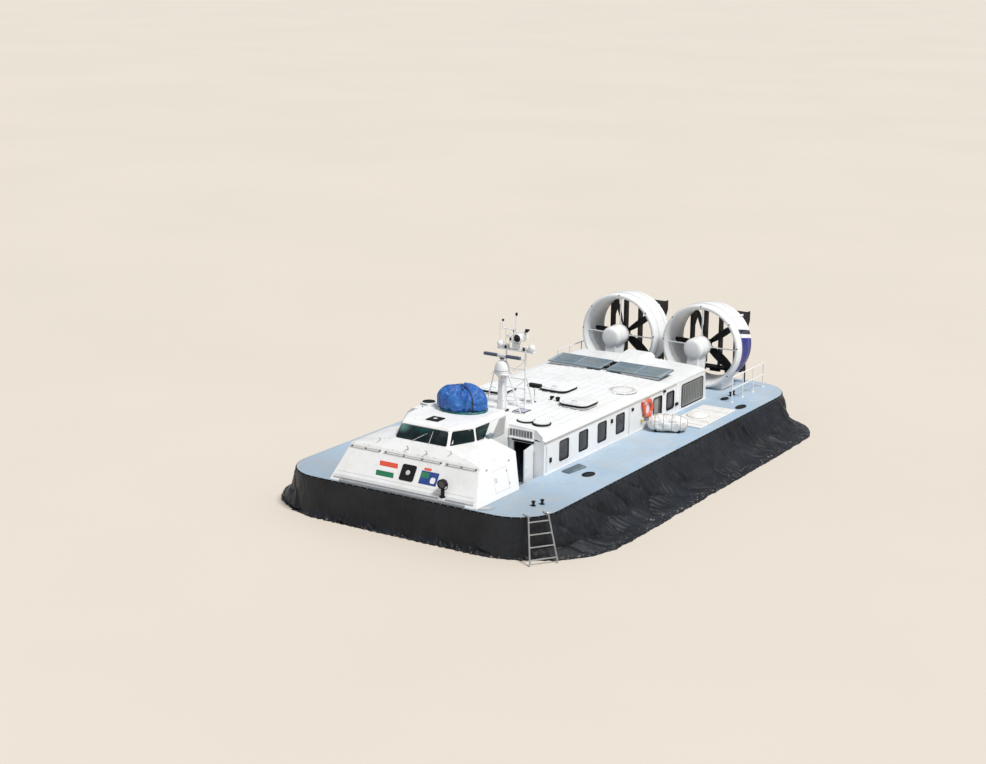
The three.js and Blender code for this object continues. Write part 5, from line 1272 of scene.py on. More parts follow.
class HOVERCRAFT_OT_bow(bpy.types.Operator):
    """Bow block with its plain stripes, grab rails, ledge and joints"""

    bl_idname = "hovercraft.bow"
    bl_label = "Bow block"

    def execute(self, context):
        sizes = context.scene.hovercraft_fittings
        low_x, aft_x = 10.31, 7.72
        corners = [(low_x, 2.95, DECK_Z + 0.0003), (aft_x, 2.95, DECK_Z + 0.0003), (9.57, 2.56, 2.6), (7.36, 2.56, 2.6),
                   (9.26, 1.04, 2.9), (8.1, 1.49, 2.9), (7.36, 1.49, 2.9)]
        corners += [(x, -y, z) for x, y, z in corners]
        bow = hull_of(corners, 0.022, 3, 4)
        placed(bow, "bow_block_finish", finish("White paint"), stands_for=("bow_block",))

        # Plain stripes and plates on the sloped front.
        bands = (("Signal orange", -1.19, -0.46, 2.1, 2.24), ("White paint", -1.2, -0.49, 1.99, 2.08),
                 ("Signal green", -1.22, -0.51, 1.81, 1.96))
        for index, (paint, first, last, low, high) in enumerate(bands):
            strip = panel([slope(first + 0.02, low), slope(last + 0.02, low), slope(last - 0.02, high),
                           slope(first - 0.02, high)], 0.004, 0.004, 0.008)
            placed(strip, f"bow_stripe_{index + 1}", finish(paint))
        plate = panel([slope(-0.28, 1.81), slope(0.28, 1.81), slope(0.28, 2.28), slope(-0.28, 2.28)], 0.014, 0.014, 0.07,
                      0.035, 0.005)
        placed(plate, "bow_plate", finish("Black paint"))
        disc = spun([(0.085, 0, 0.004), (0.075, 0, 0.012), (0, 0, 0.014)], (0, 0, 0), (0, 0, 1), 28)
        turn = Vector((0.847, 0, 0.531)).to_track_quat("Z", "Y").to_matrix().to_4x4()
        disc.data.transform(Matrix.Translation(slope(0.0, 2.05, 0.008)) @ turn)
        placed(smoothed(disc), "bow_plate_disc", finish("Casing grey"))
        blue = panel([slope(0.5, 1.82), slope(1.19, 1.82), slope(1.19, 2.2), slope(0.5, 2.2)], 0.004, 0.004, 0.012)
        placed(blue, "bow_blue_panel", finish("Signal blue"))
        corner = panel([slope(0.5, 2.0), slope(0.83, 2.0), slope(0.83, 2.16), slope(0.5, 2.16)], 0.006, 0.003, 0.01)
        placed(corner, "bow_green_panel", finish("Signal green"))
        bar = panel([slope(0.57, 2.215), slope(0.85, 2.215), slope(0.85, 2.29), slope(0.57, 2.29)], 0.004, 0.004, 0.008)
        placed(bar, "bow_orange_panel", finish("Signal orange"))
        mark = panel([slope(0.92, 1.88), slope(1.11, 1.88), slope(1.11, 2.05), slope(0.92, 2.05)], 0.006, 0.003, 0.06)
        placed(mark, "bow_white_panel", finish("White paint"))

        # Grab rails under the shoulder, each on short posts with round feet.
        rails, posts = [], []
        for first, last, count in ((-2.52, -1.3, 3), (-1.13, 1.15, 4), (1.32, 2.52, 3)):
            off = 0.048
            rails.append(rod(slope(first, 2.505, off), slope(last, 2.505, off), sizes.rail, 12))
            for i in range(count):
                y = first + 0.04 + (last - first - 0.08) * i / (count - 1)
                posts.append(rod(slope(y, 2.505, -0.01), slope(y, 2.505, off + 0.012), 0.021, 12))
                posts.append(rod(slope(y, 2.505, -0.004), slope(y, 2.505, 0.01), 0.04, 16))
        placed(joined(rails), "shoulder_rails", finish("Grey paint"))
        placed(joined(posts), "shoulder_rail_posts", finish("Black paint"))

        # Rubbing strake and the light ledges at the foot of the slope.
        low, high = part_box("bow_fender")
        profile = [(low.x, low.z), (high.x - 0.02, low.z), (high.x, low.z + 0.02), (high.x, high.z - 0.02),
                   (high.x - 0.02, high.z), (low.x, high.z)]
        strake = extruded([(x, low.y, z) for x, z in profile], (0, high.y - low.y, 0), 0.006)
        with editing(strake, "FACE"):
            pick(strake, "faces", lambda f: f.normal.x > 0.99 and f.calc_area() > 0.05)
            bpy.ops.mesh.inset(thickness=0.014, depth=-0.006)
        placed(strake, "bow_strake", finish("Fender rubber"), stands_for=("bow_fender",))
        ledges = []
        for first, last in ((-2.79, 1.45), (1.71, 2.79)):
            ledges.append(extruded([slope(first, 1.53, -0.005), slope(first, 1.53, 0.042), slope(first, 1.615, 0.034),
                                    slope(first, 1.632, -0.005)], (0, last - first, 0), 0.006))
        placed(joined(ledges), "bow_ledges", finish("Pale grey paint"))

        # Joints of the plating, an access panel on each side, and small eyes and brackets.
        lines = [seam([slope(-2.72, 1.72, 0.001), slope(2.72, 1.72, 0.001)], 0.008)]
        fittings = []
        for _, side in SIDES:
            def face(x, z, off=0.002, side=side):
                return Vector((x, side * (2.95 - 0.39 * (z - DECK_Z) / 1.18 + off), z))
            corners = [face(8.2, 1.62), face(9.05, 1.62), face(8.95, 2.3), face(8.15, 2.3), face(8.2, 1.62)]
            lines.append(seam(corners, 0.009))
            for z in (1.75, 2.15):
                middle = face(8.17, z)
                fittings.append(block(middle - Vector((0.03, 0.012, 0.04)), middle + Vector((0.03, 0.012, 0.04)), 0.006))
            handle = face(8.92, 1.95)
            fittings.append(pipe([handle, handle + Vector((0, side * 0.05, 0.02)), handle + Vector((0, side * 0.05, 0.12)),
                                  handle + Vector((0, -side * 0.02, 0.14))], 0.011))
            for x in (7.9, 9.25):
                spot = face(x, 2.42)
                fittings.append(block(spot - Vector((0.05, 0.02, 0.03)), spot + Vector((0.05, 0.02, 0.03)), 0.008))
        for x, y, z in ((9.47, -0.3, 2.69), (9.5, 0.47, 2.66), (9.36, 1.35, 2.74), (9.36, -1.5, 2.74)):
            foot = Vector((x, y, z))
            fittings.append(pipe([foot - Vector((0, 0, 0.03)), foot + Vector((0.03, 0, 0.13)),
                                  foot + Vector((0.13, 0.03, 0.15))], 0.018))
            fittings.append(block(foot - Vector((0.035, 0.03, 0.03)), foot + Vector((0.035, 0.03, 0.012)), 0.006))
        placed(joined(lines), "bow_joints", finish("Grey paint"))
        placed(joined(fittings), "bow_fittings", finish("Grey paint"))
        corner = extruded([(10.26, 2.62, DECK_Z), (10.3, 2.9, DECK_Z), (10.1, 3.25, DECK_Z), (9.75, 3.3, DECK_Z)],
                          (0, 0, 0.035), 0.01)
        placed(corner, "bow_corner_plate", finish("Grey paint"))
        return {"FINISHED"}


def windscreen(y, z, lift=0.0):
    """Point on the raked front of the wheelhouse."""
    return Vector((9.2 - 0.625 * (z - 2.9) + lift * 0.848, y, z + lift * 0.53))


def wheelhouse_side(x, z):
    """Point on the port side of the wheelhouse, ahead of or behind its kink."""
    t = (z - 2.9) / 0.48
    middle = 1.46 - 0.07 * t
    if x <= 8.1:
        return Vector((x, middle, z))
    bow_x, bow_y = 9.2 - 0.3 * t, 1.04 - 0.11 * t
    return Vector((x, middle + (bow_y - middle) * (x - 8.1) / (bow_x - 8.1), z))


class HOVERCRAFT_OT_wheelhouse(bpy.types.Operator):
    """Wheelhouse shell, its tinted panes in black rubber, wipers, roof and roof hatch"""

    bl_idname = "hovercraft.wheelhouse"
    bl_label = "Wheelhouse"

    def execute(self, context):
        gasket = context.scene.hovercraft_fittings.gasket
        refined("wheelhouse", finish("White paint"), 0.008)
        refined("wheelhouse_roof", finish("Roof paint"), 0.008, degrees=15)
        front = [windscreen(-1.0, 2.93), windscreen(1.0, 2.93), windscreen(0.905, 3.34), windscreen(-0.905, 3.34)]
        ahead = [wheelhouse_side(x, z) for x, z in ((9.06, 2.935), (8.15, 2.935), (8.15, 3.335), (8.8, 3.335))]
        behind = [wheelhouse_side(x, z) for x, z in ((8.02, 2.935), (7.6, 2.935), (7.18, 3.335), (8.02, 3.335))]
        panes, rubbers = [panel(front, 0.012, 0.008, 0.06)], [panel(grown(front, gasket), 0.008, 0.02, 0.075)]
        for corners in (ahead, behind):
            for parts, plate in ((panes, panel(corners, 0.02, 0.008, 0.04)),
                                 (rubbers, panel(grown(corners, gasket * 0.9), 0.016, 0.03, 0.05))):
                parts.extend([plate, mirrored(plate)])
        placed(smoothed(joined(panes)), "wheelhouse_panes", finish("Wheelhouse glass"),
               stands_for=("wheelhouse_glass",))
        placed(smoothed(joined(rubbers)), "wheelhouse_gaskets", finish("Gasket rubber"))

        wipers = []
        for y, sweep, high in ((-0.36, 0.42, 3.13), (0.34, 0.02, 3.17)):
            pivot = windscreen(y, 2.885, 0.03)
            tip = windscreen(y + sweep, high, 0.032)
            wipers.append(rod(pivot, tip, 0.009, 8))
            along = (tip - pivot).normalized() * 0.13
            wipers.append(rod(tip - along, tip + along, 0.007, 8))
            wipers.append(rod(windscreen(y, 2.885, -0.01), windscreen(y, 2.885, 0.045), 0.02, 14))
        placed(joined(wipers), "wipers", finish("Pale grey paint"))

        # Perforated plates at the after end of the sides, with a pale strip along their forward edge.
        cases, holes = [], []
        corners = [(7.3, 2.82), (6.4, 2.82), (6.17, 3.35), (6.63, 3.35)]
        face = [wheelhouse_side(a, b) + Vector((0, 0.022, 0)) for a, b in corners]
        plate = panel(face, 0.004, 0.006, 0.015)
        strip = panel([face[0] + Vector((0.06, 0, -0.01)), face[0] + Vector((-0.04, 0, -0.01)),
                       face[3] + Vector((-0.03, 0, 0)), face[3] + Vector((0.06, 0, 0))], 0.012, 0.012, 0.006)
        # Black slots laid on the plates, painted as the shade in their holes.
        slot_piece = block((-0.032, 0, -0.007), (0.032, 0.004, 0.007), 0.003, 1)
        for row in range(11):
            z = 2.86 + row * 0.045
            first = 7.22 - (z - 2.82) * 1.2
            for column in range(9):
                x = first - 0.05 - column * 0.095
                if x < 6.45 - (z - 2.82) * 0.4:
                    break
                spot = wheelhouse_side(x, z) + Vector((0, 0.024, 0))
                holes.append(copied(slot_piece, spot))
        bpy.data.objects.remove(slot_piece)
        port_holes = joined(holes)
        placed(joined([plate, mirrored(plate)]), "side_plates", finish("Grey paint"))
        placed(joined([port_holes, mirrored(port_holes)]), "side_plate_slots", finish("Gasket rubber"))
        placed(joined([strip, mirrored(strip)]), "side_plate_strips", finish("White paint"))
        for _, side in SIDES:
            cases.append(block((7.16, side * 1.53 - 0.07, 2.902), (7.52, side * 1.53 + 0.07, 3.0), 0.012))
        placed(joined(cases), "side_plate_cases", finish("Intake paint"))

        # Square hatch in the wheelhouse roof.
        top = ROOF_Z
        hatch_top = top + 0.03
        surround = block((8.09, -0.24, top - 0.035), (8.57, 0.24, hatch_top + 0.004), 0.012)
        placed(surround, "roof_hatch_frame", finish("Gasket rubber"))
        lid = panel([(8.4, 0.065, hatch_top), (8.26, 0.065, hatch_top), (8.26, -0.065, hatch_top), (8.4, -0.065, hatch_top)],
                    0.01, 0.008, 0.03)
        placed(lid, "roof_hatch_lid", finish("Pale grey paint"))
        eyes = []
        for x, y in ((8.66, 0.6), (8.66, -0.6), (7.75, 1.0), (7.75, -1.0), (6.2, 1.05), (6.2, -1.05)):
            eyes.append(pipe([(x - 0.06, y, top - 0.03), (x - 0.06, y, top + 0.03), (x + 0.06, y, top + 0.03),
                              (x + 0.06, y, top - 0.03)], 0.01))
        placed(joined(eyes), "wheelhouse_roof_eyes", finish("White paint"))
        return {"FINISHED"}



class HOVERCRAFT_OT_bundles(bpy.types.Operator):
    """Covered bundle on the wheelhouse and wrapped liferaft on the deck, both swelled by a cloth simulation"""

    bl_idname = "hovercraft.bundles"
    bl_label = "Covered bundles"

    def execute(self, context):
        low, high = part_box("tarp_bundle")
        middle = (low + high) / 2
        half = (high - low) / 2
        profile = eased([(0.02, 0.0), (0.74, 0.0), (0.9, 0.14), (0.92, 0.36), (0.87, 0.58), (0.68, 0.78), (0.36, 0.92),
                         (0.02, 0.96)], 4)
        cover = spun([(half.x * p.x, 0, (high.z - low.z) * p.y) for p in (Vector((a, b)) for a, b, *_ in profile)],
                     (0, 0, 0), (0, 0, 1), 72)
        for vert in cover.data.vertices:
            angle = math.atan2(vert.co.y, vert.co.x)
            share = vert.co.z / (high.z - low.z)
            square = 1 + 0.05 * math.cos(4 * angle) * (1 - share) - 0.03 * math.sin(3 * angle + 1.0) * share
            vert.co = Vector((vert.co.x * square + middle.x, vert.co.y * square * half.y / half.x + middle.y,
                              vert.co.z + low.z + 0.002))
        straps = ((0.85, -0.5),)

        def held(co):
            off = Vector((co.x - middle.x, co.y - middle.y))
            return co.z < low.z + 0.05 or abs(off.dot(Vector(straps[0]))) < 0.022

        puffed(cover, held, 1.2, -0.12, 12, most=0.06)
        modified(cover, "SUBSURF", levels=1, render_levels=1)
        for vert in cover.data.vertices:
            off = Vector((vert.co.x - middle.x, vert.co.y - middle.y, vert.co.z - low.z))
            out = Vector((off.x, off.y, off.z * 0.8)).normalized()
            angle = math.atan2(off.y, off.x)
            ridge = 1 - abs(noise.noise(Vector((math.cos(angle) * 3.4, math.sin(angle) * 3.4, off.z * 1.3)))) * 2.6
            fine = 1 - abs(noise.noise(off * 5.5)) * 2.4
            lump = noise.noise(off * 2.1 + Vector((4, 0, 0)))
            push = 0.075 * ridge + 0.035 * fine + 0.08 * lump - 0.055
            vert.co += out * min(push * fade(off.z, 0.02, 0.12), 0.035)
        smoothed(cover, 60)
        placed(cover, "tarp_bundle_cover", finish("Blue tarpaulin"), stands_for=("tarp_bundle",))
        context.view_layer.update()
        lashings = [strap_over(cover, (middle.x, middle.y, low.z + 0.12), (*normal, 0), (-4, 184, 40), 0.022)
                    for normal in straps]
        knots = []
        for dx, dy in ((0.0, 0.0), (0.09, 0.12), (-0.1, 0.05)):
            found, place, _, _ = cover.ray_cast(Vector((middle.x + dx, middle.y + dy, high.z + 2)), Vector((0, 0, -1)))
            knot = spun([(0.0, 0, -0.035), (0.05, 0, -0.02), (0.06, 0, 0.005), (0.035, 0, 0.03), (0, 0, 0.036)],
                        (0, 0, 0), (0, 0, 1), 14)
            knot.data.transform(Matrix.Translation(place + Vector((0, 0, 0.012))) @ Matrix.Diagonal((1.3, 0.9, 1, 1)))
            knots.append(smoothed(knot))
            tail = [place + Vector((0, 0, 0.02)), place + Vector((dx + 0.08, 0.09 - dy, 0.045)),
                    place + Vector((dx * 2 + 0.12, 0.2, -0.02))]
            knots.append(pipe(tail, 0.011, 2))
        placed(joined(lashings + knots), "tarp_lashings", finish("Black webbing"))
        ground = spun([(0.9 * half.x, 0, -0.002), (1.0 * half.x, 0, -0.002), (1.0 * half.x, 0, 0.035),
                       (0.96 * half.x, 0, 0.07), (0.86 * half.x, 0, 0.05)], (0, 0, 0), (0, 0, 1), 72, closed=True)
        for vert in ground.data.vertices:
            angle = math.atan2(vert.co.y, vert.co.x)
            swell = 1 + 0.012 * math.sin(9 * angle) + 0.008 * math.sin(17 * angle + 1)
            vert.co = Vector((vert.co.x * swell + middle.x, vert.co.y * swell * half.y / half.x + middle.y + 0.04,
                              vert.co.z + ROOF_Z))
        placed(smoothed(ground, 60), "tarp_groundsheet", finish("Green groundsheet"))

        low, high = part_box("liferaft_bundle")
        middle = (low + high) / 2
        long_way = Vector((-math.sin(0.43), math.cos(0.43), 0))
        short_way = Vector((math.cos(0.43), math.sin(0.43), 0))
        bpy.ops.mesh.primitive_uv_sphere_add(segments=64, ring_count=40, radius=1)
        raft = settle(context.object)
        for vert in raft.data.vertices:
            v = vert.co
            square = [math.copysign(abs(value) ** 0.62, value) for value in v]
            wrinkle = 1 - 0.11 * abs(noise.noise(Vector((v.x * 2.2, v.y * 5.5, v.z * 2.2)))) - 0.07 * abs(noise.noise(v * 6))
            vert.co = middle + (short_way * (square[0] * 0.435) + long_way * (square[1] * 0.735)
                                + Vector((0, 0, square[2] * 0.285))) * wrinkle
        bands = (-0.46, -0.15, 0.16, 0.47)

        def tied(co):
            along = (co - middle).dot(long_way)
            return co.z < low.z + 0.03 or any(abs(along - band) < 0.016 for band in bands)

        puffed(raft, tied, 1.6, -0.06, 14, most=0.035)
        modified(raft, "SUBSURF", levels=1, render_levels=1)
        smoothed(raft, 60)
        placed(raft, "liferaft_wrap", finish("Raft wrap"), stands_for=("liferaft_bundle",))
        context.view_layer.update()
        ties = [strap_over(raft, middle + long_way * band, long_way, (-60, 240, 48), 0.011) for band in bands]
        along = strap_over(raft, middle, short_way, (-30, 210, 48), 0.009)
        placed(joined([*ties, along]), "liferaft_ties", finish("Raft tie"))
        cradle = []
        for band in (-0.42, 0.42):
            centre = middle + long_way * band
            for end in (-1, 1):
                spot = centre + short_way * (0.3 * end)
                cradle.append(block((spot.x - 0.045, spot.y - 0.045, DECK_Z), (spot.x + 0.045, spot.y + 0.045, DECK_Z + 0.12), 0.01))
            cradle.append(rod(Vector((*(centre - short_way * 0.36).xy, DECK_Z + 0.03)),
                              Vector((*(centre + short_way * 0.36).xy, DECK_Z + 0.03)), 0.022))
        placed(joined(cradle), "liferaft_cradle", finish("Black paint"))
        return {"FINISHED"}


class HOVERCRAFT_OT_cabin(bpy.types.Operator):
    """Cabin walls with windows in black rubber, gutters and fittings, the bulkhead and its two doors"""

    bl_idname = "hovercraft.cabin"
    bl_label = "Cabin and doors"

    windows = ((4.7, 2.05, 0.31, 0.35), (3.37, 2.05, 0.31, 0.35), (2.04, 2.05, 0.31, 0.35), (0.7, 2.05, 0.31, 0.35),
               (-2.2, 2.01, 0.33, 0.37), (-3.23, 2.03, 0.29, 0.33))  # centre x and z, half width and half height

    def execute(self, context):
        gasket = context.scene.hovercraft_fittings.gasket
        for name, side in SIDES:
            refined(f"cabin_wall_{name}", finish("White paint"), 0.006)
            panes, rubbers = [], []
            for x, z, half_x, half_z in self.windows:
                edge = [Vector((x + a, side * (WALL_Y + 0.004), z + b)) for a, b in outline(half_x, half_z, 0.07, 6)]
                heavy = 2.0 if x < -3 else 1.6 if x < -2 else 1.0
                rubbers.append(bead(edge, gasket * 0.55 * heavy))
                corners = [(x - half_x - 0.02, z - half_z - 0.02), (x + half_x + 0.02, z - half_z - 0.02),
                           (x + half_x + 0.02, z + half_z + 0.02), (x - half_x - 0.02, z + half_z + 0.02)]
                if side > 0:
                    corners = [corners[1], corners[0], corners[3], corners[2]]
                panes.append(panel([(a, side * (WALL_Y - 0.016), b) for a, b in corners], 0.002, 0.008, 0.07))
            placed(smoothed(joined(panes)), f"cabin_panes_{name}", finish("Window glass"),
                   stands_for=(f"cabin_glass_{name}",))
            placed(smoothed(joined(rubbers), 60), f"window_gaskets_{name}", finish("Gasket rubber"))
            gutter = block((-3.68, side * (WALL_Y + 0.016) - 0.016, 2.55), (6.02, side * (WALL_Y + 0.016) + 0.016, 2.588),
                           0.006)
            foot = block((-6.3, side * (WALL_Y + 0.012) - 0.012, DECK_Z + 0.002), (6.02, side * (WALL_Y + 0.012) + 0.012,
                         DECK_Z + 0.05), 0.005)
            placed(foot, f"wall_foot_{name}", finish("White paint"))
            placed(gutter, f"gutter_{name}", finish("Gutter paint"))
        small = []
        for x, z, a, b, c in ((1.36, 2.28, 0.05, 0.05, 0.07), (-0.2, 2.36, 0.06, 0.05, 0.05), (-2.7, 2.5, 0.07, 0.06, 0.04),
                              (5.62, 1.9, 0.06, 0.04, 0.08), (-3.75, 1.78, 0.1, 0.06, 0.05)):
            small.append(block((x - a, WALL_Y - 0.005, z - c), (x + a, WALL_Y + b, z + c), 0.008))
        placed(joined(small), "wall_cases", finish("Black paint"))
        pipes = []
        for x in (5.9, 0.05):
            pipes.append(pipe([(x, WALL_Y + 0.01, 1.5), (x, WALL_Y + 0.05, 1.54), (x, WALL_Y + 0.05, 2.46),
                               (x, WALL_Y + 0.01, 2.5)], 0.014))
        placed(joined(pipes), "grab_bars", finish("White paint"))
        rack = [block((-0.995, WALL_Y - 0.005, 2.28), (-0.885, WALL_Y + 0.09, 2.48), 0.012),
                pipe([(-0.94, WALL_Y + 0.05, 2.29), (-0.95, WALL_Y + 0.07, 2.1), (-1.06, WALL_Y + 0.07, 1.98)], 0.016),
                rod((-1.7, WALL_Y + 0.03, 1.93), (-1.02, WALL_Y + 0.03, 1.93), 0.013)]
        placed(joined(rack), "lifebuoy_rack", finish("Red rack"))
        light = [block((-0.995, WALL_Y - 0.005, 1.71), (-0.87, WALL_Y + 0.075, 1.83), 0.02),
                 rod((-0.93, WALL_Y + 0.035, 1.8), (-0.93, WALL_Y + 0.035, 1.905), 0.03, 16)]
        placed(joined(light), "lifebuoy_light", finish("Signal yellow"))

        # Bulkhead and doors: each door moves with its own body.
        refined("front_bulkhead", finish("White paint"), 0.006)
        for name, side in SIDES:
            door = f"entrance_door_{name}"
            refined(door, finish("White paint"), 0.006, body=door)
            seal_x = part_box("entrance_door_starboard")[0].x - 0.013
            frame_points = [Vector((seal_x, side * 2.02 + a, 1.79 + b)) for a, b in outline(0.4, 0.7, 0.06, 4)]
            placed(bead(frame_points, 0.011), f"door_seal_{name}", finish("Gasket rubber"))
        return {"FINISHED"}


class HOVERCRAFT_OT_roof(bpy.types.Operator):
    """Cabin roof with its ribs, hatch lids on dark seals, vents, louvres, skylight and lamp post"""

    bl_idname = "hovercraft.roof"
    bl_label = "Cabin roof and hatches"

    def execute(self, context):
        refined("cabin_roof", finish("Roof paint"), 0.006, degrees=20)
        for name in ("hatch_lid_starboard", "hatch_lid_middle", "hatch_lid_port"):
            refined(name, finish("Roof paint"), 0.007, body=name)
            low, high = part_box(name)
            half = (high.y - low.y) / 2
            x, y = high.x - half, (low.y + high.y) / 2
            seal = bead([(x + a, y + b, 2.903) for a, b in outline(half - 0.012, half - 0.012, 0.325, 8)], 0.026)
            placed(seal, f"{name}_seal", finish("Gasket rubber"), body=name)
            dogs = []
            for angle in (-40, 0, 40, 120, 240):
                a = math.radians(angle)
                spot = Vector((x + math.cos(a) * 0.5, y + math.sin(a) * 0.5, high.z - 0.027))
                dogs.append(upright_body([(0.0, 0.0), (0.032, 0.0), (0.032, 0.012), (0.022, 0.02), (0.0, 0.022)],
                                         spot.x, spot.y, 14))
                dogs[-1].data.transform(Matrix.Translation((0, 0, spot.z)))
            dogs.append(pipe([(x + 0.3, y - 0.12, high.z - 0.004), (x + 0.3, y - 0.1, high.z + 0.035), (x + 0.3, y + 0.1,
                              high.z + 0.035), (x + 0.3, y + 0.12, high.z - 0.004)], 0.011))
            placed(joined(dogs), f"{name}_dogs", finish("Grey paint"), body=name)
        arcs = []
        for x, y in ((1.75, -1.72), (0.35, 0.06), (1.75, 1.72)):
            arcs.append(bead([(x + a, y + b, 2.872) for a, b in outline(0.572, 0.572, 0.33, 8)], 0.03))
        placed(joined(arcs), "coaming_joints", finish("Gasket rubber"))
        # Grey lines along both sides of each rib's foot, painted as the shade beside the ribs.
        feet = []
        for i in range(15):
            for edge in (-0.036, 0.036):
                y = 2.346 * (1 - 2 * i / 14) + edge
                z = 2.821 - 0.1 * (y / 2.55) ** 2
                feet.append(seam([(-2.9, y, z), (1.0, y, z), (6.0, y, z)], 0.02))
        placed(joined(feet), "rib_feet", finish("Casing grey"))

        # Round vents on the front boxes: a cap over a dark gap, whose black rings, thicker on the port vents, are
        # painted shade; each starboard cap also carries a dark disc.
        caps, gaps = [], []
        for _, side in SIDES:
            for y in (1.7, 2.33):
                caps.append(upright_body([(0.0, 3.098), (0.16, 3.098), (0.255, 3.088), (0.287, 3.07), (0.29, 3.052),
                                          (0.285, 3.046), (0.0, 3.046)], 5.33, side * y, 48))
                gaps.append(upright_body([(0.291, 2.95), (0.2925, 3.045), (0.28, 3.047), (0.28, 2.95), (0.291, 2.95)],
                                         5.33, side * y, 48))
                caps.append(upright_body([(0.301, 2.94), (0.301, 3.012), (0.292, 3.02), (0.288, 2.94), (0.301, 2.94)],
                                         5.33, side * y, 48))
        for y in (-1.7, -2.33):
            gaps.append(upright_body([(0.0, 3.104), (0.235, 3.104), (0.245, 3.09), (0.0, 3.09)], 5.33, y, 48))
        for y in (1.7, 2.33):
            gaps.append(bead([(5.33 + 0.3 * math.cos(a / 24 * math.pi), y + 0.3 * math.sin(a / 24 * math.pi), 3.035)
                              for a in range(48)], 0.034))
        placed(joined(caps), "vent_caps", finish("Roof paint"))
        placed(joined(gaps), "vent_gaps", finish("Gasket rubber"))

        # Black blocks painted as the shade in the louvre openings, a black strip below them, and pale slats in the
        # louvres under the boxes.
        louvre_shade_blocks, slats = [], []
        for _, side in SIDES:
            pitch = 0.1125
            for i in range(8):
                y = side * (1.52 + pitch * (i + 0.5))
                louvre_shade_blocks.append(block((6.05, y - 0.049, 2.672), (6.083, y + 0.049, 2.912), 0.0015, 1))
                slats.append(block((6.055, y - 0.01, 2.68), (6.0845, y + 0.01, 2.905), 0.003, 1))
            y0, y1 = sorted((side * 1.58, side * 2.46))
            louvre_shade_blocks.append(block((6.045, y0, 2.5), (6.05, y1, 2.585), 0.002, 1))
        placed(joined(louvre_shade_blocks), "louvre_openings", finish("Gasket rubber"))
        placed(joined(slats), "louvre_slats", finish("Pale grey paint"))
        # Two oval inlets on the sloping face of the starboard box.
        ovals = []
        for y in (-1.72, -2.12):
            oval = spun([(0.0, 0, 0.006), (0.9, 0, 0.006), (1.0, 0, 0.002), (1.0, 0, -0.02)], (0, 0, 0), (0, 0, 1), 32)
            face = Vector((1, 0, 0)).to_track_quat("Z", "Y").to_matrix().to_4x4()
            oval.data.transform(Matrix.Translation((6.03, y, 2.985 + 0.05 * (abs(y) < 1.9) - 0.02))
                                @ face @ Matrix.Diagonal((0.03, 0.15, 1, 1)))
            ovals.append(smoothed(oval))
        placed(joined(ovals), "box_inlets", finish("Black paint"))

        # Skylight with a dark border, lamp post and two small stub pipes.
        placed(block((3.545, 0.345, 2.85), (4.055, 0.855, 2.876), 0.012), "skylight_frame", finish("Gasket rubber"))
        pane = panel([(4.0, 0.8, 2.876), (3.6, 0.8, 2.876), (3.6, 0.4, 2.876), (4.0, 0.4, 2.876)], 0.006, 0.006, 0.05)
        placed(pane, "skylight_pane", finish("Skylight glass"))
        lamp = [block((2.42, 0.1, 3.42), (2.68, 0.6, 3.54), 0.03),
                rod((2.6, 0.335, 3.4), (2.6, 0.335, 3.445), 0.045, 18), rod((2.5, 0.32, 2.85), (2.5, 0.32, 2.88), 0.06, 20)]
        for y in (0.64, 0.88):
            lamp.append(upright_body([(0.066, 2.8), (0.066, 2.87), (0.085, 2.9), (0.085, 2.95), (0.06, 2.965), (0.0, 2.965)],
                                     1.8, y, 24))
        placed(smoothed(joined(lamp)), "lamp_head", finish("Black paint"))

        # Round hatch aft, its top parted like a fan, and small eyes along the roof edges.
        x, y, radius = -1.0, 2.0, 0.54
        fan = [upright_body([(radius, 2.73), (radius, 2.79), (radius - 0.02, 2.8), (0.1, 2.812), (0.0, 2.812)], x, y, 64)]
        vanes = []
        for i in range(32):
            angle = 2 * math.pi * i / 32
            out = Vector((math.cos(angle), math.sin(angle), 0))
            vanes.append(rod(Vector((x, y, 2.806)) + out * 0.36, Vector((x, y, 2.797)) + out * (radius - 0.03), 0.013, 6))
        placed(joined(fan), "fan_hatch", finish("Roof paint"))
        placed(joined(vanes), "fan_hatch_vanes", finish("Gutter paint"))
        placed(bead([(x + (radius + 0.004) * math.cos(a / 40 * 2 * math.pi), y + (radius + 0.004) * math.sin(a / 40 * 2 * math.pi),
                      2.76) for a in range(40)], 0.008), "fan_hatch_seal", finish("Gasket rubber"))
        eyes = []
        for ex in (4.4, 3.1, 0.9, -0.4, -2.4):
            for _, side in SIDES:
                base = Vector((ex, side * 2.7, 2.664))
                eyes.append(pipe([base - Vector((0.05, 0, 0.02)), base + Vector((-0.05, 0, 0.05)), base + Vector((0.05, 0, 0.05)),
                                  base + Vector((0.05, 0, -0.02))], 0.01))
        placed(joined(eyes), "roof_eyes", finish("White paint"))
        return {"FINISHED"}


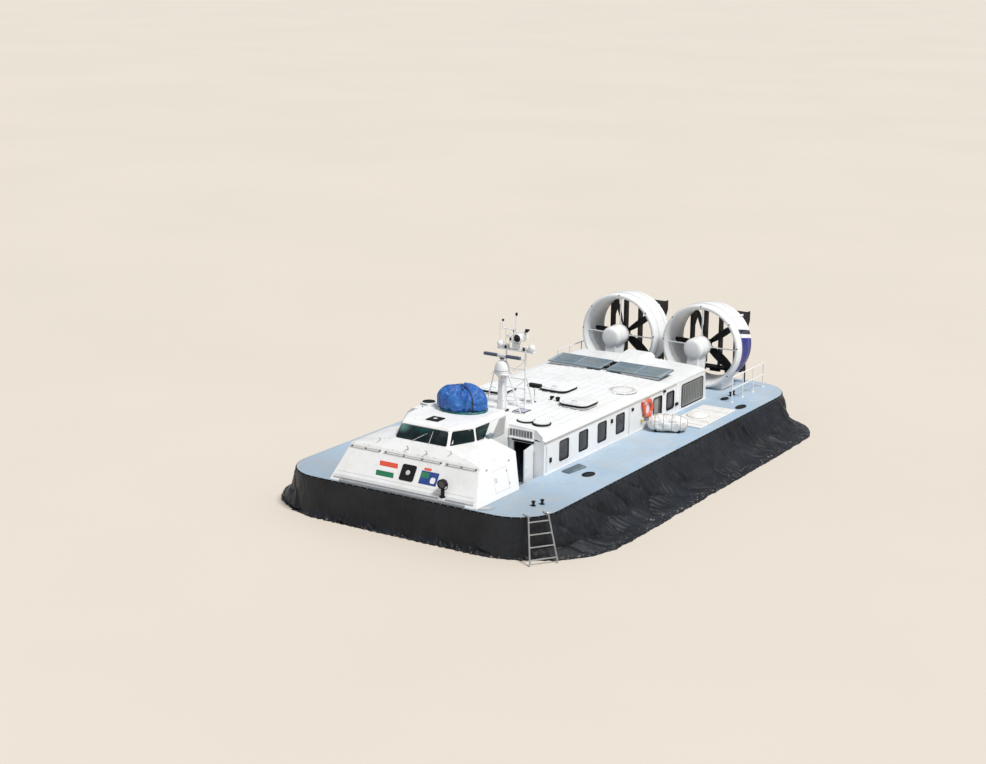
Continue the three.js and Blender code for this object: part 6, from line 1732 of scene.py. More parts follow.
class HOVERCRAFT_OT_casing(bpy.types.Operator):
    """Engine casing, its wire-mesh grilles, air intake panels, coolers and engines"""

    bl_idname = "hovercraft.casing"
    bl_label = "Engine casing and intakes"

    def execute(self, context):
        pitch = context.scene.hovercraft_fittings.mesh_pitch
        for name in ("casing_wall_port", "casing_wall_starboard", "casing_top"):
            refined(name, finish("White paint"), 0.006)
        refined("casing_rear_wall", finish("Casing grey"), 0.008)
        for name, side in SIDES:
            refined(f"engine_grille_{name}", finish("Grille wire"), 0.004)
            low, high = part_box(f"engine_grille_{name}")
            y = side * (abs(high.y if side > 0 else low.y) - 0.004)
            wires = []
            count = int((high.x - low.x - 0.12) / pitch)
            for i in range(count + 1):
                x = low.x + 0.06 + (high.x - low.x - 0.12) * i / count
                wires.append(rod((x, y, low.z + 0.05), (x, y, high.z - 0.05), 0.0045, 6, 0))
            count = int((high.z - low.z - 0.12) / pitch)
            for i in range(count + 1):
                z = low.z + 0.06 + (high.z - low.z - 0.12) * i / count
                wires.append(rod((low.x + 0.05, y + side * 0.006, z), (high.x - 0.05, y + side * 0.006, z), 0.0045, 6, 0))
            placed(joined(wires), f"grille_mesh_{name}", finish("Grille wire"))
            middle, half = (low + high) / 2, (high - low) / 2
            border = [Vector((middle.x + a, side * (WALL_Y + 0.002), middle.z + b))
                      for a, b in outline(half.x + 0.012, half.z + 0.012, 0.08, 6)]
            placed(bead(border, 0.022), f"grille_frame_{name}", finish("Black paint"))

            # Intake panel with raised rims and an inset middle.
            refined(f"intake_panel_{name}", finish("Intake paint"), 0.006)
            y0, y1 = sorted((side * 0.16, side * 2.45))
            rise = lambda x: 2.878 + (x + 3.12) / -1.11 * 0.09
            ledges = []
            for x in (-3.155, -3.6, -4.19):
                ledges.append(block((x - 0.022, y0, rise(x) - 0.01), (x + 0.022, y1, rise(x) + 0.014), 0.005))
            for y_edge in (y0, (y0 + y1) / 2, y1):
                ledges.append(hull_of([(x, y_edge + s * 0.02, rise(x) + z) for x in (-3.135, -4.215) for s in (-1, 1)
                                       for z in (-0.01, 0.013)], 0.004))
            placed(joined(ledges), f"intake_rims_{name}", finish("Intake rim"))
            wedge = hull_of([(x, side * y, z) for x, y, z in ((-3.13, 2.44, 2.84), (-4.2, 2.44, 2.92), (-3.13, 2.47, 2.886),
                             (-4.2, 2.47, 2.974), (-3.13, 2.3, 2.886), (-4.2, 2.36, 2.974))], 0.006)
            placed(wedge, f"intake_wedge_{name}", finish("Intake rim"))
            vents = []
            for i in range(14):
                x = -3.2 - 0.066 * i
                vents.append(block((x - 0.006, side * 1.24 - 0.9, rise(x) - 0.004), (x + 0.006, side * 1.24 + 0.9, rise(x) + 0.003),
                                   0.0015, 1))
            placed(joined(vents), f"intake_joints_{name}", finish("Intake paint"))
            riser = sorted((side * 0.75, side * 2.4))
            placed(block((-3.2, riser[0], 2.76), (-3.16, riser[1], 2.862), 0.006), f"intake_riser_{name}",
                   finish("Pale grey paint"))

            # Engine: block with a head, cover ribs and a manifold.
            refined(f"engine_{name}", finish("Engine iron"), 0.03)
            low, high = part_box(f"engine_{name}")
            parts = [rod((low.x + 0.1, low.y + 0.2, high.z - 0.06), (high.x - 0.1, low.y + 0.2, high.z - 0.06), 0.09, 20),
                     rod((low.x + 0.1, high.y - 0.2, high.z - 0.06), (high.x - 0.1, high.y - 0.2, high.z - 0.06), 0.09, 20)]
            for i in range(9):
                x = low.x + 0.12 + (high.x - low.x - 0.24) * i / 8
                parts.append(block((x - 0.02, low.y - 0.02, low.z + 0.3), (x + 0.02, high.y + 0.02, high.z - 0.12), 0.008))
            placed(joined(parts), f"engine_ribs_{name}", finish("Engine iron"))

            # Cooler fins and pipes on the after face of the casing.
            fins = []
            for i in range(12):
                z = 2.1 + i * 0.038
                y0, y1 = sorted((side * 0.24, side * 0.86))
                fins.append(block((-6.785, y0, z - 0.006), (-6.765, y1, z + 0.006), 0.002, 1))
            fins.append(pipe([(-6.5, side * 0.9, 2.4), (-6.5, side * 1.15, 2.4), (-6.4, side * 1.25, 2.1), (-6.33, side * 1.25, 1.8)],
                             0.05, 3))
            placed(joined(fins), f"cooler_fins_{name}", finish("Black paint"))
            exhaust = body_of_turns([(-6.33, 0.0), (-6.33, 0.11), (-6.37, 0.115), (-6.62, 0.11), (-6.63, 0.1), (-6.42, 0.095),
                                     (-6.42, 0.0)], side * 2.15, 2.25, 32)
            placed(exhaust, f"exhaust_{name}", finish("Engine iron"))

        # Joints and small hatches on the casing sides, and lifting eyes on its top.
        lines, eyes = [], []
        for _, side in SIDES:
            y = side * (WALL_Y + 0.001)
            lines.append(seam([(-6.15, y, 1.5), (-4.02, y, 1.5), (-4.02, y, 2.48), (-6.15, y, 2.48), (-6.15, y, 1.5)], 0.009))
            lines.append(seam([(-3.7, y, 1.45), (-3.7, y, 2.57)], 0.009))
            for x in (-4.6, -5.6):
                base = Vector((x, side * 1.9, 2.74))
                eyes.append(pipe([base - Vector((0.05, 0, 0.03)), base + Vector((-0.05, 0, 0.05)),
                                  base + Vector((0.05, 0, 0.05)), base + Vector((0.05, 0, -0.03))], 0.012))
        placed(joined(lines), "casing_joints", finish("Grey paint"))
        placed(joined(eyes), "casing_eyes", finish("White paint"))
        bits = [block((-3.5, -0.09, 2.85), (-3.3, 0.09, 2.93), 0.012), block((-4.2, -0.11, 2.84), (-4.0, 0.11, 2.95), 0.012),
                rod((-3.75, 0, 2.8), (-3.75, 0, 2.96), 0.04, 16), rod((-3.75, 0, 2.93), (-3.75, 0, 2.975), 0.065, 18)]
        placed(joined(bits), "intake_fittings", finish("Black paint"))
        return {"FINISHED"}



class HOVERCRAFT_OT_ducts(bpy.types.Operator):
    """Ducts with their feet and struts, the nacelles with pylons and stays, and the propellers"""

    bl_idname = "hovercraft.ducts"
    bl_label = "Ducts, nacelles and propellers"

    section = ((0.0, 1.46), (0.675, 1.41), (1.08, 1.425), (1.32, 1.475), (1.455, 1.54), (1.5, 1.6), (1.4775, 1.665),
               (1.38, 1.695), (1.2, 1.7), (0.6, 1.668), (0.0, 1.578))  # distance ahead of the exit, radius

    def execute(self, context):
        blades = context.scene.hovercraft_fittings.blades
        exit_x = -9.15
        for name, side in SIDES:
            y = side * DUCT_Y
            smooth = [(p.x, p.y) for p in eased([(a, b, 0) for a, b in self.section], 4)]
            ring = spun([(exit_x + a, y, HUB_Z + min(b, 1.6995)) for a, b in smooth], (0, y, HUB_Z), (1, 0, 0), 144,
                        closed=True)
            smoothed(ring, 40)
            foot = [(-0.95, DECK_Z + 0.0003), (0.95, DECK_Z + 0.0003), (0.95, 1.775)]
            for i in range(13):
                across = 0.6187 * (1 - i / 6)
                foot.append((across, HUB_Z - math.sqrt(1.485 ** 2 - across ** 2)))
            foot.append((-0.95, 1.775))
            base = extruded([(-9.0, y + a, b) for a, b in foot], (1.1, 0, 0), 0.0)
            rounded(base, 0.02, 3, 50)
            strut_y = side * 3.01
            strut = hull_of([(x, strut_y + s * 0.028, z) for x, z in ((-8.07, 4.3), (-8.17, 4.4), (-9.149, 4.34), (-9.149, 4.255))
                             for s in (-1, 1)], 0.008)
            whole = joined([ring, base, strut])
            placed(whole, f"duct_{name}_finish", finish("Duct paint"), stands_for=(f"duct_{name}",))
            rings = []
            for x, radius in ((-8.08, 1.7005), (-8.02, 1.7005), (-8.75, 1.653), (-8.3, 1.4125), (-8.9, 1.449)):
                rings.append(bead([(x, y + radius * math.cos(a / 48 * math.pi), HUB_Z + radius * math.sin(a / 48 * math.pi))
                                   for a in range(96)], 0.004))
            for i in range(8):
                a = 2 * math.pi * (i + 0.5) / 8
                rings.append(seam([(-8.02, y + 1.7 * math.cos(a), HUB_Z + 1.7 * math.sin(a)),
                                   (-8.5, y + 1.678 * math.cos(a), HUB_Z + 1.678 * math.sin(a)),
                                   (-9.14, y + 1.581 * math.cos(a), HUB_Z + 1.581 * math.sin(a))], 0.006))
            placed(joined(rings), f"duct_joints_{name}", finish("Grey paint"))
            dots = []
            dot = spun([(0.0, 0, 0.009), (0.03, 0, 0.008), (0.036, 0, 0.002), (0.036, 0, -0.012)], (0, 0, 0), (0, 0, 1), 18)
            for degrees in (176, 140, 90, 40, 4, 220, 320):
                a = math.radians(degrees)
                out = Vector((0.94, math.cos(a) * 0.34, math.sin(a) * 0.34)).normalized()
                twin = copied(dot)
                twin.data.transform(Matrix.Translation((exit_x + 1.488, y + 1.635 * math.cos(a), HUB_Z + 1.635 * math.sin(a)))
                                    @ out.to_track_quat("Z", "Y").to_matrix().to_4x4())
                dots.append(twin)
            bpy.data.objects.remove(dot)
            brackets = []
            for first, last, top in ((-0.75, -0.45, 2.0), (-0.25, 0.2, 1.93), (0.42, 0.7, 2.02)):
                brackets.append(block((-9.32, y + first, 1.79), (-9.19, y + last, top), 0.012))
            for degrees in (30, 150, 210, 330):
                a = math.radians(degrees)
                spot = Vector((exit_x + 0.05, y + 1.535 * math.cos(a), HUB_Z + 1.535 * math.sin(a)))
                brackets.append(block(spot - Vector((0.05, 0.03, 0.03)), spot + Vector((0.05, 0.03, 0.03)), 0.008))
            placed(smoothed(joined(dots + brackets)), f"duct_fittings_{name}", finish("Black paint"))
            bolts = []
            for s in (-1, 1):
                flange = block((-9.03, y + s * 0.955 - 0.06, DECK_Z + 0.001), (-7.87, y + s * 0.955 + 0.06, DECK_Z + 0.016), 0.005)
                bolts.append(flange)
                for i in range(9):
                    bolts.append(rod((-8.95 + 0.125 * i, y + s * 0.985, DECK_Z + 0.014), (-8.95 + 0.125 * i, y + s * 0.985,
                                     DECK_Z + 0.03), 0.015, 6))
            placed(joined(bolts), f"duct_flange_{name}", finish("Bare metal"))

            # Nacelle: a blunt barrel, its pylon running down to the casing, and three stays.
            profile = [(0.0, 0.0), (0.3, 0.004), (0.62, 0.012), (0.8, 0.03), (0.92, 0.07), (0.985, 0.13), (1.0, 0.2), (1.0, 0.45),
                       (1.0, 0.7), (0.97, 0.8), (0.9, 0.89), (0.72, 0.965), (0.45, 0.995), (0.0, 1.0)]
            barrel = body_of_turns([(-6.98 - 1.07 * p.y, 0.4245 * p.x) for p in eased([(a, b, 0) for a, b in profile], 3)],
                                   y, HUB_Z, 80)
            pylon = hull_of([(x, y + s * w, z) for x, z, w in ((-7.88, HUB_Z - 0.2, 0.16), (-7.12, HUB_Z - 0.2, 0.16),
                             (-7.9, HUB_Z - 0.22, 0.23), (-7.1, HUB_Z - 0.22, 0.23), (-6.75, DECK_Z + 0.0003, 0.23),
                             (-7.55, DECK_Z + 0.0003, 0.23)) for s in (-1, 1)], 0.05, 4, 20)
            stays = [rod((-7.85, y + dy * 0.4, HUB_Z + dz * 0.4), (-7.85, y + dy * 1.56, HUB_Z + dz * 1.56), 0.026, 16)
                     for dy, dz in ((1, 0), (-1, 0), (0, 1))]
            shoes = []
            for dy, dz in ((1, 0), (-1, 0), (0, 1)):
                shoes.append(rod((-7.85, y + dy * 0.41, HUB_Z + dz * 0.41), (-7.85, y + dy * 0.45, HUB_Z + dz * 0.45), 0.05, 16))
            shaft = rod((-8.03, y, HUB_Z), (-8.1097, y, HUB_Z), 0.07, 24)
            nacelle = joined([barrel, pylon, *stays, *shoes, shaft])
            placed(nacelle, f"nacelle_{name}_finish", finish("White paint"),
                   stands_for=(f"nacelle_{name}",))
            grooves = [bead([(x, y + r * math.cos(a / 24 * math.pi), HUB_Z + r * math.sin(a / 24 * math.pi))
                             for a in range(48)], 0.005) for x, r in ((-7.22, 0.4245), (-7.7, 0.4245))]
            grooves.append(seam([(-7.0, y - 0.231, 2.7), (-6.85, y - 0.231, 2.0), (-7.3, y - 0.231, 2.0), (-7.4, y - 0.231, 2.7),
                                 (-7.0, y - 0.231, 2.7)], 0.008))
            grooves.append(seam([(-7.0, y + 0.231, 2.7), (-6.85, y + 0.231, 2.0), (-7.3, y + 0.231, 2.0),
                                 (-7.4, y + 0.231, 2.7), (-7.0, y + 0.231, 2.7)], 0.008))
            placed(joined(grooves), f"nacelle_joints_{name}", finish("Grey paint"))

            # Propeller: broad twisted blades in a hub with a domed spinner, on its own body.
            propeller = f"propeller_{name}"
            hub = Vector((PROPELLER_X, y, HUB_Z))
            pitch = math.radians(38)

            def wing(u, v):
                turn = 2 * math.pi * u
                part = 0.1 + 0.9 * v
                half = (0.085 + 0.33 * part * (1 - part) + 0.035 * part) * (1 if v < 0.93 else math.sqrt(1 - ((v - 0.93) / 0.075) ** 2))
                thick = 0.024 - 0.015 * part
                c = half * math.cos(turn)
                t = thick * math.sin(turn) * (0.75 + 0.25 * math.cos(turn))
                angle = pitch * (1.5 - 0.8 * part)
                return Vector((c * math.sin(angle) + t * math.cos(angle), c * math.cos(angle) - t * math.sin(angle), part * 1.369))

            blade = mapped_grid(28, 30, wing)
            with editing(blade):
                bpy.ops.mesh.select_all(action="SELECT")
                bpy.ops.mesh.remove_doubles(threshold=0.0002)
                bpy.ops.mesh.select_all(action="DESELECT")
                bpy.ops.mesh.select_non_manifold(extend=False)
                bpy.ops.mesh.fill_holes(sides=0)
                bpy.ops.mesh.select_all(action="SELECT")
                bpy.ops.mesh.normals_make_consistent(inside=False)
            smoothed(blade, 50)
            fan = []
            for i in range(blades):
                twin = copied(blade)
                twin.data.transform(Matrix.Translation(hub) @ Matrix.Rotation(2 * math.pi * i / blades + 0.3, 4, "X"))
                fan.append(twin)
                root = upright_body([(0.0, 0.12), (0.1, 0.12), (0.1, 0.2), (0.085, 0.225), (0.0, 0.23)], 0, 0, 24)
                root.data.transform(Matrix.Translation(hub) @ Matrix.Rotation(2 * math.pi * i / blades + 0.3, 4, "X"))
                fan.append(root)
            bpy.data.objects.remove(blade)
            spinner = body_of_turns([(hub.x + a, b) for a, b in ((0.15, 0.0), (0.15, 0.17), (0.13, 0.19), (-0.12, 0.19),
                                     (-0.19, 0.175), (-0.26, 0.13), (-0.3, 0.07), (-0.315, 0.0))], y, HUB_Z, 48)
            fan.append(spinner)
            placed(joined(fan), f"{propeller}_finish", finish("Black paint"), body=propeller,
                   stands_for=(propeller,))
        return {"FINISHED"}


class HOVERCRAFT_OT_rudders(bpy.types.Operator):
    """Rudder frames and six rudders, each rudder on its own body"""

    bl_idname = "hovercraft.rudders"
    bl_label = "Rudders and their frames"

    def execute(self, context):
        for name, side in SIDES:
            refined(f"rudder_frame_{name}", finish("Rudder paint"), 0.006)
            bits = []
            y = side * DUCT_Y
            for s in (-1, 1):
                outer = y + s * 1.15
                for z in (2.5, 3.1, 3.7):
                    bits.append(block((-9.53, outer - 0.028, z - 0.015), (-9.18, outer + 0.028, z + 0.015), 0.005))
                bits.append(block((-9.8, outer - 0.026, 4.05), (-9.2, outer + 0.026, 4.075), 0.005))
            for i in (-1, 0, 1):
                for z in (1.955, 4.29):
                    bits.append(rod((-9.48, y + i * 0.68, z - 0.012), (-9.48, y + i * 0.68, z + 0.012), 0.06, 20))
            link = rod((-9.2, y - 0.8, 1.9), (-9.2, y + 0.8, 1.9), 0.018, 12)
            placed(joined([*bits, link]), f"rudder_brackets_{name}", finish("Black paint"))
            for i in (1, 2, 3):
                rudder = f"rudder_{name}_{i}"
                low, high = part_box(rudder)
                place_y = y + (i - 2) * 0.68
                shape = eased([(0.09, 0.0), (0.06, 0.016), (0.0, 0.023), (-0.12, 0.021), (-0.26, 0.011), (-0.37, 0.003)], 3)
                edge = [(p.x, p.y) for p in shape] + [(p.x, -p.y) for p in reversed(shape[1:])]
                blade = extruded([(-9.48 + a, place_y + b, low.z + 0.012) for a, b in edge],
                                 (0, 0, high.z - low.z - 0.024), 0.0)
                smoothed(blade, 30)
                pins = rod((-9.48, place_y, low.z), (-9.48, place_y, high.z), 0.016, 16)
                ribs = [block((-9.845, place_y - 0.012, z - 0.012), (-9.62, place_y + 0.012, z + 0.012), 0.003)
                        for z in (2.3, 2.75, 3.2, 3.65, 4.05)]
                placed(joined([blade, pins, *ribs]), f"{rudder}_finish", finish("Rudder paint"), body=rudder,
                       stands_for=(rudder,))
        return {"FINISHED"}


class HOVERCRAFT_OT_masts(bpy.types.Operator):
    """Radar pylon with its turning scanner, and the main mast with domes, camera, horns and lamps"""

    bl_idname = "hovercraft.masts"
    bl_label = "Radar and mast"

    def execute(self, context):
        x, foot = 4.2, 2.8583
        tower = hull_of([(x + a * w, b * w, z) for z, w in ((foot, 0.145), (4.232, 0.1)) for a in (-1, 1) for b in (-1, 1)],
                        0.06, 4)
        table = block((x - 0.26, -0.34, 4.215), (x + 0.26, 0.34, 4.25), 0.012)
        flange = block((x - 0.195, -0.195, foot), (x + 0.195, 0.195, foot + 0.022), 0.006)
        knees = [hull_of([(x + s * (0.1 + a), b, z) for a, z in ((0.0, 4.0), (0.0, 4.216), (0.14, 4.216)) for b in (-0.012, 0.012)])
                 for s in (-1, 1)]
        knees += [hull_of([(x + b, s * (0.1 + a), z) for a, z in ((0.0, 4.0), (0.0, 4.216), (0.2, 4.216)) for b in (-0.012, 0.012)])
                  for s in (-1, 1)]
        bulb = upright_body([(p.x, p.y) for p in eased([(0.0, 4.245, 0), (0.23, 4.245, 0), (0.262, 4.275, 0), (0.27, 4.33, 0),
                             (0.256, 4.45, 0), (0.23, 4.54, 0), (0.19, 4.62, 0), (0.14, 4.662, 0), (0.07, 4.68, 0),
                             (0.055, 4.69, 0), (0.055, 4.7397, 0), (0.0, 4.7397, 0)], 3)], x, 0, 56)
        stays = [rod((x + 0.05, s * 0.3, 4.22), (x - 0.1, s * 0.72, 2.86), 0.022, 12) for s in (-1, 1)]
        placed(joined([tower, table, flange, bulb, *knees, *stays]), "radar_pylon_finish", finish("White paint"),
               stands_for=("radar_pylon",))
        slots = [bead([(x + a, b, foot + 0.03) for a, b in outline(0.19, 0.19, 0.03, 3)], 0.022)]
        slots.append(bead([(x + 0.268 * math.cos(a / 20 * math.pi), 0.268 * math.sin(a / 20 * math.pi), 4.35)
                           for a in range(40)], 0.006))
        placed(joined(slots), "radar_pylon_slots", finish("Black paint"))
        z = 4.83
        scanner = "radar_scanner"
        for label, first, last, paint in (("ends", -0.74, 0.74, "Scanner paint"), ("middle", -0.17, 0.17, "Pale grey paint")):
            wide = 0.0 if label == "ends" else 0.002
            profile = outline(0.069 + wide, 0.054 + wide, 0.032, 5)
            bar = extruded([(x + a, first, z + 0.025 + b) for a, b in profile], (0, last - first, 0), 0.0)
            rounded(bar, 0.012 if label == "ends" else 0.002, 3, 60)
            if label == "ends":
                bar = joined([bar, upright_body([(0.0, z - 0.0897), (0.088, z - 0.0897), (0.09, z - 0.08), (0.09, z - 0.035),
                                                 (0.075, z - 0.02), (0.0, z - 0.018)], x, 0, 32)])
            placed(bar, f"scanner_{label}", finish(paint), body=scanner,
                   stands_for=(scanner,) if label == "ends" else ())

        # Main mast: two posts with rungs, struts and shoes.
        mast_x, half, arm = 3.28, 0.4, 4.845
        parts = []
        for s in (-1, 1):
            parts.append(rod((mast_x, s * half, foot), (mast_x, s * half, arm - 0.0003), 0.034, 18))
            parts.append(rod((2.66, s * half * 0.8, foot + 0.03), (mast_x, s * half, 4.1), 0.026, 14))
            parts.append(block((2.6, s * half * 0.8 - 0.05, foot), (2.72, s * half * 0.8 + 0.05, foot + 0.06), 0.01))
            parts.append(upright_body([(0.0, foot), (0.085, foot), (0.085, foot + 0.016), (0.05, foot + 0.022),
                                       (0.042, foot + 0.09), (0.0, foot + 0.09)], mast_x, s * half, 24))
        for height in (3.15, 3.5, 3.85, 4.2, 4.55):
            parts.append(rod((mast_x, -half, height), (mast_x, half, height), 0.022, 14))
        for a, b in ((3.15, 3.85), (3.85, 4.55)):
            parts.append(rod((mast_x, -half, a), (mast_x, half, b), 0.012, 8))
        placed(joined(parts), "mast_finish", finish("White paint"), stands_for=("mast",))
        head = [block((mast_x - 0.06, -0.76, arm), (mast_x + 0.06, 0.76, 4.915), 0.012),
                block((mast_x - 0.14, -0.26, 5.18), (mast_x + 0.14, 0.26, 5.215), 0.01),
                rod((mast_x, 0, 4.88), (mast_x, 0, 6.25), 0.03, 16), rod((mast_x, -0.56, 5.6), (mast_x, -0.56, 5.95), 0.026, 14)]
        for s in (-1, 1):
            head.append(upright_body([(0.0, 4.912), (0.075, 4.912), (0.085, 4.935), (0.118, 4.965), (0.13, 5.02), (0.127, 5.06),
                                      (0.105, 5.11), (0.07, 5.143), (0.03, 5.157), (0.0, 5.16)], mast_x, s * 0.65, 40))
            head.append(hull_of([(mast_x + a, s * b, z) for a in (-0.015, 0.015) for b, z in ((0.03, 5.18), (0.22, 5.18),
                                                                                               (0.03, 4.915))]))
        head.append(pipe([(mast_x, 0, 5.5), (mast_x, 0.2, 5.53), (mast_x, 0.46, 5.64)], 0.024))
        head.append(pipe([(mast_x, 0, 5.6), (mast_x, -0.3, 5.6), (mast_x, -0.56, 5.62)], 0.022))
        collar = spun([(3.3, 0.175, 5.365 + 0.152), (3.33, 0.175, 5.365 + 0.156), (3.5, 0.175, 5.365 + 0.15),
                       (3.52, 0.175, 5.365 + 0.14), (3.5, 0.175, 5.365 + 0.128), (3.32, 0.175, 5.365 + 0.128)],
                      (0, 0.175, 5.365), (1, 0, 0), 40, closed=True)
        head += [smoothed(collar), block((3.28, 0.1, 5.29), (3.36, 0.25, 5.44), 0.02), block((3.3, 0.03, 5.213), (3.44, 0.32, 5.24), 0.008)]
        for y0, z0, a, b, c in ((-0.42, 4.99, 0.06, 0.09, 0.07), (0.38, 4.99, 0.06, 0.1, 0.07), (0.0, 5.02, 0.07, 0.13, 0.09),
                                (-0.18, 5.3, 0.07, 0.08, 0.085), (-0.34, 5.36, 0.05, 0.05, 0.06), (0.42, 5.42, 0.06, 0.06, 0.09),
                                (-0.05, 5.44, 0.05, 0.06, 0.07)):
            head.append(block((mast_x - a, y0 - b, z0 - c), (mast_x + a, y0 + b, z0 + c), 0.02))
        placed(joined(head), "mast_head_finish", finish("White paint"), stands_for=("mast_head",))
        dark = [body_of_turns([(3.34, 0.0), (3.34, 0.11), (3.44, 0.124), (3.53, 0.118), (3.58, 0.085), (3.603, 0.04), (3.607, 0.0)],
                              0.175, 5.365, 40),
                spun([(3.36, 0.47, 5.65), (3.36, 0.54, 5.65), (3.34, 0.53, 5.65), (3.19, 0.5, 5.65), (3.19, 0.47, 5.65)],
                     (0, 0.47, 5.65), (1, 0, 0), 32)]
        for y0, low, high in ((-0.56, 5.86, 5.95), (0.0, 6.12, 6.25)):
            dark.append(upright_body([(0.0, low), (0.031, low), (0.042, low + 0.02), (0.042, high - 0.03), (0.028, high - 0.004),
                                      (0.0, high)], mast_x, y0, 20))
        for y0, z0 in ((-0.2, 5.26), (0.2, 5.26), (0.36, 4.97), (-0.4, 4.97)):
            dark.append(upright_body([(0.0, z0 - 0.06), (0.035, z0 - 0.06), (0.038, z0 + 0.03), (0.02, z0 + 0.05), (0.0, z0 + 0.052)],
                                     mast_x + 0.07, y0, 18))
        for y0 in (-0.18, -0.06, 0.3):
            dark.append(rod((mast_x - 0.1, y0, 5.213), (mast_x - 0.1, y0, 5.5), 0.011, 10))
            dark.append(rod((mast_x - 0.1, y0, 5.5), (mast_x - 0.1, y0, 5.56), 0.022, 12))
        placed(smoothed(joined(dark)), "mast_instruments", finish("Black paint"))
        whips = []
        for y0, high in ((-0.7, 5.95), (-0.46, 5.7), (0.72, 5.7), (-0.3, 5.45)):
            whips.append(rod((mast_x - 0.03, y0, 4.9), (mast_x - 0.03, y0, high), 0.009, 8))
            whips.append(rod((mast_x - 0.03, y0, 4.9), (mast_x - 0.03, y0, 5.04), 0.019, 12))
        placed(joined(whips), "mast_rods", finish("White paint"))
        return {"FINISHED"}


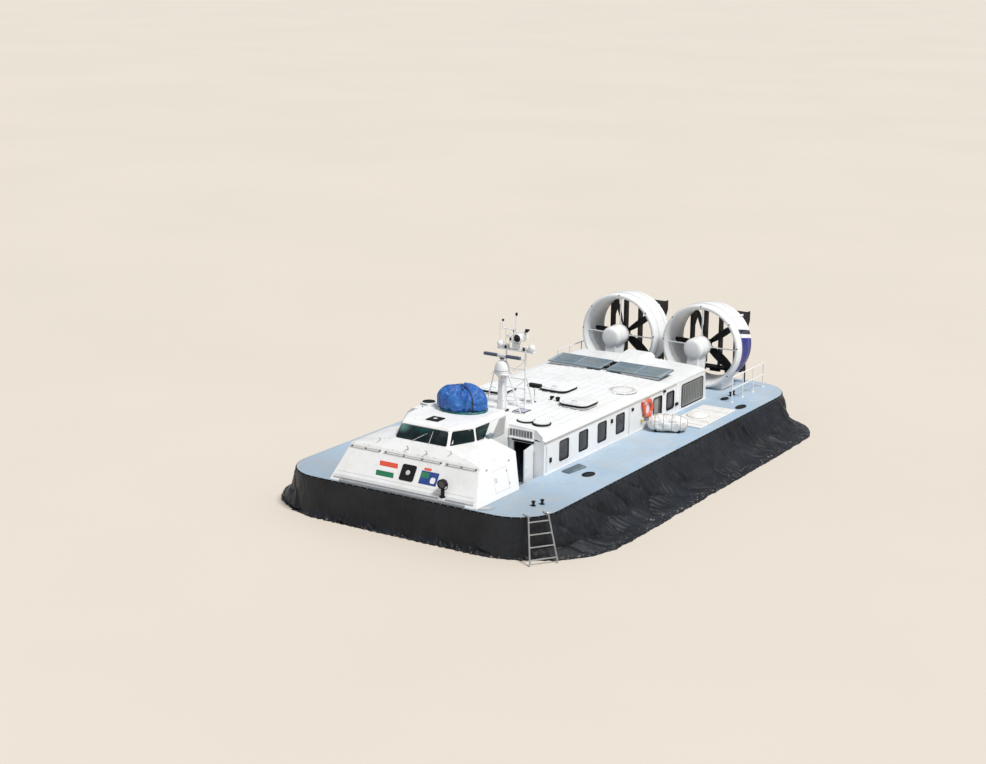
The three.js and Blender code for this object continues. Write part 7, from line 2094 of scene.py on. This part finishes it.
class HOVERCRAFT_OT_fittings(bpy.types.Operator):
    """Lifebuoy, pad, handrails, searchlight and boarding ladder"""

    bl_idname = "hovercraft.fittings"
    bl_label = "Deck fittings"

    def execute(self, context):
        low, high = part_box("lifebuoy")
        middle = (low + high) / 2
        ring = spun([(middle.x + 0.29 + 0.074 * math.cos(a / 12 * math.pi), middle.y + 0.054 * math.sin(a / 12 * math.pi), middle.z)
                     for a in range(24)], middle, (0, 1, 0), 72, closed=True)
        placed(smoothed(ring, 60), "lifebuoy_ring", finish("Lifebuoy plastic"), stands_for=("lifebuoy",))
        rope = []
        for i in range(4):
            points = []
            for j in range(7):
                angle = math.radians(45 + 90 * i + 90 * j / 6)
                radius = 0.372 + 0.022 * math.sin(math.pi * j / 6)
                points.append((middle.x + radius * math.cos(angle), middle.y + 0.012, middle.z + radius * math.sin(angle)))
            rope.append(pipe(points, 0.007, 2))
            angle = math.radians(45 + 90 * i)
            spot = middle + Vector((math.cos(angle), 0, math.sin(angle))) * 0.29
            band = spun([(0.079, -0.022, 0), (0.079, 0.022, 0), (0.072, 0.022, 0), (0.072, -0.022, 0)], (0, 0, 0), (0, 1, 0), 24, True)
            band.data.transform(Matrix.Translation(spot) @ Matrix.Rotation(-angle, 4, "Y") @ Matrix.Rotation(math.pi / 2, 4, "X")
                                @ Matrix.Diagonal((1, 1, 0.74, 1)))
            rope.append(smoothed(band))
        placed(joined(rope), "lifebuoy_line", finish("Raft tie"))

        # Low box with a canvas top and a domed cover.
        low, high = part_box("deck_box")
        pad = block((low.x + 0.01, low.y + 0.01, DECK_Z + 0.0003), (high.x - 0.01, high.y - 0.01, DECK_Z + 0.058), 0.018, 3)
        with editing(pad, "FACE"):
            pick(pad, "faces", lambda f: f.normal.z > 0.99 and f.calc_area() > 0.5)
            bpy.ops.mesh.inset(thickness=0.03)
            bpy.ops.mesh.subdivide(number_cuts=40)
        for vert in pad.data.vertices:
            if vert.co.z > DECK_Z + 0.05:
                vert.co.z += 0.006 * noise.fractal(vert.co * 2.2, 0.8, 2.0, 4)
        smoothed(pad, 50)
        dome = upright_body([(p.x, p.y) for p in eased([(0.0, 0, 0), (0.41, 0.0, 0), (0.42, 0.008, 0), (0.4, 0.045, 0),
                             (0.33, 0.085, 0), (0.22, 0.118, 0), (0.1, 0.137, 0), (0.0, 0.14, 0)], 3)], 0, 0, 56)
        dome.data.transform(Matrix.Translation((-3.7, 3.8, DECK_Z + 0.05)))
        placed(joined([pad, dome]), "deck_box_cover", finish("Pad cloth"), stands_for=("deck_box",))
        rims = [bead([(-3.7 + 0.425 * math.cos(a / 20 * math.pi), 3.8 + 0.425 * math.sin(a / 20 * math.pi), DECK_Z + 0.062)
                      for a in range(40)], 0.008)]
        for x in (-4.6, -3.05, -2.55):
            rims.append(seam([(x, low.y + 0.04, DECK_Z + 0.06), (x, high.y - 0.04, DECK_Z + 0.06)], 0.012))
        placed(joined(rims), "deck_box_seams", finish("Raft tie"))

        for name, side in SIDES:
            y, parts = side * 3.95, []
            for i in range(4):
                x = -9.3 + 2.9 * i / 3
                parts.append(rod((x, y, DECK_Z + 0.0003), (x, y, 2.42), 0.024, 14))
                parts.append(upright_body([(0.0, DECK_Z + 0.0003), (0.07, DECK_Z + 0.0003), (0.07, DECK_Z + 0.014),
                                           (0.034, DECK_Z + 0.022), (0.03, DECK_Z + 0.05), (0.0, DECK_Z + 0.05)], x, y, 20))
            for z in (1.94, 2.42):
                parts.append(rod((-9.3, y, z), (-6.4, y, z), 0.021, 14))
            for x in (-9.3, -6.4):
                parts.append(rod((x, y, 2.415), (x, y, 2.441), 0.026, 14))
            placed(joined(parts), f"handrail_{name}_finish", finish("White paint"),
                   stands_for=(f"handrail_{name}",))

        # Searchlight: a lamp drum in a fork on a small white box.
        x, y, z = 10.2, 1.58, 2.04
        box_part = block((x - 0.02, y - 0.11, DECK_Z + 0.006), (x + 0.12, y + 0.11, 1.57), 0.012)
        placed(box_part, "searchlight_base", finish("White paint"))
        drum = body_of_turns([(x - 0.12, 0.0), (x - 0.12, 0.06), (x - 0.1, 0.11), (x - 0.04, 0.146), (x + 0.09, 0.158),
                              (x + 0.1, 0.16), (x + 0.115, 0.157), (x + 0.115, 0.14), (x + 0.09, 0.136), (x + 0.09, 0.0)], y, z, 48)
        fork = pipe([(x, y - 0.172, z), (x, y - 0.172, z - 0.12), (x, y - 0.09, z - 0.2), (x, y + 0.09, z - 0.2), (x, y + 0.172, z - 0.12),
                     (x, y + 0.172, z)], 0.016)
        pins = [rod((x, y + s * 0.14, z), (x, y + s * 0.185, z), 0.028, 16) for s in (-1, 1)]
        pins += [rod((x + 0.03, y, 1.56), (x + 0.01, y, 1.87), 0.062, 20), rod((x + 0.03, y, 1.565), (x + 0.03, y, 1.63), 0.095, 20)]
        placed(smoothed(joined([drum, fork, *pins])), "searchlight_lamp", finish("Black paint"),
               stands_for=("bow_searchlight",))
        lens = body_of_turns([(x + 0.088, 0.136), (x + 0.104, 0.1), (x + 0.112, 0.0)], y, z, 40)
        placed(lens, "searchlight_lens", finish("Window glass"))

        # Boarding ladder on the port bow corner, wider at its foot.
        angle = math.radians(55)
        out, across = Vector((math.cos(angle), math.sin(angle), 0)), Vector((-math.sin(angle), math.cos(angle), 0))
        corner = Vector((DECK_BOW_X - 1.55, DECK_HALF - 1.55, 0)) + out * 1.55

        def rail(part, side):
            point = corner + out * (0.11 + 0.5 * part) + across * (side * (0.34 + 0.14 * part))
            point.z = 1.52 + (0.031 - 1.52) * part
            return point

        parts = []
        for s in (-1, 1):
            parts.append(rod(rail(0, s), rail(1, s), 0.028, 18))
            top = rail(0.03, s)
            hook = [rail(0.0, s), Vector((*(top - out * 0.04).xy, DECK_Z + 0.0543 + 0.03)), Vector((*(top - out * 0.16).xy, DECK_Z + 0.0243)),
                    Vector((*(top - out * 0.42).xy, DECK_Z + 0.0243))]
            parts.append(pipe(hook, 0.023))
            parts.append(rod(rail(0.985, s), rail(1, s), 0.036, 16))
        for i in range(4):
            part = (i + 0.6) / 4
            parts.append(rod(rail(part, -1), rail(part, 1), 0.02, 14))
            for lift in (-0.012, 0.012):
                shift = Vector((0, 0, 0.012)) + out * lift
                parts.append(rod(rail(part, -0.9) + shift, rail(part, 0.9) + shift, 0.011, 8))
        placed(joined(parts), "boarding_ladder_finish", finish("Bare metal"), stands_for=("boarding_ladder",))
        return {"FINISHED"}


OPERATORS = (
    HOVERCRAFT_OT_stage, HOVERCRAFT_OT_hull, HOVERCRAFT_OT_skirt, HOVERCRAFT_OT_bow, HOVERCRAFT_OT_wheelhouse,
    HOVERCRAFT_OT_bundles, HOVERCRAFT_OT_cabin, HOVERCRAFT_OT_roof, HOVERCRAFT_OT_casing, HOVERCRAFT_OT_ducts,
    HOVERCRAFT_OT_rudders, HOVERCRAFT_OT_masts, HOVERCRAFT_OT_fittings,
)


class HOVERCRAFT_PT_sidebar(bpy.types.Panel):
    """Lists the craft's settings and the operators that build it"""

    bl_idname = "HOVERCRAFT_PT_sidebar"
    bl_label = "Hovercraft"
    bl_space_type = "VIEW_3D"
    bl_region_type = "UI"
    bl_category = "Hovercraft"

    def draw(self, context):
        for name, group in SETTINGS:
            box = self.layout.box()
            settings = getattr(context.scene, name)
            for field in group.__annotations__:
                box.prop(settings, field)
        for item in OPERATORS:
            self.layout.operator(item.bl_idname)


def register():
    for name, group in SETTINGS:
        bpy.utils.register_class(group)
        setattr(bpy.types.Scene, name, bpy.props.PointerProperty(type=group))
    for item in (*OPERATORS, HOVERCRAFT_PT_sidebar):
        bpy.utils.register_class(item)


def unregister():
    for item in reversed((*OPERATORS, HOVERCRAFT_PT_sidebar)):
        bpy.utils.unregister_class(item)
    for name, group in reversed(SETTINGS):
        delattr(bpy.types.Scene, name)
        bpy.utils.unregister_class(group)


def main():
    register()
    make_groups()
    for item in OPERATORS:
        family, name = item.bl_idname.split(".")
        getattr(getattr(bpy.ops, family), name)()


if __name__ == "__main__":
    main()
